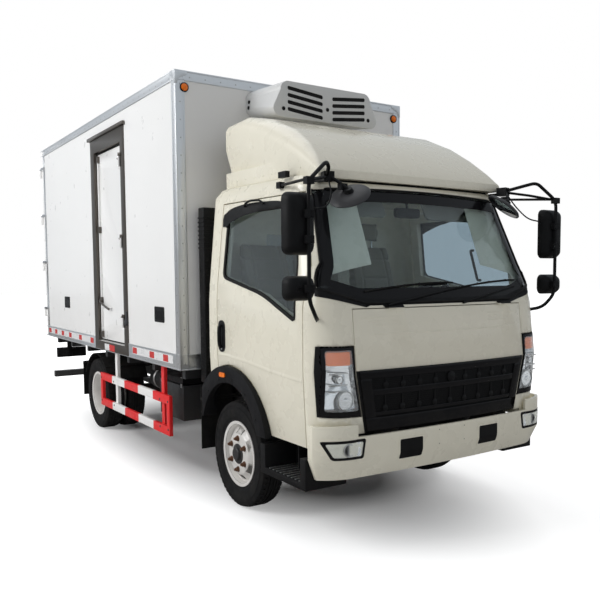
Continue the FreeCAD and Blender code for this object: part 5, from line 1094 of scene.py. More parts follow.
class TRUCK_OT_load_space(bpy.types.Operator):
    """Line the load space: ribbed floor, kick rails, the evaporator's fan guards and the ceiling lamps"""
    bl_idname = "truck.load_space"
    bl_label = "Load space"

    def execute(self, context):
        ribs, rails, fans, lamps, blades = blanks(5)
        for index in range(33):
            across = -0.96 + 0.06 * index
            cuboid(ribs, (across - 0.013, -1.10, 1.0102), (across + 0.013, 2.80, 1.0175))
        for side in (-1, 1):
            for up in (1.16, 1.60):
                spans = [(-1.10, 2.80)] if side > 0 else [(-1.10, 0.03), (0.91, 2.80)]
                for start, end in spans:
                    low, high = sorted((side * 1.0098, side * 0.998))
                    cuboid(rails, (low, start, up - 0.05), (high, end, up + 0.05))
            centre = Vector((side * 0.29, -0.690, 2.972))
            for radius in (0.022, 0.042, 0.062, 0.082, 0.098):
                turns = [math.radians(step * 15) for step in range(24)]
                ring = [centre + Vector((radius * math.cos(turn), 0.012, radius * math.sin(turn)))
                        for turn in turns]
                tube(fans, ring, 0.0025, 6, closed=True)
            for step in range(8):
                angle = math.radians(step * 45)
                way = Vector((math.cos(angle), 0, math.sin(angle)))
                start = centre + way * 0.010 + Vector((0, 0.013, 0))
                round_bar(fans, start, centre + way * 0.100 + Vector((0, 0.011, 0)), 0.0025, 6)
            lathe(blades, [(0.001, 0.100), (0.004, 0.104), (0.008, 0.104), (0.008, 0.100), (0.0015, 0.096)],
                  centre, "Y", 40)
            for along in (0.3, 1.9):
                line = rounded_rectangle(0.16, 0.09, 0.02, 4)
                extruded(lamps, [(side * 0.4 + x, along + y) for x, y in line], "Z", 3.070, 3.0948)
        for name, shape, finish in (
                ("floor_ribs", ribs, "rail_aluminium"), ("kick_rails", rails, "rail_aluminium"),
                ("fan_guards", fans, "zinc"), ("fan_rings", blades, "seal_black"),
                ("ceiling_lamps", lamps, "lens_clear")):
            add_piece(name, shape, "chassis", finish, 50)
        return {"FINISHED"}


# Cab outside

class TRUCK_OT_cab_skin(bpy.types.Operator):
    """Give the cab shell, doors, flap, fairing and bumper their clean painted skins"""
    bl_idname = "truck.cab_skin"
    bl_label = "Cab skin"

    def execute(self, context):
        lining = ("lining_grey", lambda c: abs(c.x) < 0.86 and -2.62 < c.y < -1.48 and 1.0 < c.z < 2.16)
        pillars = ("trim_black", lambda c: abs(c.x) < 0.86 and c.y <= -2.62 and 1.5 < c.z < 2.14)
        dress("cab_shell", "cab_paint", zones=[lining, pillars])
        for node in ("cab_door_left", "cab_door_right"):
            dress(node, "cab_paint", 0.002, zones=[
                ("lining_grey", lambda c: abs(c.x) < 0.912 and c.z < 1.70 and c.y > -2.72)])
        dress("front_flap", "cab_paint", 0.002)
        dress("roof_fairing", "cab_paint", 0.004)
        dress("front_bumper", "cab_paint", 0.004, cuts=[
            (Vector((0, 0, 0.452)), Vector((0, 0, 1)))], zones=[
            ("trim_black", lambda c: c.z < 0.452 or (c.y > -2.955 and abs(c.x) < 0.93))])
        dress("cab_fenders", "flare_grey", 0.002)
        return {"FINISHED"}


def screen_outline(tree):
    """Find the windscreen's outline as (across, up) on its glass, anticlockwise from the front's lower left."""
    right = []
    z_low, z_high, steps = 1.482, 2.162, 32
    for step in range(steps + 1):
        z = z_low + (z_high - z_low) * step / steps
        inside, outside = 0.5, 1.0
        for trial in range(12):
            middle = (inside + outside) / 2
            if tree.ray_cast(Vector((middle, -4, z)), Vector((0, 1, 0)), 2.2)[0] is None:
                outside = middle
            else:
                inside = middle
        right.append(Vector((inside, z)))
    top = [Vector((x, 2.1865 - 0.020 * (x / 0.8) ** 2)) for x in (0.70, 0.56, 0.42, 0.28, 0.14, 0.0)]
    foot = [Vector((x, 1.4795)) for x in (0.0, 0.12, 0.24, 0.36, 0.48, 0.60)]
    half = foot + right + top
    return [Vector((-point.x, point.y)) for point in reversed(half[1:-1])] + half


class TRUCK_OT_windscreen(bpy.types.Operator):
    """Print the black border on the windscreen, and fit its seal and the cowl strip"""
    bl_idname = "truck.windscreen"
    bl_label = "Windscreen border and cowl"

    def execute(self, context):
        tree = surface("cab_glass")
        outline = screen_outline(tree)
        edge = inset(outline, 0.004)
        inner = inset(rounded_outline(outline, 0.05, 1), sizes().border)
        inner = [Vector((x, min(max(z, 1.565), 2.122))) for x, z in inner]
        edge = resampled(edge, 120)
        inner = resampled(inner, 120)
        shape = bmesh.new()
        draped(shape, between(edge, inner, 3), tree, "Y", -1, 0.0012, 0.001)
        add_piece("windscreen_border", shape, "cab", "gloss_black", 60)

        both = surface("cab_shell", "cab_glass")
        seal = bmesh.new()
        outside = inset(outline, -0.004)
        path = [dropped(both, point, "Y", -1) + Vector((0, -0.002, 0)) for point in outside]
        tube(seal, path, 0.0075, 8, closed=True)
        add_piece("windscreen_seal", seal, "cab", "seal_black", 60)

        cowl = bmesh.new()
        shell = surface("cab_shell", "cab_glass", "front_flap")
        low = dense([(-0.93, 1.452), (0.93, 1.452)], 0.03, closed=False)
        high = []
        for point in low:
            out = max(0.0, (abs(point.x) - 0.60) / 0.33)
            high.append(Vector((point.x, 1.497 + 0.082 * out)))
            point.y = 1.446 + 0.076 * out
        draped(cowl, between(low, high, 3), shell, "Y", -1, 0.0035, 0.004, closed=False)
        add_piece("cowl_strip", cowl, "cab", "trim_black", 50)
        return {"FINISHED"}


class TRUCK_OT_wiper_set(bpy.types.Operator):
    """Fit the wiper arms with their rubber blades along the foot of the windscreen"""
    bl_idname = "truck.wiper_set"
    bl_label = "Wipers"

    def execute(self, context):
        tree = surface("cab_glass")
        shape = bmesh.new()
        for first, second in (((-0.62, 1.545), (0.10, 1.592)), ((0.02, 1.540), (0.74, 1.605))):
            places = []
            for step in range(13):
                share = step / 12
                pair = (first[0] + (second[0] - first[0]) * share,
                        first[1] + (second[1] - first[1]) * share + 0.012 * math.sin(math.pi * share))
                places.append(dropped(tree, pair, "Y", -1) + Vector((0, -0.008, 0)))
            tube(shape, places, 0.006, 8)
            tube(shape, [place + Vector((0, -0.009, 0.004)) for place in places[1:-1]], 0.0045, 8)
            for step in (2, 5, 7, 10):
                round_bar(shape, places[step], places[step] + Vector((0, -0.012, 0.006)), 0.007, 10)
        add_piece("wiper_blades", shape, "cab", "seal_black", 50)
        dress("wipers", "trim_black", 0.001)
        return {"FINISHED"}


class TRUCK_OT_grille_set(bpy.types.Operator):
    """Lay the frame, mesh and bars of the radiator grille on the flap's lower half"""
    bl_idname = "truck.grille_set"
    bl_label = "Grille"

    def execute(self, context):
        tree = surface("grille")
        low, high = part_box("grille")
        foot, top = low.z + 0.006, high.z - 0.004
        frame_bars = bmesh.new()

        def half_at(z):
            return 0.655 + (0.727 - 0.655) * min(1.0, max(0.0, (z - 0.705) / 0.375)) - 0.012

        def strip(z_low, z_high, lift, thick, margin=0.0):
            rows = []
            for z in (z_low, (z_low + z_high) / 2, z_high):
                half = half_at(z) - margin
                rows.append(dense([(-half, z), (half, z)], 0.05, closed=False))
            draped(frame_bars, rows, tree, "Y", -1, lift, thick, closed=False)

        strip(1.030, top, 0.011, 0.012)
        strip(0.925, 0.962, 0.009, 0.010, 0.06)
        strip(0.800, 0.822, 0.009, 0.010, 0.06)
        strip(foot, 0.790, 0.012, 0.013)
        for side in (-1, 1):
            inside, outside = [], []
            for step in range(9):
                z = 0.79 + (1.03 - 0.79) * step / 8
                outside.append(Vector((side * half_at(z), z)))
                inside.append(Vector((side * (half_at(z) - 0.075), z)))
            draped(frame_bars, [outside, inside], tree, "Y", -1, 0.011, 0.012, closed=False)
        bevelled(add_piece("grille_frame", frame_bars, "front_flap", "gloss_black", 30), 0.002)

        bars = bmesh.new()
        for z_low, z_high in ((0.826, 0.922), (0.966, 1.028)):
            for step in range(9):
                x = -0.52 + 1.04 * step / 8
                place = dropped(tree, (x, (z_low + z_high) / 2), "Y", -1)
                cuboid(bars, (x - 0.006, place.y - 0.007, z_low - 0.005),
                       (x + 0.006, place.y + 0.001, z_high + 0.005))
                tip = place + Vector((0, -0.0045, 0))
                lathe(bars, [(-0.004, 0.0), (-0.004, 0.016), (0.0, 0.021), (0.002, 0.021)],
                      (tip.x, tip.y, z_low + 0.016), "Y", 16)
        lathe(bars, [(-0.006, 0.0), (-0.006, 0.026), (0.0, 0.034), (0.003, 0.034)],
              (0, low.y - 0.006, 0.995), "Y", 24)
        add_piece("grille_bars", bars, "front_flap", "trim_black", 40)

        points = []
        for z_low, z_high in ((0.828, 0.920), (0.968, 1.026)):
            rows = max(2, round((z_high - z_low) / 0.0125))
            for line in range(rows + 1):
                z = z_low + (z_high - z_low) * line / rows
                for step in range(-38, 39):
                    x = (step + 0.5 * (line % 2)) * 0.0165
                    if abs(x) < half_at(z) - 0.08:
                        points.append((dropped(tree, (x, z), "Y", -1), Vector((0, -1, 0))))
        grown("grille_mesh", points, ring_tree("trim_black"), "front_flap", "trim_black", Radius=0.0082,
              Thickness=0.0016)
        dress("grille", "trim_black", 0.002)
        return {"FINISHED"}


# Lamps, bumper and front panel

class TRUCK_OT_headlamp_set(bpy.types.Operator):
    """Build the headlamps: dark frame, reflector, amber winker, projector and clear cover"""
    bl_idname = "truck.headlamp_set"
    bl_label = "Headlamps"

    def execute(self, context):
        tree = surface("headlamps")
        full = [(0.688, 0.806), (0.930, 0.812), (0.930, 1.224), (0.742, 1.224), (0.742, 1.082)]
        cover = rounded_outline(
            [(0.706, 0.842), (0.912, 0.846), (0.912, 1.206), (0.757, 1.206), (0.755, 1.080)],
            [0.014, 0.014, 0.014, 0.014, 0.05], 4)
        rim = resampled(dense(inset(full, 0.001), 0.02), 72)
        mouth = resampled(dense(cover, 0.02), 72)
        frame_ring = bmesh.new()
        draped(frame_ring, [rim, mouth], tree, "Y", -1, 0.0008, 0.020)
        deep = bmesh.new()
        bowl = nested(mouth, 0.97, 0.90)
        tops = []
        for ring, depth in zip(bowl, (0.004, 0.022, 0.036)):
            tops.append([deep.verts.new(dropped(tree, pair, "Y", -1) + Vector((0, depth, 0))) for pair in ring])
        skinned(deep, tops)
        deep.faces.new(tops[-1])
        winker = bmesh.new()
        corners = [(0.768, 1.118), (0.905, 1.118), (0.905, 1.196), (0.768, 1.196)]
        outline = resampled(dense(rounded_outline(corners, 0.008, 3), 0.02), 48)
        draped(winker, nested(outline, 0.6, 0.1), tree, "Y", -1, -0.006, 0.020, filled=True)
        clear = bmesh.new()
        rows = nested(mouth, 0.8, 0.6, 0.4, 0.2, 0.05)
        draped(clear, rows, tree, "Y", -1, 0.0014, 0.002, filled=True)
        lamps, rings = blanks(2)
        for x, z, radius in ((0.795, 0.908, 0.052), (0.835, 1.035, 0.022)):
            middle = dropped(tree, (x, z), "Y", -1)
            lathe(lamps, [(0.012, radius), (0.016, radius * 0.92), (0.030, radius * 0.55), (0.034, 0.0)],
                  middle, "Y", 40)
            lathe(rings, [(0.030, radius * 1.12), (0.006, radius * 1.12), (0.004, radius * 1.06),
                          (0.006, radius), (0.030, radius)], middle, "Y", 40)
            lathe(lamps, [(0.006, 0.0), (0.009, radius * 0.28), (0.018, radius * 0.42), (0.030, radius * 0.44),
                          (0.030, 0.0)], middle, "Y", 32)
        for step in range(4):
            z = 0.965 + 0.035 * step
            if abs(z - 1.035) > 0.012:
                middle = dropped(tree, (0.84, z), "Y", -1)
                cuboid(rings, (0.775, middle.y + 0.012, z - 0.003), (0.900, middle.y + 0.030, z + 0.003))
        for shape, name, finish, degrees in (
                (frame_ring, "headlamp_frames", "gloss_black", 40),
                (deep, "headlamp_bowls", "reflector_chrome", 50), (winker, "winker_lenses", "amber_lens", 50),
                (lamps, "headlamp_reflectors", "reflector_chrome", 30), (rings, "headlamp_rings", "zinc", 40),
                (clear, "headlamp_covers", "lens_clear", 60)):
            mirrored_x(shape)
            way = (0, -1, 0) if shape is deep else None
            add_piece(name, shape, "cab", finish, degrees, way)
        skirt = dress("headlamps", "trim_black", name="headlamp_backs")
        mesh = skirt.data
        shape = bmesh.new()
        shape.from_mesh(mesh)
        inside = [face for face in shape.faces if abs(face.calc_center_median().x) < 0.93
                  and face.normal.y < -0.5]
        bmesh.ops.delete(shape, geom=inside, context="FACES")
        shape.to_mesh(mesh)
        shape.free()
        return {"FINISHED"}


class TRUCK_OT_bumper_set(bpy.types.Operator):
    """Fit the bumper's fog lamps, its two square recesses filled with black sheets that paint their shade, the shield
    behind it and the plate screws
    """
    bl_idname = "truck.bumper_set"
    bl_label = "Bumper fittings"

    def execute(self, context):
        tree = surface("front_bumper")
        frames, bowls, clears, recess_shade, rims = blanks(5)
        corners = [(0.700, 0.563), (0.905, 0.568), (0.963, 0.681), (0.681, 0.681)]
        outer = resampled(dense(rounded_outline(corners, 0.014, 4), 0.015), 64)
        inner = resampled(dense(rounded_outline(inset(corners, 0.016), 0.010, 4), 0.015), 64)
        draped(frames, [outer, inner], tree, "Y", -1, 0.0022, 0.006)
        rows = nested(inner, 0.7, 0.4, 0.1)
        draped(bowls, rows, tree, "Y", -1, -0.0002, 0.001, filled=True)
        draped(clears, rows, tree, "Y", -1, 0.0032, 0.0012, filled=True)
        middle = dropped(tree, (0.80, 0.622), "Y", -1)
        lathe(rims, [(0.0, 0.040), (-0.0018, 0.038), (-0.0018, 0.033), (0.0, 0.031)], middle, "Y", 32)
        for shape in (frames, bowls, clears, rims):
            mirrored_x(shape)
        add_piece("fog_lamp_frames", frames, "chassis", "gloss_black")
        add_piece("fog_lamp_bowls", bowls, "chassis", "reflector_chrome")
        add_piece("fog_lamp_rings", rims, "chassis", "zinc")
        add_piece("fog_lamp_covers", clears, "chassis", "lens_clear", 60)

        for side in (-1, 1):
            low, high = sorted((side * 0.239, side * 0.439))
            corners = [(low, 0.508), (high, 0.508), (high, 0.652), (low, 0.652)]
            outer = resampled(dense(rounded_outline(corners, 0.008, 3), 0.02), 60)
            inner = resampled(dense(rounded_outline(inset(corners, 0.010), 0.006, 3), 0.02), 60)
            rows = [shrunk(inner, share) for share in (1.0, 0.85, 0.7, 0.55, 0.4, 0.25, 0.1)]
            # Painted shade: black sheets fill the recesses in place of the shade inside them.
            draped(recess_shade, rows, tree, "Y", -1, 0.0016, 0.002, filled=True)
            lip = bmesh.new()
            draped(lip, [outer, inner], tree, "Y", -1, 0.0030, 0.003)
            add_piece("recess_lip_right" if side < 0 else "recess_lip_left", lip, "chassis", "cab_paint")
        add_piece("bumper_recesses", recess_shade, "chassis", "trim_black", 60)

        shield = bmesh.new()
        cuboid(shield, (-0.93, -2.620, 0.455), (0.93, -2.612, 0.655))
        for up in (0.50, 0.555, 0.61):
            cuboid(shield, (-0.90, -2.626, up - 0.006), (0.90, -2.620, up + 0.006))
        add_piece("lower_shield", shield, "chassis", "trim_black")

        screws = bmesh.new()
        for x in (-0.11, 0.11):
            for z in (0.575, 0.665):
                lathe(screws, [(0.004, 0.0055), (-0.0002, 0.0055), (-0.0004, 0.0)], (x, -2.9935, z), "Y", 14)
        add_piece("plate_screws", screws, "chassis", "seal_black", 60)
        return {"FINISHED"}


class TRUCK_OT_cab_seams(bpy.types.Operator):
    """Press the crease and the ridges into the front panel"""
    bl_idname = "truck.cab_seams"
    bl_label = "Panel creases"

    def execute(self, context):
        tree = surface("front_flap")
        ridges = bmesh.new()

        def ridge(x_low, x_high, z, height, lift):
            count = max(4, round((x_high - x_low) / 0.04))
            rows = []
            for up, out in (
                    (-height / 2, -0.0015), (-height * 0.1, lift), (height * 0.1, lift), (height / 2, -0.0015)):
                line = []
                for step in range(count + 1):
                    x = x_low + (x_high - x_low) * step / count
                    taper = min(1.0, 8 * min(step, count - step) / count + 0.01)
                    place = dropped(tree, (x, z + up), "Y", -1)
                    line.append(ridges.verts.new(place + Vector((0, 0.0012 - (out + 0.0015) * taper, 0))))
                rows.append(line)
            skinned(ridges, rows, closed=False)

        ridge(-0.700, 0.700, 1.292, 0.016, 0.0022)
        for side in (-1, 1):
            for z, short in ((1.392, 0.0), (1.368, 0.05), (1.344, 0.10)):
                low, high = sorted((side * 0.36, side * (0.69 - short)))
                ridge(low, high, z, 0.014, 0.0018)
        add_piece("front_panel_ridges", ridges, "front_flap", "cab_paint", 80, way=(0, -1, 0))
        return {"FINISHED"}


# Cab doors

WINDOW_CORNERS = [
    (-1.687, 2.077), (-1.687, 1.636), (-2.258, 1.526), (-2.648, 1.372), (-2.648, 1.700), (-2.492, 2.077)]


class TRUCK_OT_door_trim(bpy.types.Operator):
    """Frame the door windows in rubber, and fit the wind visors, handles, locks and door creases"""
    bl_idname = "truck.door_trim"
    bl_label = "Cab door trim"

    def execute(self, context):
        for side, body in ((1, "door_left"), (-1, "door_right")):
            node = "cab_" + body
            tree = surface(node, body.replace("door", "door_glass"))
            outline = rounded_outline(WINDOW_CORNERS, [0.05, 0.05, 0.12, 0.03, 0.12, 0.05], 6)
            outline = resampled(dense(outline, 0.03), 150)
            outer = inset(outline, -0.012)
            middle = sum((Vector(point) for point in outline), Vector((0, 0))) / len(outline)
            flip = 1 if (outer[0] - middle).length > (outline[0] - middle).length else -1
            skin = surface(node)
            rows = []
            trim = bmesh.new()
            tries = [inset(outline, -away * flip) for away in (0.012, 0.022, 0.034, 0.048)]
            holders = []
            for index in range(len(outline)):
                found = [dropped(skin, line[index], "X", side, fallback=9.0) for line in tries]
                holders.append(next(place for place in found if abs(place.x) < 8))
            for away, out in (
                    (-0.012, -0.002), (-0.011, 0.0045), (-0.002, 0.0055), (0.008, 0.0015), (0.009, -0.012)):
                line = inset(outline, away * flip)
                rows.append([trim.verts.new((holder.x + side * out, point.x, point.y))
                             for holder, point in zip(holders, line)])
            skinned(trim, rows)
            add_piece(body + "_window_trim", trim, body, "seal_black", 50, way=(side, 0, 0))

            visor = bmesh.new()
            line = [(-1.622, 2.050), (-1.70, 2.084), (-1.85, 2.106), (-2.05, 2.110), (-2.30, 2.100),
                    (-2.50, 2.062)]
            line = rounded_path([(0, y, z) for y, z in line], 0.08, 5)
            rows = []
            base = [dropped(tree, (point.y, point.z + 0.022), "X", side, fallback=side * 0.86)
                    for point in line]
            for place, share in zip(base, (index / (len(line) - 1) for index in range(len(line)))):
                swell = math.sin(math.pi * min(1, share * 1.3 + 0.1)) ** 0.7
                width = 0.046 + 0.080 * max(0.0, 1 - share * 1.25) * min(1.0, 0.45 + share * 6)
                ring = []
                for out, drop in ((0.001, 0.0), (0.012, 0.002), (0.030, -0.4 * width), (0.034, -width),
                                  (0.030, -width), (0.026, -0.4 * width), (0.008, -0.004), (-0.002, -0.004)):
                    ring.append(visor.verts.new(place + Vector((side * out * max(0.25, swell), 0, drop))))
                rows.append(ring)
            skinned(visor, rows)
            visor.faces.new(rows[0])
            visor.faces.new(rows[-1])
            loop = (((-1.925, 2.112), 0.020), ((-1.940, 2.130), 0.030), ((-2.010, 2.145), 0.034),
                    ((-2.120, 2.140), 0.030), ((-2.150, 2.114), 0.014))
            top = [dropped(skin, pair, "X", side, fallback=side * 0.86) + Vector((side * out, 0, 0))
                   for pair, out in loop]
            tube(visor, rounded_path(top, 0.03, 5), 0.0075, 10)
            add_piece(body + "_wind_visor", visor, body, "trim_black", 60)

            handle = bmesh.new()
            y, z = -1.672, 1.215
            centre = dropped(skin, (y, z), "X", side)
            plate_line = rounded_rectangle(0.105, 0.225, 0.045, 6)
            plate_line = [(y + across, z + up) for across, up in plate_line]
            rows = nested(plate_line, 0.86, 0.5, 0.1)
            draped(handle, rows, skin, "X", side, 0.004, 0.006, filled=True)
            grip = [(0.018, -0.080), (0.030, -0.066), (0.034, -0.03), (0.034, 0.03), (0.030, 0.066),
                    (0.018, 0.080)]
            path = [Vector((centre.x + side * (out - 0.008), y - 0.006, z + up)) for out, up in grip]
            tube(handle, path, 0.013, 12)
            add_piece(body + "_handle", handle, body, "trim_black", 50)
            lock = bmesh.new()
            spot = dropped(skin, (y, z - 0.089), "X", side)
            barrel = ((-0.002, 0.0105), (0.0062, 0.0105), (0.0068, 0.008), (0.0068, 0.0))
            lathe(lock, outwards(barrel, side), spot, "X", 20)
            add_piece(body + "_lock", lock, body, "zinc", 40)

            crease = bmesh.new()
            points = [(-1.613, 1.080), (-1.75, 1.078), (-2.05, 1.060), (-2.35, 1.032), (-2.60, 1.016),
                      (-2.725, 1.012)]
            path = dense([Vector(point) for point in points], 0.05, closed=False)
            rows = []
            for up, out in ((0.022, -0.001), (0.008, 0.0022), (-0.003, 0.0026), (-0.010, -0.001)):
                rows.append([crease.verts.new(
                    dropped(skin, (point.x, point.y + up), "X", side) + Vector((side * out, 0, 0)))
                    for point in path])
            skinned(crease, rows, closed=False)
            add_piece(body + "_crease", crease, body, "cab_paint", 80, way=(side, 0, 0))
        return {"FINISHED"}


class TRUCK_OT_flare_trim(bpy.types.Operator):
    """Fit the amber side winkers, the screws of the wheel flares and the step treads"""
    bl_idname = "truck.flare_trim"
    bl_label = "Flares and steps"

    def execute(self, context):
        tree = surface("cab_fenders")
        lens = bmesh.new()
        outline = rounded_rectangle(0.085, 0.032, 0.014, 5)
        outline = [(-1.725 + across, 0.945 + up) for across, up in outline]
        for side in (-1, 1):
            rows = nested(outline, 0.8, 0.4, 0.08)
            draped(lens, rows, tree, "X", side, 0.007, 0.010, fallback=side * 0.99, filled=True)
        add_piece("side_winkers", lens, "cab", "amber_lens", 50)
        points = []
        for side in (-1, 1):
            for turn in range(20, 180, 26):
                angle = math.radians(turn)
                pair = (-1.80 + 0.455 * math.cos(angle), 0.470 + 0.455 * math.sin(angle))
                points.append((dropped(tree, pair, "X", side, fallback=side * 1.0), Vector((side, 0, 0))))
        grown("flare_screws", points, rivet_tree("seal_black"),
              "cab", "seal_black", Radius=0.009, Height=0.003)

        dress("cab_steps", "trim_black", 0.002)
        low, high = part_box("cab_steps")
        ribs = bmesh.new()
        for side in (-1, 1):
            for step in range(11):
                y = low.y + 0.05 + (high.y - low.y - 0.10) * step / 10
                start, end = sorted((side * 0.74, side * 0.985))
                cuboid(ribs, (start, y - 0.006, low.z + 0.0385), (end, y + 0.006, low.z + 0.045))
        add_piece("step_ribs", ribs, "chassis", "zinc")
        return {"FINISHED"}


# Fairing, cooling unit, intake and mirrors

class TRUCK_OT_fairing_trim(bpy.types.Operator):
    """Fit a black strip on the cab under the fairing's lip, which paints the shadow there, and the screws along its
    foot
    """
    bl_idname = "truck.fairing_trim"
    bl_label = "Fairing joint"

    def execute(self, context):
        # Painted shadow: a black strip on the cab shell just under the fairing's overhanging lip.
        lip_shadow = bmesh.new()
        shell = surface("cab_shell")
        low = dense([(-0.77, 2.226), (0.77, 2.226)], 0.05, closed=False)
        rows = [[Vector((point.x, z)) for point in low] for z in (2.225, 2.234, 2.2395)]
        draped(lip_shadow, rows, shell, "Y", -1, 0.0016, 0.004, closed=False)
        add_piece("fairing_lip_shadow", lip_shadow, "cab", "seal_black", 60)
        tree = surface("roof_fairing")
        points = []
        for side in (-1, 1):
            for step in range(9):
                pair = (-2.45 + 0.112 * step, 2.318)
                points.append((dropped(tree, pair, "X", side, fallback=side * 0.8), Vector((side, 0, 0))))
        grown("fairing_screws", points, rivet_tree("cab_paint"),
              "cab", "cab_paint", Radius=0.008, Height=0.003)
        return {"FINISHED"}


class TRUCK_OT_unit_front(bpy.types.Operator):
    """Lay the cooling unit's eight air slots as black sheets that paint the shade inside them, with their lips, and
    fit its bolts
    """
    bl_idname = "truck.unit_front"
    bl_label = "Cooling unit front"

    def execute(self, context):
        dress("cooling_unit", "unit_grey", 0.004)
        tree = surface("cooling_unit")
        slots, lips = blanks(2)
        for side in (-1, 1):
            for step in range(4):
                centre, reach = side * 0.205, 0.320
                outline = rounded_rectangle(reach, 0.029, 0.012, 4)
                outer = rounded_rectangle(reach + 0.012, 0.041, 0.018, 4)
                outline, outer = (
                    [(centre + across, 3.034 - 0.052 * step + up + side * across * 0.105)
                     for across, up in line]
                    for line in (outline, outer))
                rows = nested(outline, 0.6, 0.1)
                # Painted shade: a black sheet in each slot stands in for the shade inside it.
                draped(slots, rows, tree, "Y", -1, 0.0006, 0.001, filled=True)
                draped(lips, [outer, outline], tree, "Y", -1, 0.0018, 0.003)
        add_piece("unit_slots", slots, "chassis", "seal_black", 60)
        add_piece("unit_slot_lips", lips, "chassis", "unit_grey", 30)
        bolts = bmesh.new()
        for x, z in ((0.0, 2.930), (-0.400, 2.893), (0.400, 2.893)):
            place = dropped(tree, (x, z), "Y", -1)
            lathe(bolts, [(0.003, 0.015), (-0.002, 0.015), (-0.005, 0.010), (-0.005, 0.0)], place, "Y", 20)
        for side in (-1, 1):
            for y, z in ((-1.235, 2.955), (-1.235, 3.000)):
                place = dropped(tree, (y, z), "X", side)
                head = ((-0.003, 0.014), (0.005, 0.014), (0.008, 0.008), (0.008, 0.0))
                lathe(bolts, outwards(head, side), place, "X", 18)
        add_piece("unit_bolts", bolts, "chassis", "seal_black", 40)
        return {"FINISHED"}


class TRUCK_OT_intake_ribs(bpy.types.Operator):
    """Mould the ribs and the slatted mouth of the raised air intake"""
    bl_idname = "truck.intake_ribs"
    bl_label = "Air intake"

    def execute(self, context):
        dress("air_intake", "trim_black", 0.006)
        low, high = -0.942, -0.820
        front, rear = -1.330, -1.238
        ribs = bmesh.new()
        for step in range(39):
            z = 0.885 + 0.0235 * step
            outline = rounded_rectangle(high - low + 0.006, rear - front + 0.006, 0.018, 3)
            outline = [((low + high) / 2 + across, (front + rear) / 2 + along) for across, along in outline]
            extruded(ribs, outline, "Z", z, z + 0.009)
        for step in range(8):
            z = 1.850 + 0.032 * step
            cuboid(ribs, (low - 0.004, front - 0.004, z), (high + 0.004, rear + 0.002, z + 0.012))
        piece = add_piece("intake_ribs", ribs, "chassis", "trim_black", 40)
        bevelled(piece, 0.0015, 40)
        return {"FINISHED"}


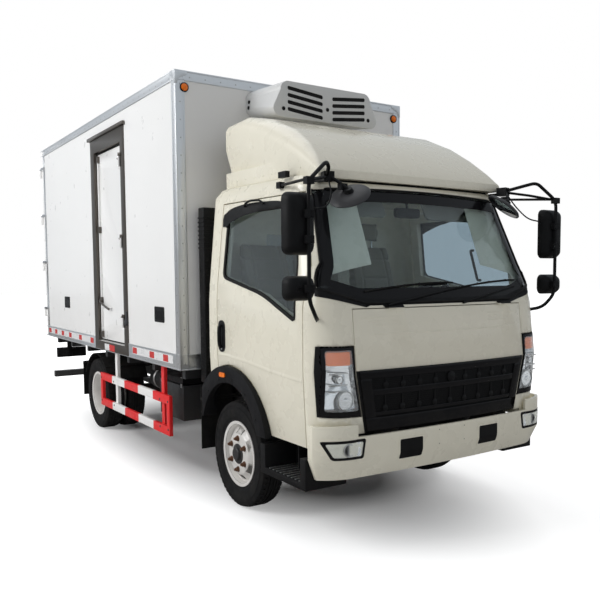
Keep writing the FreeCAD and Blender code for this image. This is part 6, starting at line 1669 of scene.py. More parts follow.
class TRUCK_OT_mirror_set(bpy.types.Operator):
    """Round the mirror housings, silver their glass, and carry them on bent tubes, clamps and stays"""
    bl_idname = "truck.mirror_set"
    bl_label = "Mirrors"

    def execute(self, context):
        cases, panes, rounds, clamps, tubes = blanks(5)
        x_low, x_high = 0.985, 1.178
        for z_low, z_high in ((1.758, 2.108), (1.500, 1.641)):
            width, height = x_high - x_low, z_high - z_low
            centre = ((x_low + x_high) / 2, (z_low + z_high) / 2)
            rows = []
            for y, grow in ((-2.843, -0.004), (-2.846, 0.0), (-2.862, 0.0), (-2.890, -0.006), (-2.912, -0.018),
                            (-2.923, -0.038), (-2.928, -0.075)):
                corner = max(0.006, 0.042 + grow * 0.3)
                tall = height + 2 * grow
                line = rounded_rectangle(width + 2 * grow, tall, min(corner, tall / 2.2), 6)
                rows.append([cases.verts.new(Vector((centre[0] + across, y, centre[1] + up)))
                             for across, up in line])
            skinned(cases, rows)
            cases.faces.new(rows[0])
            cases.faces.new(rows[-1])
            line = rounded_rectangle(width - 0.024, height - 0.024, 0.030, 6)
            extruded(panes, [(centre[0] + across, centre[1] + up) for across, up in line],
                     "Y", -2.8435, -2.8415)
            for up in ((0.0,) if height < 0.2 else (-0.09, 0.05)):
                middle = centre[1] + up
                cuboid(clamps, (1.030, -2.958, middle - 0.022), (1.086, -2.918, middle + 0.022))
                for bolt in (-0.013, 0.013):
                    round_bar(clamps, (1.044, -2.962, middle + bolt), (1.044, -2.955, middle + bolt),
                              0.005, 8)

        foot = rounded_path([
            (0.920, -2.812, 1.385), (0.985, -2.900, 1.405), (1.058, -2.944, 1.500), (1.058, -2.944, 1.900),
            (1.058, -2.944, 2.165), (0.905, -2.895, 2.288), (0.850, -2.840, 2.270), (0.770, -2.705, 2.235)], 0.05, 7)
        tube(tubes, foot, 0.0115, 14)
        tube(tubes, [(0.862, -2.325, 2.216), (0.960, -2.640, 2.196), (1.056, -2.935, 2.176)], 0.009, 10)
        tube(tubes, [(1.056, -2.940, 2.170), (0.900, -2.830, 2.205), (0.770, -2.710, 2.232)], 0.009, 10)
        for low, high, turn in (((0.735, -2.745, 2.205), (0.800, -2.672, 2.262), 0.3),
                                ((0.840, -2.395, 2.262), (0.872, -2.305, 2.300), 0.0),
                                ((0.846, -2.345, 2.196), (0.884, -2.300, 2.236), 0.0),
                                ((1.030, -2.962, 2.146), (1.080, -2.922, 2.186), 0.0)):
            verts = cuboid(clamps, low, high)
            middle = (Vector(low) + Vector(high)) / 2
            spin = Matrix.Translation(middle) @ Matrix.Rotation(turn, 4, "Z") @ Matrix.Translation(-middle)
            bmesh.ops.transform(clamps, matrix=spin, verts=verts)
        cuboid(clamps, (0.745, -2.700, 2.212), (0.792, -2.590, 2.228))
        lathe(clamps, [(-0.006, 0.0), (-0.006, 0.026), (0.010, 0.020), (0.010, 0.0)],
              (0.926, -2.815, 1.388), "X", 20)

        centre = Vector((0.668, -2.800, 2.110))
        plate = [(0.002, 0.0), (0.002, 0.118), (-0.001, 0.126), (-0.008, 0.128), (-0.018, 0.119), (-0.028, 0.090),
                 (-0.034, 0.048), (-0.035, 0.0)]
        back = Vector((0.506, -0.322, 0.800)).normalized()
        turn = Vector((0, -1, 0)).rotation_difference(back).to_matrix().to_4x4()
        placed = Matrix.Translation(centre) @ turn
        disc, pane = blanks(2)
        lathe(disc, plate, (0, 0, 0), "Y", 56)
        lathe(pane, [(0.0025, 0.0), (0.0035, 0.108), (0.0015, 0.114)], (0, 0, 0), "Y", 48)
        for source, target in ((disc, rounds), (pane, panes)):
            bmesh.ops.transform(source, matrix=placed, verts=source.verts)
            held = bpy.data.meshes.new("held")
            source.to_mesh(held)
            source.free()
            target.from_mesh(held)
            bpy.data.meshes.remove(held)
        knob = centre + back * 0.030 + Vector((0.020, 0.030, 0.030))
        round_bar(clamps, centre + back * 0.026, centre + back * 0.058, 0.034, 20, 0.024)
        tube(tubes, [centre + back * 0.050, knob + Vector((0.030, 0.0, 0.030)), (0.768, -2.735, 2.232)],
             0.010, 12)
        cuboid(clamps, knob - Vector((0.018, 0.020, 0.012)), knob + Vector((0.030, 0.018, 0.024)))
        hose = rounded_path([
            (0.780, -2.735, 2.215), (0.800, -2.800, 2.120), (0.870, -2.850, 2.035), (0.980, -2.868, 2.020)], 0.06, 8)
        tube(tubes, hose, 0.005, 8)
        for shape, name, finish, degrees in (
                (cases, "mirror_cases", "trim_black", 40), (panes, "mirror_panes", "reflector_chrome", 30),
                (rounds, "round_mirror_backs", "mirror_grey", 50), (clamps, "mirror_clamps", "trim_black", 35),
                (tubes, "mirror_tubes", "trim_black", 50)):
            mirrored_x(shape)
            piece = add_piece(name, shape, "cab", finish, degrees)
            if shape is tubes:
                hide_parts("mirrors")
        return {"FINISHED"}


# Wheels and tyres

TYRE_PROFILE = [(0.210, 0.072), (0.233, 0.072), (0.250, 0.082), (0.280, 0.0915), (0.325, 0.0915), (0.345, 0.0885),
                (0.362, 0.084), (0.3705, 0.077), (0.3715, 0.066)]
TREAD_RADIUS = 0.380


def turned_rings(shape, profile, centre, sides):
    """Turn each (across, radius) point of a profile into a ring of vertices about an axle that lies along X."""
    turns = [2 * math.pi * index / sides for index in range(sides)]
    return [[shape.verts.new(Vector(centre) + Vector((across, radius * math.cos(turn), radius * math.sin(turn))))
             for turn in turns] for across, radius in profile]


def lathe_open(shape, profile, centre, sides):
    """Turn a closed profile of (across, radius) points about an axle that lies along X."""
    rings = turned_rings(shape, profile, centre, sides)
    skinned(shape, rings + rings[:1])


def tyre_body(shape, centre):
    """Add one tyre's carcass with its grooves, as a closed ring about its axle."""
    tread = [(0.046, 0.3715), (0.046, 0.3785), (0.030, 0.3787), (0.030, 0.3715), (0.023, 0.3715), (0.023, 0.3789),
             (0.008, 0.379), (0.008, 0.3715), (0.002, 0.3715)]
    right = [(across, radius) for radius, across in TYRE_PROFILE] + tread
    lathe_open(shape, right + [(-across, radius) for across, radius in reversed(right)], centre, 96)


def tread_blocks(shape, centre, count):
    """Add the shoulder and middle blocks of a tyre's tread, turned evenly about its axle."""
    centre = Vector(centre)
    for number in range(count):
        turn = 2 * math.pi * number / count
        for shift, low, high, skew, share in ((0.0, 0.049, 0.082, 0.5, 0.62),
                                              (0.5, -0.082, -0.049, -0.5, 0.62)):
            angle = turn + 2 * math.pi * shift / count
            width = 2 * math.pi / count * share / 2
            corners = []
            for across in (low, high):
                outer = TREAD_RADIUS - 0.0006 - (0.010 if abs(across) > 0.07 else 0.0)
                for way in (-1, 1):
                    lean = skew * width * (0.5 if across == low else -0.5)
                    for radius in (0.366, outer):
                        spot = angle + way * width + lean
                        corners.append(shape.verts.new(centre + Vector((
                            across, radius * math.cos(spot), radius * math.sin(spot)))))
            a, b, c, d, e, f, g, h = corners
            for face in ([a, b, d, c], [e, g, h, f], [a, e, f, b], [c, d, h, g], [b, f, h, d], [a, c, g, e]):
                shape.faces.new(face)


class TRUCK_OT_tyres(bpy.types.Operator):
    """Mould the tyres with their grooves, tread blocks and sidewall ribs"""
    bl_idname = "truck.tyres"
    bl_label = "Tyres"

    def execute(self, context):
        places = {
            "tyre_front_left": [FRONT_WHEEL_X], "tyre_front_right": [-FRONT_WHEEL_X],
            "tyres_rear_left": REAR_WHEELS_X, "tyres_rear_right": [-x for x in REAR_WHEELS_X]}
        for node, across in places.items():
            shape = bmesh.new()
            for x in across:
                centre = (x, FRONT_AXLE_Y if "front" in node else REAR_AXLE_Y, AXLE_Z)
                tyre_body(shape, centre)
                tread_blocks(shape, centre, sizes().tread_blocks)
                for face in (-1, 1):
                    for radius, along, proud in (
                            (0.343, 0.0888, 0.0012), (0.335, 0.0915, 0.0008), (0.262, 0.0865, 0.0010)):
                        root, tip = face * (along - 0.004), face * (along + proud)
                        section = [(root, radius - 0.004), (tip, radius - 0.0015),
                                   (tip, radius + 0.0015), (root, radius + 0.004)]
                        lathe_open(shape, section, centre, 72)
            piece = add_piece(node + "_rubber", shape, solids[node]["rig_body"], "tyre_rubber", 38)
            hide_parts(node)
        return {"FINISHED"}


class TRUCK_OT_wheel_discs(bpy.types.Operator):
    """Press the silver steel wheels with their hand holes, nuts and hubs"""
    bl_idname = "truck.wheel_discs"
    bl_label = "Wheels"

    def execute(self, context):
        for node, side, front in (("wheel_front_left", 1, True), ("wheel_front_right", -1, True),
                                  ("wheels_rear_left", 1, False), ("wheels_rear_right", -1, False)):
            y = FRONT_AXLE_Y if front else REAR_AXLE_Y
            body = solids[node]["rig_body"]
            hub_centre = Vector((side * (FRONT_WHEEL_X if front else REAR_DISC_X), y, AXLE_Z))
            rims = [FRONT_WHEEL_X] if front else REAR_WHEELS_X
            metal_shape, dark = blanks(2)
            for middle in rims:
                section = [
                    (-0.079, 0.229), (-0.0785, 0.233), (-0.074, 0.234), (-0.071, 0.230), (-0.070, 0.218),
                    (-0.055, 0.212), (-0.030, 0.205), (0.030, 0.205), (0.055, 0.212), (0.070, 0.218), (0.071, 0.230),
                    (0.074, 0.234), (0.0785, 0.233), (0.079, 0.229), (0.075, 0.212), (0.058, 0.204), (0.032, 0.1985),
                    (-0.032, 0.1985), (-0.058, 0.204), (-0.075, 0.212)]
                lathe_open(metal_shape, section, (side * middle, y, AXLE_Z), 96)
            if front:
                outs = [(0.080, 0.070), (0.080, 0.132), (0.076, 0.146), (0.066, 0.158), (0.054, 0.168),
                        (0.042, 0.184), (0.036, 0.196), (0.040, 0.2035)]
                inner, outer = 0.140, 0.187
                hub = [(0.030, 0.072), (0.084, 0.072), (0.086, 0.066), (0.086, 0.050), (0.101, 0.046), (0.104, 0.042),
                       (0.104, 0.0)]
                nut_radius, nut_out = 0.111, 0.080
            else:
                outs = [(0.046, 0.092), (0.046, 0.100), (0.040, 0.152), (0.044, 0.160), (0.060, 0.172),
                        (0.078, 0.184), (0.094, 0.196), (0.100, 0.2035)]
                inner, outer = 0.156, 0.190
                hub = [(0.020, 0.095), (0.082, 0.093), (0.088, 0.084), (0.090, 0.070), (0.090, 0.0)]
                nut_radius, nut_out = 0.122, 0.043
            profile = outs + [(out - 0.008, radius) for out, radius in reversed(outs)]
            sides = 144
            rings = turned_rings(metal_shape, outwards(profile, side), hub_centre, sides)
            count = len(rings)

            def holed(number, index):
                first, second = profile[number][1], profile[(number + 1) % count][1]
                return min(first, second) >= inner and max(first, second) <= outer and 6 <= index % 24 < 18

            for number in range(count):
                following = rings[(number + 1) % count]
                for index in range(sides):
                    after = (index + 1) % sides
                    if not holed(number, index):
                        metal_shape.faces.new([
                            rings[number][index], rings[number][after], following[after], following[index]])
            edges = [edge for edge in metal_shape.edges if len(edge.link_faces) == 1]
            if edges:
                bmesh.ops.bridge_loops(metal_shape, edges=edges)
            bmesh.ops.remove_doubles(metal_shape, verts=metal_shape.verts, dist=0.00001)
            piece = add_piece(node + "_steel", metal_shape, body, "wheel_silver", 38)
            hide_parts(node)
            drum = ((0.010, 0.060), (0.034, 0.060), (0.034, 0.196), (0.010, 0.196))
            for turned in (hub, drum):
                lathe(dark, outwards(turned, side), hub_centre, "X", 48)
            add_piece(node + "_hub", dark, body, "chassis_black")
            nuts = bmesh.new()
            for number in range(WHEEL_NUTS):
                turn = 2 * math.pi * (number + 0.5) / WHEEL_NUTS
                spot = hub_centre + Vector((
                    side * nut_out, nut_radius * math.cos(turn), nut_radius * math.sin(turn)))
                round_bar(nuts, spot - Vector((side * 0.002, 0, 0)), spot + Vector((side * 0.004, 0, 0)),
                          0.021, 24)
                round_bar(nuts, spot, spot + Vector((side * 0.020, 0, 0)), 0.0165, 6, 0.0155)
                round_bar(nuts, spot, spot + Vector((side * 0.031, 0, 0)), 0.0095, 12)
            add_piece(node + "_nuts", nuts, body, "rust_brown")
        return {"FINISHED"}


# Cab interior

def stuffed(name, outline, low, high, body, limit=0.012, taper=0.0):
    """Make a cushion from its side outline between two X: sewn cloth that its stuffing swells, up to a limit."""
    shape = bmesh.new()
    extruded(shape, outline, "X", low, high)
    middle = (low + high) / 2
    top = max(up for along, up in outline)
    foot = min(up for along, up in outline)
    for vert in shape.verts:
        vert.co.x = middle + (vert.co.x - middle) * (1 - taper * (vert.co.z - foot) / (top - foot))
    piece = add_piece(name, shape, body, "seat_cloth", 180)
    applied(piece, [("REMESH", {"mode": "VOXEL", "voxel_size": 0.012})])
    start = [vert.co.copy() for vert in piece.data.vertices]
    cloth = piece.modifiers.new("Cloth", "CLOTH")
    cloth.settings.use_pressure = True
    cloth.settings.uniform_pressure_force = 4
    cloth.settings.effector_weights.gravity = 0
    for step in range(1, 21):
        bpy.context.scene.frame_set(step)
    mesh = bpy.data.meshes.new_from_object(piece.evaluated_get(bpy.context.evaluated_depsgraph_get()))
    piece.modifiers.clear()
    for vert, place in zip(mesh.vertices, start):
        move = vert.co - place
        if move.length > limit:
            vert.co = place + move.normalized() * limit
    piece.data = mesh
    bpy.context.scene.frame_set(1)
    applied(piece, [("SUBSURF", {"levels": 1, "render_levels": 1})])
    return piece


def channelled(piece, seams, depth=0.010, width=0.009):
    """Press sewn channels into a cushion: each seam gives how far a point lies from its line, or None."""
    mesh = piece.data
    normals = [vert.normal.copy() for vert in mesh.vertices]
    for vert, normal in zip(mesh.vertices, normals):
        sink = 0.0
        for seam in seams:
            away = seam(vert.co)
            if away is not None:
                sink = max(sink, depth * math.exp(-(away / width) ** 2))
        vert.co = vert.co - normal * sink
    smooth(mesh, 180)


def piped(name, piece, corners, body, axis="Z", side=1, radius=0.0045):
    """Sew a round piping along a closed line on a cushion."""
    mesh = piece.data
    tree = BVHTree.FromPolygons(
        [vert.co.copy() for vert in mesh.vertices], [face.vertices[:] for face in mesh.polygons])
    line = dense(rounded_outline(corners, 0.05, 6), 0.02)
    shape = bmesh.new()
    tube(shape, [dropped(tree, pair, axis, side) for pair in line], radius, 8, closed=True)
    add_piece(name, shape, body, "seal_black", 60)


class TRUCK_OT_seat_covers(bpy.types.Operator):
    """Pad the driver's seat and the two-place bench in cloth, with channels, piping and a headrest"""
    bl_idname = "truck.seat_covers"
    bl_label = "Seats"

    def execute(self, context):
        cushion = [(-2.095, 1.138), (-2.102, 1.215), (-2.080, 1.268), (-2.030, 1.286), (-1.800, 1.272),
                   (-1.672, 1.284), (-1.656, 1.240), (-1.660, 1.138)]
        back = [(-1.748, 1.330), (-1.700, 1.306), (-1.650, 1.320), (-1.572, 1.800), (-1.566, 1.868),
                (-1.590, 1.886), (-1.618, 1.868), (-1.700, 1.620)]
        first = None
        for name, low, high, narrow in (
                ("driver", 0.180, 0.620, 0.10), ("bench_side", -0.795, -0.375, 0.08),
                ("bench_middle", -0.340, 0.055, 0.06)):
            middle, half = (low + high) / 2, (high - low) / 2
            seat = stuffed(name + "_cushion", cushion, low, high, "cab")
            rear = stuffed(name + "_back", back, low, high, "cab", taper=narrow)
            first = first or seat
            edge = half * 0.58
            channelled(seat, [
                lambda co, m=middle, e=edge: abs(abs(co.x - m) - e) if co.z > 1.22 else None,
                lambda co, m=middle, e=edge: abs(co.y + 1.93) if co.z > 1.22 and abs(co.x - m) < e else None,
                lambda co, m=middle, e=edge: abs(co.y + 1.80) if co.z > 1.22 and abs(co.x - m) < e else None])
            channelled(rear, [
                lambda co, m=middle, e=edge: abs(abs(co.x - m) - e * (1 - 0.1 * (co.z - 1.3))),
                lambda co, m=middle, e=edge: abs(co.z - 1.47) if abs(co.x - m) < e else None,
                lambda co, m=middle, e=edge: abs(co.z - 1.62) if abs(co.x - m) < e else None,
                lambda co: abs(co.z - 1.77)])
            rim = half - 0.030
            piped(name + "_piping", seat, [
                (middle - rim, -2.070), (middle + rim, -2.070), (middle + rim, -1.690), (middle - rim, -1.690)], "cab")
        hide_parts("seats")
        head = [(-1.603, 1.925), (-1.590, 1.912), (-1.566, 1.920), (-1.560, 1.990), (-1.566, 2.062),
                (-1.585, 2.074), (-1.602, 2.058), (-1.612, 1.990)]
        rest = stuffed("driver_headrest", head, 0.295, 0.505, "cab", limit=0.008)
        channelled(rest, [lambda co: abs(abs(co.x - 0.4) - 0.075)], 0.005, 0.007)
        metalwork = bmesh.new()
        for across in (0.352, 0.448):
            round_bar(metalwork, (across, -1.590, 1.860), (across, -1.586, 1.950), 0.006, 16)
        for low, high in ((0.20, 0.60), (-0.76, -0.41), (-0.31, 0.03)):
            for along in (-2.04, -1.70):
                round_bar(metalwork, (low, along, 1.128), (high, along, 1.128), 0.009, 12)
        add_piece("seat_metalwork", metalwork, "cab", "reflector_chrome")
        dress("seat_box", "dash_grey", 0.006)
        return {"FINISHED"}


class TRUCK_OT_dash_details(bpy.types.Operator):
    """Fit the instrument hood, vents, radio panel, glove box, knobs and levers to the dash"""
    bl_idname = "truck.dash_details"
    bl_label = "Dash"

    def execute(self, context):
        dress("dashboard", "dash_grey", 0.004)
        hood, dials, panels, bright = blanks(4)
        arch = [(0.215, 1.418), (0.585, 1.418), (0.585, 1.460), (0.555, 1.492), (0.480, 1.508), (0.320, 1.508),
                (0.245, 1.492), (0.215, 1.460)]
        outline = rounded_outline(arch, 0.03, 4)
        inner = inset(outline, 0.012)
        rows = []
        for line, along in ((outline, -2.700), (outline, -2.535), (inner, -2.535), (inner, -2.600)):
            rows.append([hood.verts.new((x, along, z)) for x, z in line])
        skinned(hood, rows)
        hood.faces.new(rows[0])
        hood.faces.new(rows[-1])
        for across, radius in ((0.320, 0.036), (0.400, 0.030), (0.480, 0.036)):
            lathe(dials, [(0.0, radius), (0.004, radius), (0.004, radius - 0.004), (0.001, radius - 0.006),
                          (0.001, 0.0)], (across, -2.604, 1.460), "Y", 32)
        panel = rounded_rectangle(0.215, 0.125, 0.012, 4)
        up = 1.372
        for across, scale in ((-0.02, 0.86), (0.62, 0.5), (-0.60, 0.5)):
            line = [(across + x * scale, up + z * 0.42) for x, z in panel]
            extruded(panels, line, "Y", -2.560, -2.520)
            for slat in range(5):
                height = up - 0.018 + slat * 0.009
                reach = 0.10 * scale
                cuboid(panels, (across - reach, -2.528, height - 0.001),
                       (across + reach, -2.515, height + 0.001))
        door = rounded_outline([(-0.66, 1.10), (-0.16, 1.10), (-0.16, 1.30), (-0.66, 1.30)], 0.02, 4)
        extruded(panels, door, "Y", -2.575, -2.520)
        line = rounded_outline([(-0.10, 1.12), (0.13, 1.12), (0.13, 1.335), (-0.10, 1.335)], 0.015, 4)
        extruded(panels, line, "Y", -2.580, -2.514)
        for across, up in ((-0.05, 1.150), (0.015, 1.150), (0.08, 1.150), (-0.06, 1.235), (0.09, 1.235)):
            lathe(bright, [(0.0, 0.017), (0.008, 0.016), (0.014, 0.013), (0.014, 0.0)],
                  (across, -2.516, up), "Y", 24)
        cuboid(bright, (-0.075, -2.516, 1.268), (0.105, -2.510, 1.318))
        cuboid(bright, (-0.44, -2.524, 1.262), (-0.38, -2.512, 1.280))
        for name, shape, finish in (
                ("instrument_hood", hood, "dash_grey"), ("dials", dials, "gloss_black"),
                ("dash_panels", panels, "trim_black"), ("dash_knobs", bright, "mirror_grey")):
            add_piece(name, shape, "cab", finish, 40)

        lever = bmesh.new()
        foot = (0.03, -2.36, 0.966)
        tube(lever, rounded_path([foot, (0.03, -2.36, 1.15), (0.06, -2.30, 1.30)], 0.08, 6), 0.009, 12)
        lathe(lever, [(-0.03, 0.010), (-0.02, 0.022), (0.0, 0.027), (0.02, 0.022), (0.03, 0.0)],
              (0.06, -2.30, 1.325), "Z", 24)
        lathe(lever, [(0.0, 0.075), (0.02, 0.070), (0.05, 0.040), (0.09, 0.016), (0.09, 0.0)], foot, "Z", 28)
        for side in (-1, 1):
            tube(lever, [(0.4 + side * 0.025, -2.345, 1.395), (0.4 + side * 0.12, -2.335, 1.412),
                         (0.4 + side * 0.19, -2.325, 1.425)], 0.008, 10)
        add_piece("levers", lever, "cab", "trim_black", 40)
        return {"FINISHED"}


class TRUCK_OT_steering_rim(bpy.types.Operator):
    """Shape the steering wheel's grip, spokes and centre pad"""
    bl_idname = "truck.steering_rim"
    bl_label = "Steering wheel"

    def execute(self, context):
        shape = bmesh.new()
        rings = []
        sides, around = 16, 72
        for index in range(around):
            turn = 2 * math.pi * index / around
            ring = []
            for step in range(sides):
                angle = 2 * math.pi * step / sides
                swell = 0.0135 if step in (4, 5, 11, 12) else 0.0125
                reach = 0.191 + swell * math.cos(angle)
                ring.append(shape.verts.new((
                    reach * math.cos(turn), reach * math.sin(turn), swell * math.sin(angle))))
            rings.append(ring)
        for index in range(around):
            first, second = rings[index], rings[(index + 1) % around]
            for step in range(sides):
                after = (step + 1) % sides
                shape.faces.new([first[step], second[step], second[after], first[after]])
        for turn in (15, 165, 250, 290):
            angle = math.radians(turn)
            way = Vector((math.cos(angle), math.sin(angle), 0))
            tube(shape, [way * 0.04 + Vector((0, 0, -0.012)), way * 0.11 + Vector((0, 0, -0.010)), way * 0.187],
                 0.011, 12)
        lathe(shape, [(-0.030, 0.0), (-0.030, 0.050), (-0.012, 0.056), (0.006, 0.052), (0.012, 0.040), (0.013, 0.0)],
              (0, 0, 0), "Z", 40)
        lean = Matrix.Translation((0.4, -2.290, 1.470)) @ Matrix.Rotation(math.radians(-35), 4, "X")
        bmesh.ops.transform(shape, matrix=lean, verts=shape.verts)
        piece = add_piece("steering_rim", shape, "steering_wheel", "trim_black", 45)
        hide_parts("steering_wheel")
        return {"FINISHED"}


class TRUCK_OT_cab_lining(bpy.types.Operator):
    """Fit the sun visors, inside mirror, grab handles, floor mat and door linings in the cab"""
    bl_idname = "truck.cab_lining"
    bl_label = "Cab lining"

    def execute(self, context):
        soft, dark, bright = blanks(3)
        for across in (0.40, -0.42):
            line = rounded_rectangle(0.46, 0.150, 0.03, 5)
            faces = extruded(soft, [(across + x, z) for x, z in line], "Y", -0.009, 0.009)
            verts = {vert for face in faces for vert in face.verts}
            lean = Matrix.Translation((0, -2.520, 2.090)) @ Matrix.Rotation(math.radians(-26), 4, "X")
            bmesh.ops.transform(soft, matrix=lean, verts=list(verts))
            for side in (-1, 1):
                tube(dark, [(across + side * 0.20, -2.486, 2.160), (across + side * 0.20, -2.476, 2.192)],
                     0.007, 10)
        add_piece("sun_visors", soft, "cab", "lining_grey", 40)
        glass_line = rounded_rectangle(0.21, 0.065, 0.02, 5)
        extruded(dark, [(x, 2.060 + z) for x, z in glass_line], "Y", -2.560, -2.530)
        extruded(bright, [(x * 0.92, 2.060 + z * 0.86) for x, z in glass_line], "Y", -2.531, -2.528)
        tube(dark, [(0.0, -2.550, 2.075), (0.0, -2.540, 2.130), (0.0, -2.510, 2.190)], 0.008, 10)
        for across in (-0.70, 0.70):
            tube(dark, rounded_path([
                (across, -2.565, 1.60), (across, -2.535, 1.60), (across * 0.985, -2.470, 1.82),
                (across * 0.985, -2.500, 1.82)], 0.03, 5), 0.010, 10)
        add_piece("inside_fittings", dark, "cab", "trim_black", 40)
        add_piece("inside_mirror", bright, "cab", "reflector_chrome", 40)

        mat = bmesh.new()
        line = rounded_outline([(-0.80, -2.50), (0.80, -2.50), (0.80, -1.90), (-0.80, -1.90)], 0.06, 5)
        extruded(mat, line, "Z", 0.9655, 0.974)
        for index in range(24):
            across = -0.76 + index * 0.066
            cuboid(mat, (across - 0.006, -2.47, 0.974), (across + 0.006, -1.93, 0.977))
        add_piece("floor_mat", mat, "cab", "seal_black", 40)

        for side, body in ((1, "door_left"), (-1, "door_right")):
            inside = surface("cab_" + body)
            panel, fittings = blanks(2)

            def within(along, up, lift):
                place = inside.ray_cast(Vector((0, along, up)), Vector((side, 0, 0)))[0]
                if place is None:
                    raise RuntimeError("no door skin at %s" % ((along, up),))
                return place - Vector((side * lift, 0, 0))

            corners = [(-2.20, 1.06), (-1.66, 1.06), (-1.66, 1.58), (-2.20, 1.46), (-2.58, 1.30),
                       (-2.58, 1.12)]
            outline = dense(rounded_outline(corners, 0.04, 5), 0.05)
            rows = nested(outline, 0.97, 0.5, 0.06)
            tops = [[panel.verts.new(within(y, z, 0.0 if index == 0 else 0.010)) for y, z in row]
                    for index, row in enumerate(rows)]
            skinned(panel, tops)
            panel.faces.new(tops[-1])
            add_piece(body + "_lining", panel, body, "lining_grey", 50, way=(-side, 0, 0))
            arm = [(-2.10, 1.235), (-1.80, 1.245), (-1.72, 1.275)]
            tube(fittings, [within(y, z, 0.035) for y, z in dense(arm, 0.05, closed=False)], 0.022, 14)
            tube(fittings, [within(-2.30, 1.30, 0.014), within(-2.25, 1.305, 0.024), within(-2.19, 1.31, 0.014)],
                 0.007, 10)
            add_piece(body + "_armrest", fittings, body, "dash_grey", 40)
        return {"FINISHED"}


# Underbody

class TRUCK_OT_guard_set(bpy.types.Operator):
    """Finish the side guards: striped rails and posts, and their fixing bolts"""
    bl_idname = "truck.guard_set"
    bl_label = "Side guards"

    def execute(self, context):
        dress("side_guards", "guard_bands", 0.002, zones=[
            ("guard_red", lambda c: abs(c.x) < 1.0065 and min(abs(c.y + 0.61), abs(c.y - 0.59)) < 0.036)])
        shape = bmesh.new()
        for side in (-1, 1):
            for along in (-0.787, -0.61, 0.59, 0.975):
                for up in (0.385, 0.617):
                    head = ((-0.004, 0.010), (0.001, 0.010), (0.004, 0.007), (0.004, 0.0))
                    lathe(shape, outwards(head, side), (side * 1.036, along, up), "X", 18)
        add_piece("guard_bolts", shape, "chassis", "mirror_grey", 40)
        return {"FINISHED"}


class TRUCK_OT_rear_lamp_set(bpy.types.Operator):
    """Finish the rear lamps: black cases with ribbed red and amber lenses, reflectors and plate end strips"""
    bl_idname = "truck.rear_lamp_set"
    bl_label = "Rear lamps"

    def execute(self, context):
        dress("rear_lamps", "trim_black", 0.003)
        dress("rear_underrun_bar", "chassis_black", 0.003)
        parts = {finish: bmesh.new() for finish in ("red_lens", "amber_lens", "trim_black")}
        for side in (-1, 1):
            for start, end, finish in (
                    (0.650, 0.740, "amber_lens"), (0.748, 0.868, "red_lens"), (0.876, 0.980, "red_lens")):
                low, high = sorted((side * start, side * end))
                line = rounded_outline([(low, 0.650), (high, 0.650), (high, 0.750), (low, 0.750)], 0.012, 4)
                extruded(parts[finish], line, "Y", 2.9440, 2.9475)
                for rib in range(int((high - low) / 0.012)):
                    place = low + 0.006 + rib * 0.012
                    cuboid(parts[finish], (place - 0.0015, 2.9470, 0.660), (place + 0.0015, 2.9485, 0.740))
            for up in (0.640, 0.756):
                low, high = sorted((side * 0.645, side * 0.985))
                cuboid(parts["trim_black"], (low, 2.9445, up), (high, 2.9480, up + 0.004))
            round_bar(parts["red_lens"], (side * 0.90, 2.9500, 0.4375), (side * 0.90, 2.9535, 0.4375),
                      0.028, 24)
        for start, end in ((-0.27, -0.262), (0.262, 0.27)):
            cuboid(parts["trim_black"], (start, 2.9500, 0.40), (end, 2.9540, 0.475))
        for finish, shape in parts.items():
            add_piece("rear_lamp_" + finish, shape, "chassis", finish, 50)
        return {"FINISHED"}


class TRUCK_OT_tank_set(bpy.types.Operator):
    """Finish the tanks: straps and cap, the battery's lid and clips, and the air tank's bands and plug"""
    bl_idname = "truck.tank_set"
    bl_label = "Tanks and straps"

    def execute(self, context):
        dress("fuel_tank", "rail_aluminium", 0.004)
        dress("battery_and_air_tank", "chassis_black", 0.003)
        steel, black = blanks(2)
        for along in (-0.52, 0.07):
            line = rounded_outline([(0.398, 0.418), (0.862, 0.418), (0.862, 0.782), (0.398, 0.782)], 0.03, 6)
            extruded(steel, inset(line, -0.004), "Y", along - 0.020, along + 0.020)
        lathe(black, [(-0.002, 0.045), (0.020, 0.045), (0.026, 0.038), (0.026, 0.0)],
              (0.70, -0.60, 0.78), "Z", 32)
        for along in (-0.66, -0.22):
            cuboid(steel, (-0.862, along - 0.015, 0.70), (-0.8595, along + 0.015, 0.79))
        cuboid(black, (-0.866, -0.705, 0.735), (-0.394, -0.175, 0.784))
        for along in (0.18, 0.64):
            turns = [math.radians(step * 10) for step in range(36)]
            ring = [Vector((-0.500 + 0.1065 * math.cos(turn), along, 0.600 + 0.1065 * math.sin(turn)))
                    for turn in turns]
            for shift in (-0.012, -0.004, 0.004, 0.012):
                tube(steel, [point + Vector((0, shift, 0)) for point in ring], 0.0035, 6, closed=True)
        lathe(steel, [(0.002, 0.014), (-0.012, 0.014), (-0.016, 0.009), (-0.016, 0.0)],
              (-0.500, 0.060, 0.600), "Y", 18)
        add_piece("tank_straps", steel, "chassis", "zinc", 40)
        add_piece("tank_lids", black, "chassis", "trim_black", 40)
        return {"FINISHED"}


# Stage

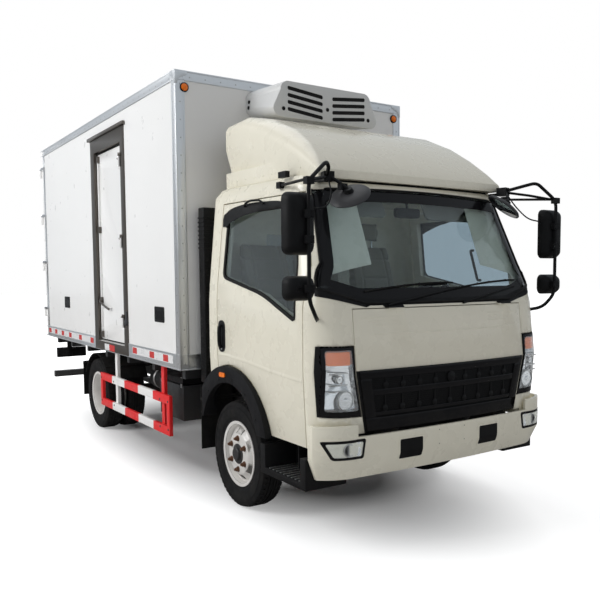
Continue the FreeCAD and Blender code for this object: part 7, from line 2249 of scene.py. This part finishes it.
class TRUCK_OT_stage(bpy.types.Operator):
    """Set the pale floor, soft studio lamps and the camera at the photograph's angle"""
    bl_idname = "truck.stage"
    bl_label = "Set the stage"

    def execute(self, context):
        scene = context.scene
        floor_shape = bmesh.new()
        bmesh.ops.create_grid(floor_shape, x_segments=1, y_segments=1, size=60)
        floor = bpy.data.objects.new("floor", mesh_from("floor", floor_shape))
        scene.collection.objects.link(floor)
        sheet = NodeSheet("floor_pale")
        path = sheet.tree.nodes.new("ShaderNodeLightPath")
        seen = sheet.calculate("MAXIMUM", path.outputs["Is Camera Ray"], path.outputs["Is Transmission Ray"])
        length = sheet.add("ShaderNodeVectorMath", Vector=sheet.place)
        length.operation = "LENGTH"
        far = sheet.span(length.outputs["Value"], 4.5, 9.0, 0.0, 1.0)
        # Painted shade: the floor's glow fades out over the truck's footprint, so the floor turns darker under and
        # round the truck, where the real shadow also falls.
        footprint = sheet.add("ShaderNodeVectorMath", Vector=sheet.place)
        footprint.operation = "MULTIPLY"
        footprint.inputs[1].default_value = (0.95, 0.34, 0.0)
        reach = sheet.add("ShaderNodeVectorMath", Vector=footprint.outputs["Vector"])
        reach.operation = "LENGTH"
        beside = sheet.span(reach.outputs["Value"], 0.7, 1.25, 0.0, 0.62)
        pale = sheet.mix(sheet.noise(0.5), (0.72, 0.72, 0.72), (0.75, 0.75, 0.75))
        # Painted reflection: glossy rays see the floor as dark grey, so glass and paint reflect a dark ground below
        # the horizon.
        pale = sheet.mix(path.outputs["Is Glossy Ray"], pale, (0.30, 0.29, 0.28))
        sheet.set(Base_Color=pale, Roughness=0.9, Emission_Color=(1, 1, 1),
                  Emission_Strength=sheet.calculate("MULTIPLY", seen,
                                                    sheet.calculate("MAXIMUM", far, beside)))
        floor.data.materials.append(finishes["floor_pale"])

        world = bpy.data.worlds.new("studio")
        scene.world = world
        world.use_nodes = True
        tree = world.node_tree
        light = tree.nodes["Background"]
        light.inputs["Color"].default_value = (0.95, 0.97, 1.0, 1)
        light.inputs["Strength"].default_value = 0.34
        shown = tree.nodes.new("ShaderNodeBackground")
        shown.inputs["Color"].default_value = (1, 1, 1, 1)
        path = tree.nodes.new("ShaderNodeLightPath")
        mix = tree.nodes.new("ShaderNodeMixShader")
        sky = tree.nodes.new("ShaderNodeBackground")
        sky.inputs["Color"].default_value = (0.86, 0.93, 1.0, 1)
        sky.inputs["Strength"].default_value = 0.6
        glossy = tree.nodes.new("ShaderNodeMixShader")
        tree.links.new(path.outputs["Is Glossy Ray"], glossy.inputs[0])
        tree.links.new(light.outputs[0], glossy.inputs[1])
        tree.links.new(sky.outputs[0], glossy.inputs[2])
        tree.links.new(path.outputs["Is Camera Ray"], mix.inputs[0])
        tree.links.new(glossy.outputs[0], mix.inputs[1])
        tree.links.new(shown.outputs[0], mix.inputs[2])
        tree.links.new(mix.outputs[0], tree.nodes["World Output"].inputs["Surface"])

        for label, place, aim, energy, width in (
                ("key", (-9.5, 1.5, 6.5), (-1.0, 0.0, 1.2), 640, 5.0),
                ("front", (-2.5, -11.0, 4.5), (0.0, -2.5, 1.3), 55, 5.0),
                ("far_side", (9.5, 0.0, 5.0), (0.5, 0.0, 1.2), 300, 5.0),
                ("back", (1.0, 11.0, 5.0), (0.0, 2.0, 1.4), 300, 5.0),
                ("top", (0.0, 1.0, 10.0), (0.0, 0.5, 0.0), 160, 7.0)):
            lamp = bpy.data.lights.new(label, "AREA")
            lamp.energy = energy
            lamp.size = width
            holder = bpy.data.objects.new(label, lamp)
            scene.collection.objects.link(holder)
            holder.visible_glossy = label not in ("front", "far_side")
            holder.location = place
            holder.rotation_euler = (Vector(aim) - Vector(place)).to_track_quat("-Z", "Y").to_euler()

        camera = bpy.data.cameras.new("photo_camera")
        camera.sensor_width = 36
        camera.lens = 42.73
        camera.shift_x = -0.0311
        camera.shift_y = 0.0479
        camera.clip_end = 200
        holder = bpy.data.objects.new("photo_camera", camera)
        scene.collection.objects.link(holder)
        turn, rise, roll = math.radians(-33.99), math.radians(4.29), math.radians(-0.32)
        back = Vector((math.sin(turn) * math.cos(rise), -math.cos(turn) * math.cos(rise), math.sin(rise)))
        right = Vector((0, 0, 1)).cross(back).normalized()
        up = back.cross(right)
        level_right = math.cos(roll) * right + math.sin(roll) * up
        level_up = math.cos(roll) * up - math.sin(roll) * right
        axes = Matrix((level_right, level_up, back)).transposed().to_4x4()
        holder.matrix_world = Matrix.Translation((-3.2336, -6.2617, 1.6437)) @ axes
        scene.camera = holder
        scene.view_settings.view_transform = "Standard"
        return {"FINISHED"}


# Sidebar and registration

class TRUCK_PT_dressing(bpy.types.Panel):
    """Shows the truck's colours, sizes and dressing steps in the sidebar"""
    bl_idname = "TRUCK_PT_dressing"
    bl_label = "Refrigerated Truck"
    bl_space_type = "VIEW_3D"
    bl_region_type = "UI"
    bl_category = "Truck"

    def draw(self, context):
        for group in (colours(), sizes()):
            for key in group.__annotations__:
                self.layout.prop(group, key)
        for operator in OPERATORS:
            self.layout.operator(operator.bl_idname)


OPERATORS = (
    TRUCK_OT_finishes,
    TRUCK_OT_box_rails,
    TRUCK_OT_box_marks,
    TRUCK_OT_side_door_set,
    TRUCK_OT_rear_door_set,
    TRUCK_OT_box_lamps,
    TRUCK_OT_load_space,
    TRUCK_OT_cab_skin,
    TRUCK_OT_windscreen,
    TRUCK_OT_wiper_set,
    TRUCK_OT_grille_set,
    TRUCK_OT_headlamp_set,
    TRUCK_OT_bumper_set,
    TRUCK_OT_cab_seams,
    TRUCK_OT_door_trim,
    TRUCK_OT_flare_trim,
    TRUCK_OT_fairing_trim,
    TRUCK_OT_unit_front,
    TRUCK_OT_intake_ribs,
    TRUCK_OT_mirror_set,
    TRUCK_OT_tyres,
    TRUCK_OT_wheel_discs,
    TRUCK_OT_seat_covers,
    TRUCK_OT_dash_details,
    TRUCK_OT_steering_rim,
    TRUCK_OT_cab_lining,
    TRUCK_OT_guard_set,
    TRUCK_OT_rear_lamp_set,
    TRUCK_OT_tank_set,
    TRUCK_OT_stage,
)
CLASSES = (TruckColours, TruckSizes, *OPERATORS, TRUCK_PT_dressing)


def register():
    for item in CLASSES:
        bpy.utils.register_class(item)
    bpy.types.Scene.truck_colours = PointerProperty(type=TruckColours)
    bpy.types.Scene.truck_sizes = PointerProperty(type=TruckSizes)


def unregister():
    del bpy.types.Scene.truck_sizes
    del bpy.types.Scene.truck_colours
    for item in reversed(CLASSES):
        bpy.utils.unregister_class(item)


def main():
    register()
    for operator in OPERATORS:
        group, name = operator.bl_idname.split(".")
        getattr(getattr(bpy.ops, group), name)()
    bpy.context.view_layer.update()


if __name__ == "__main__":
    main()
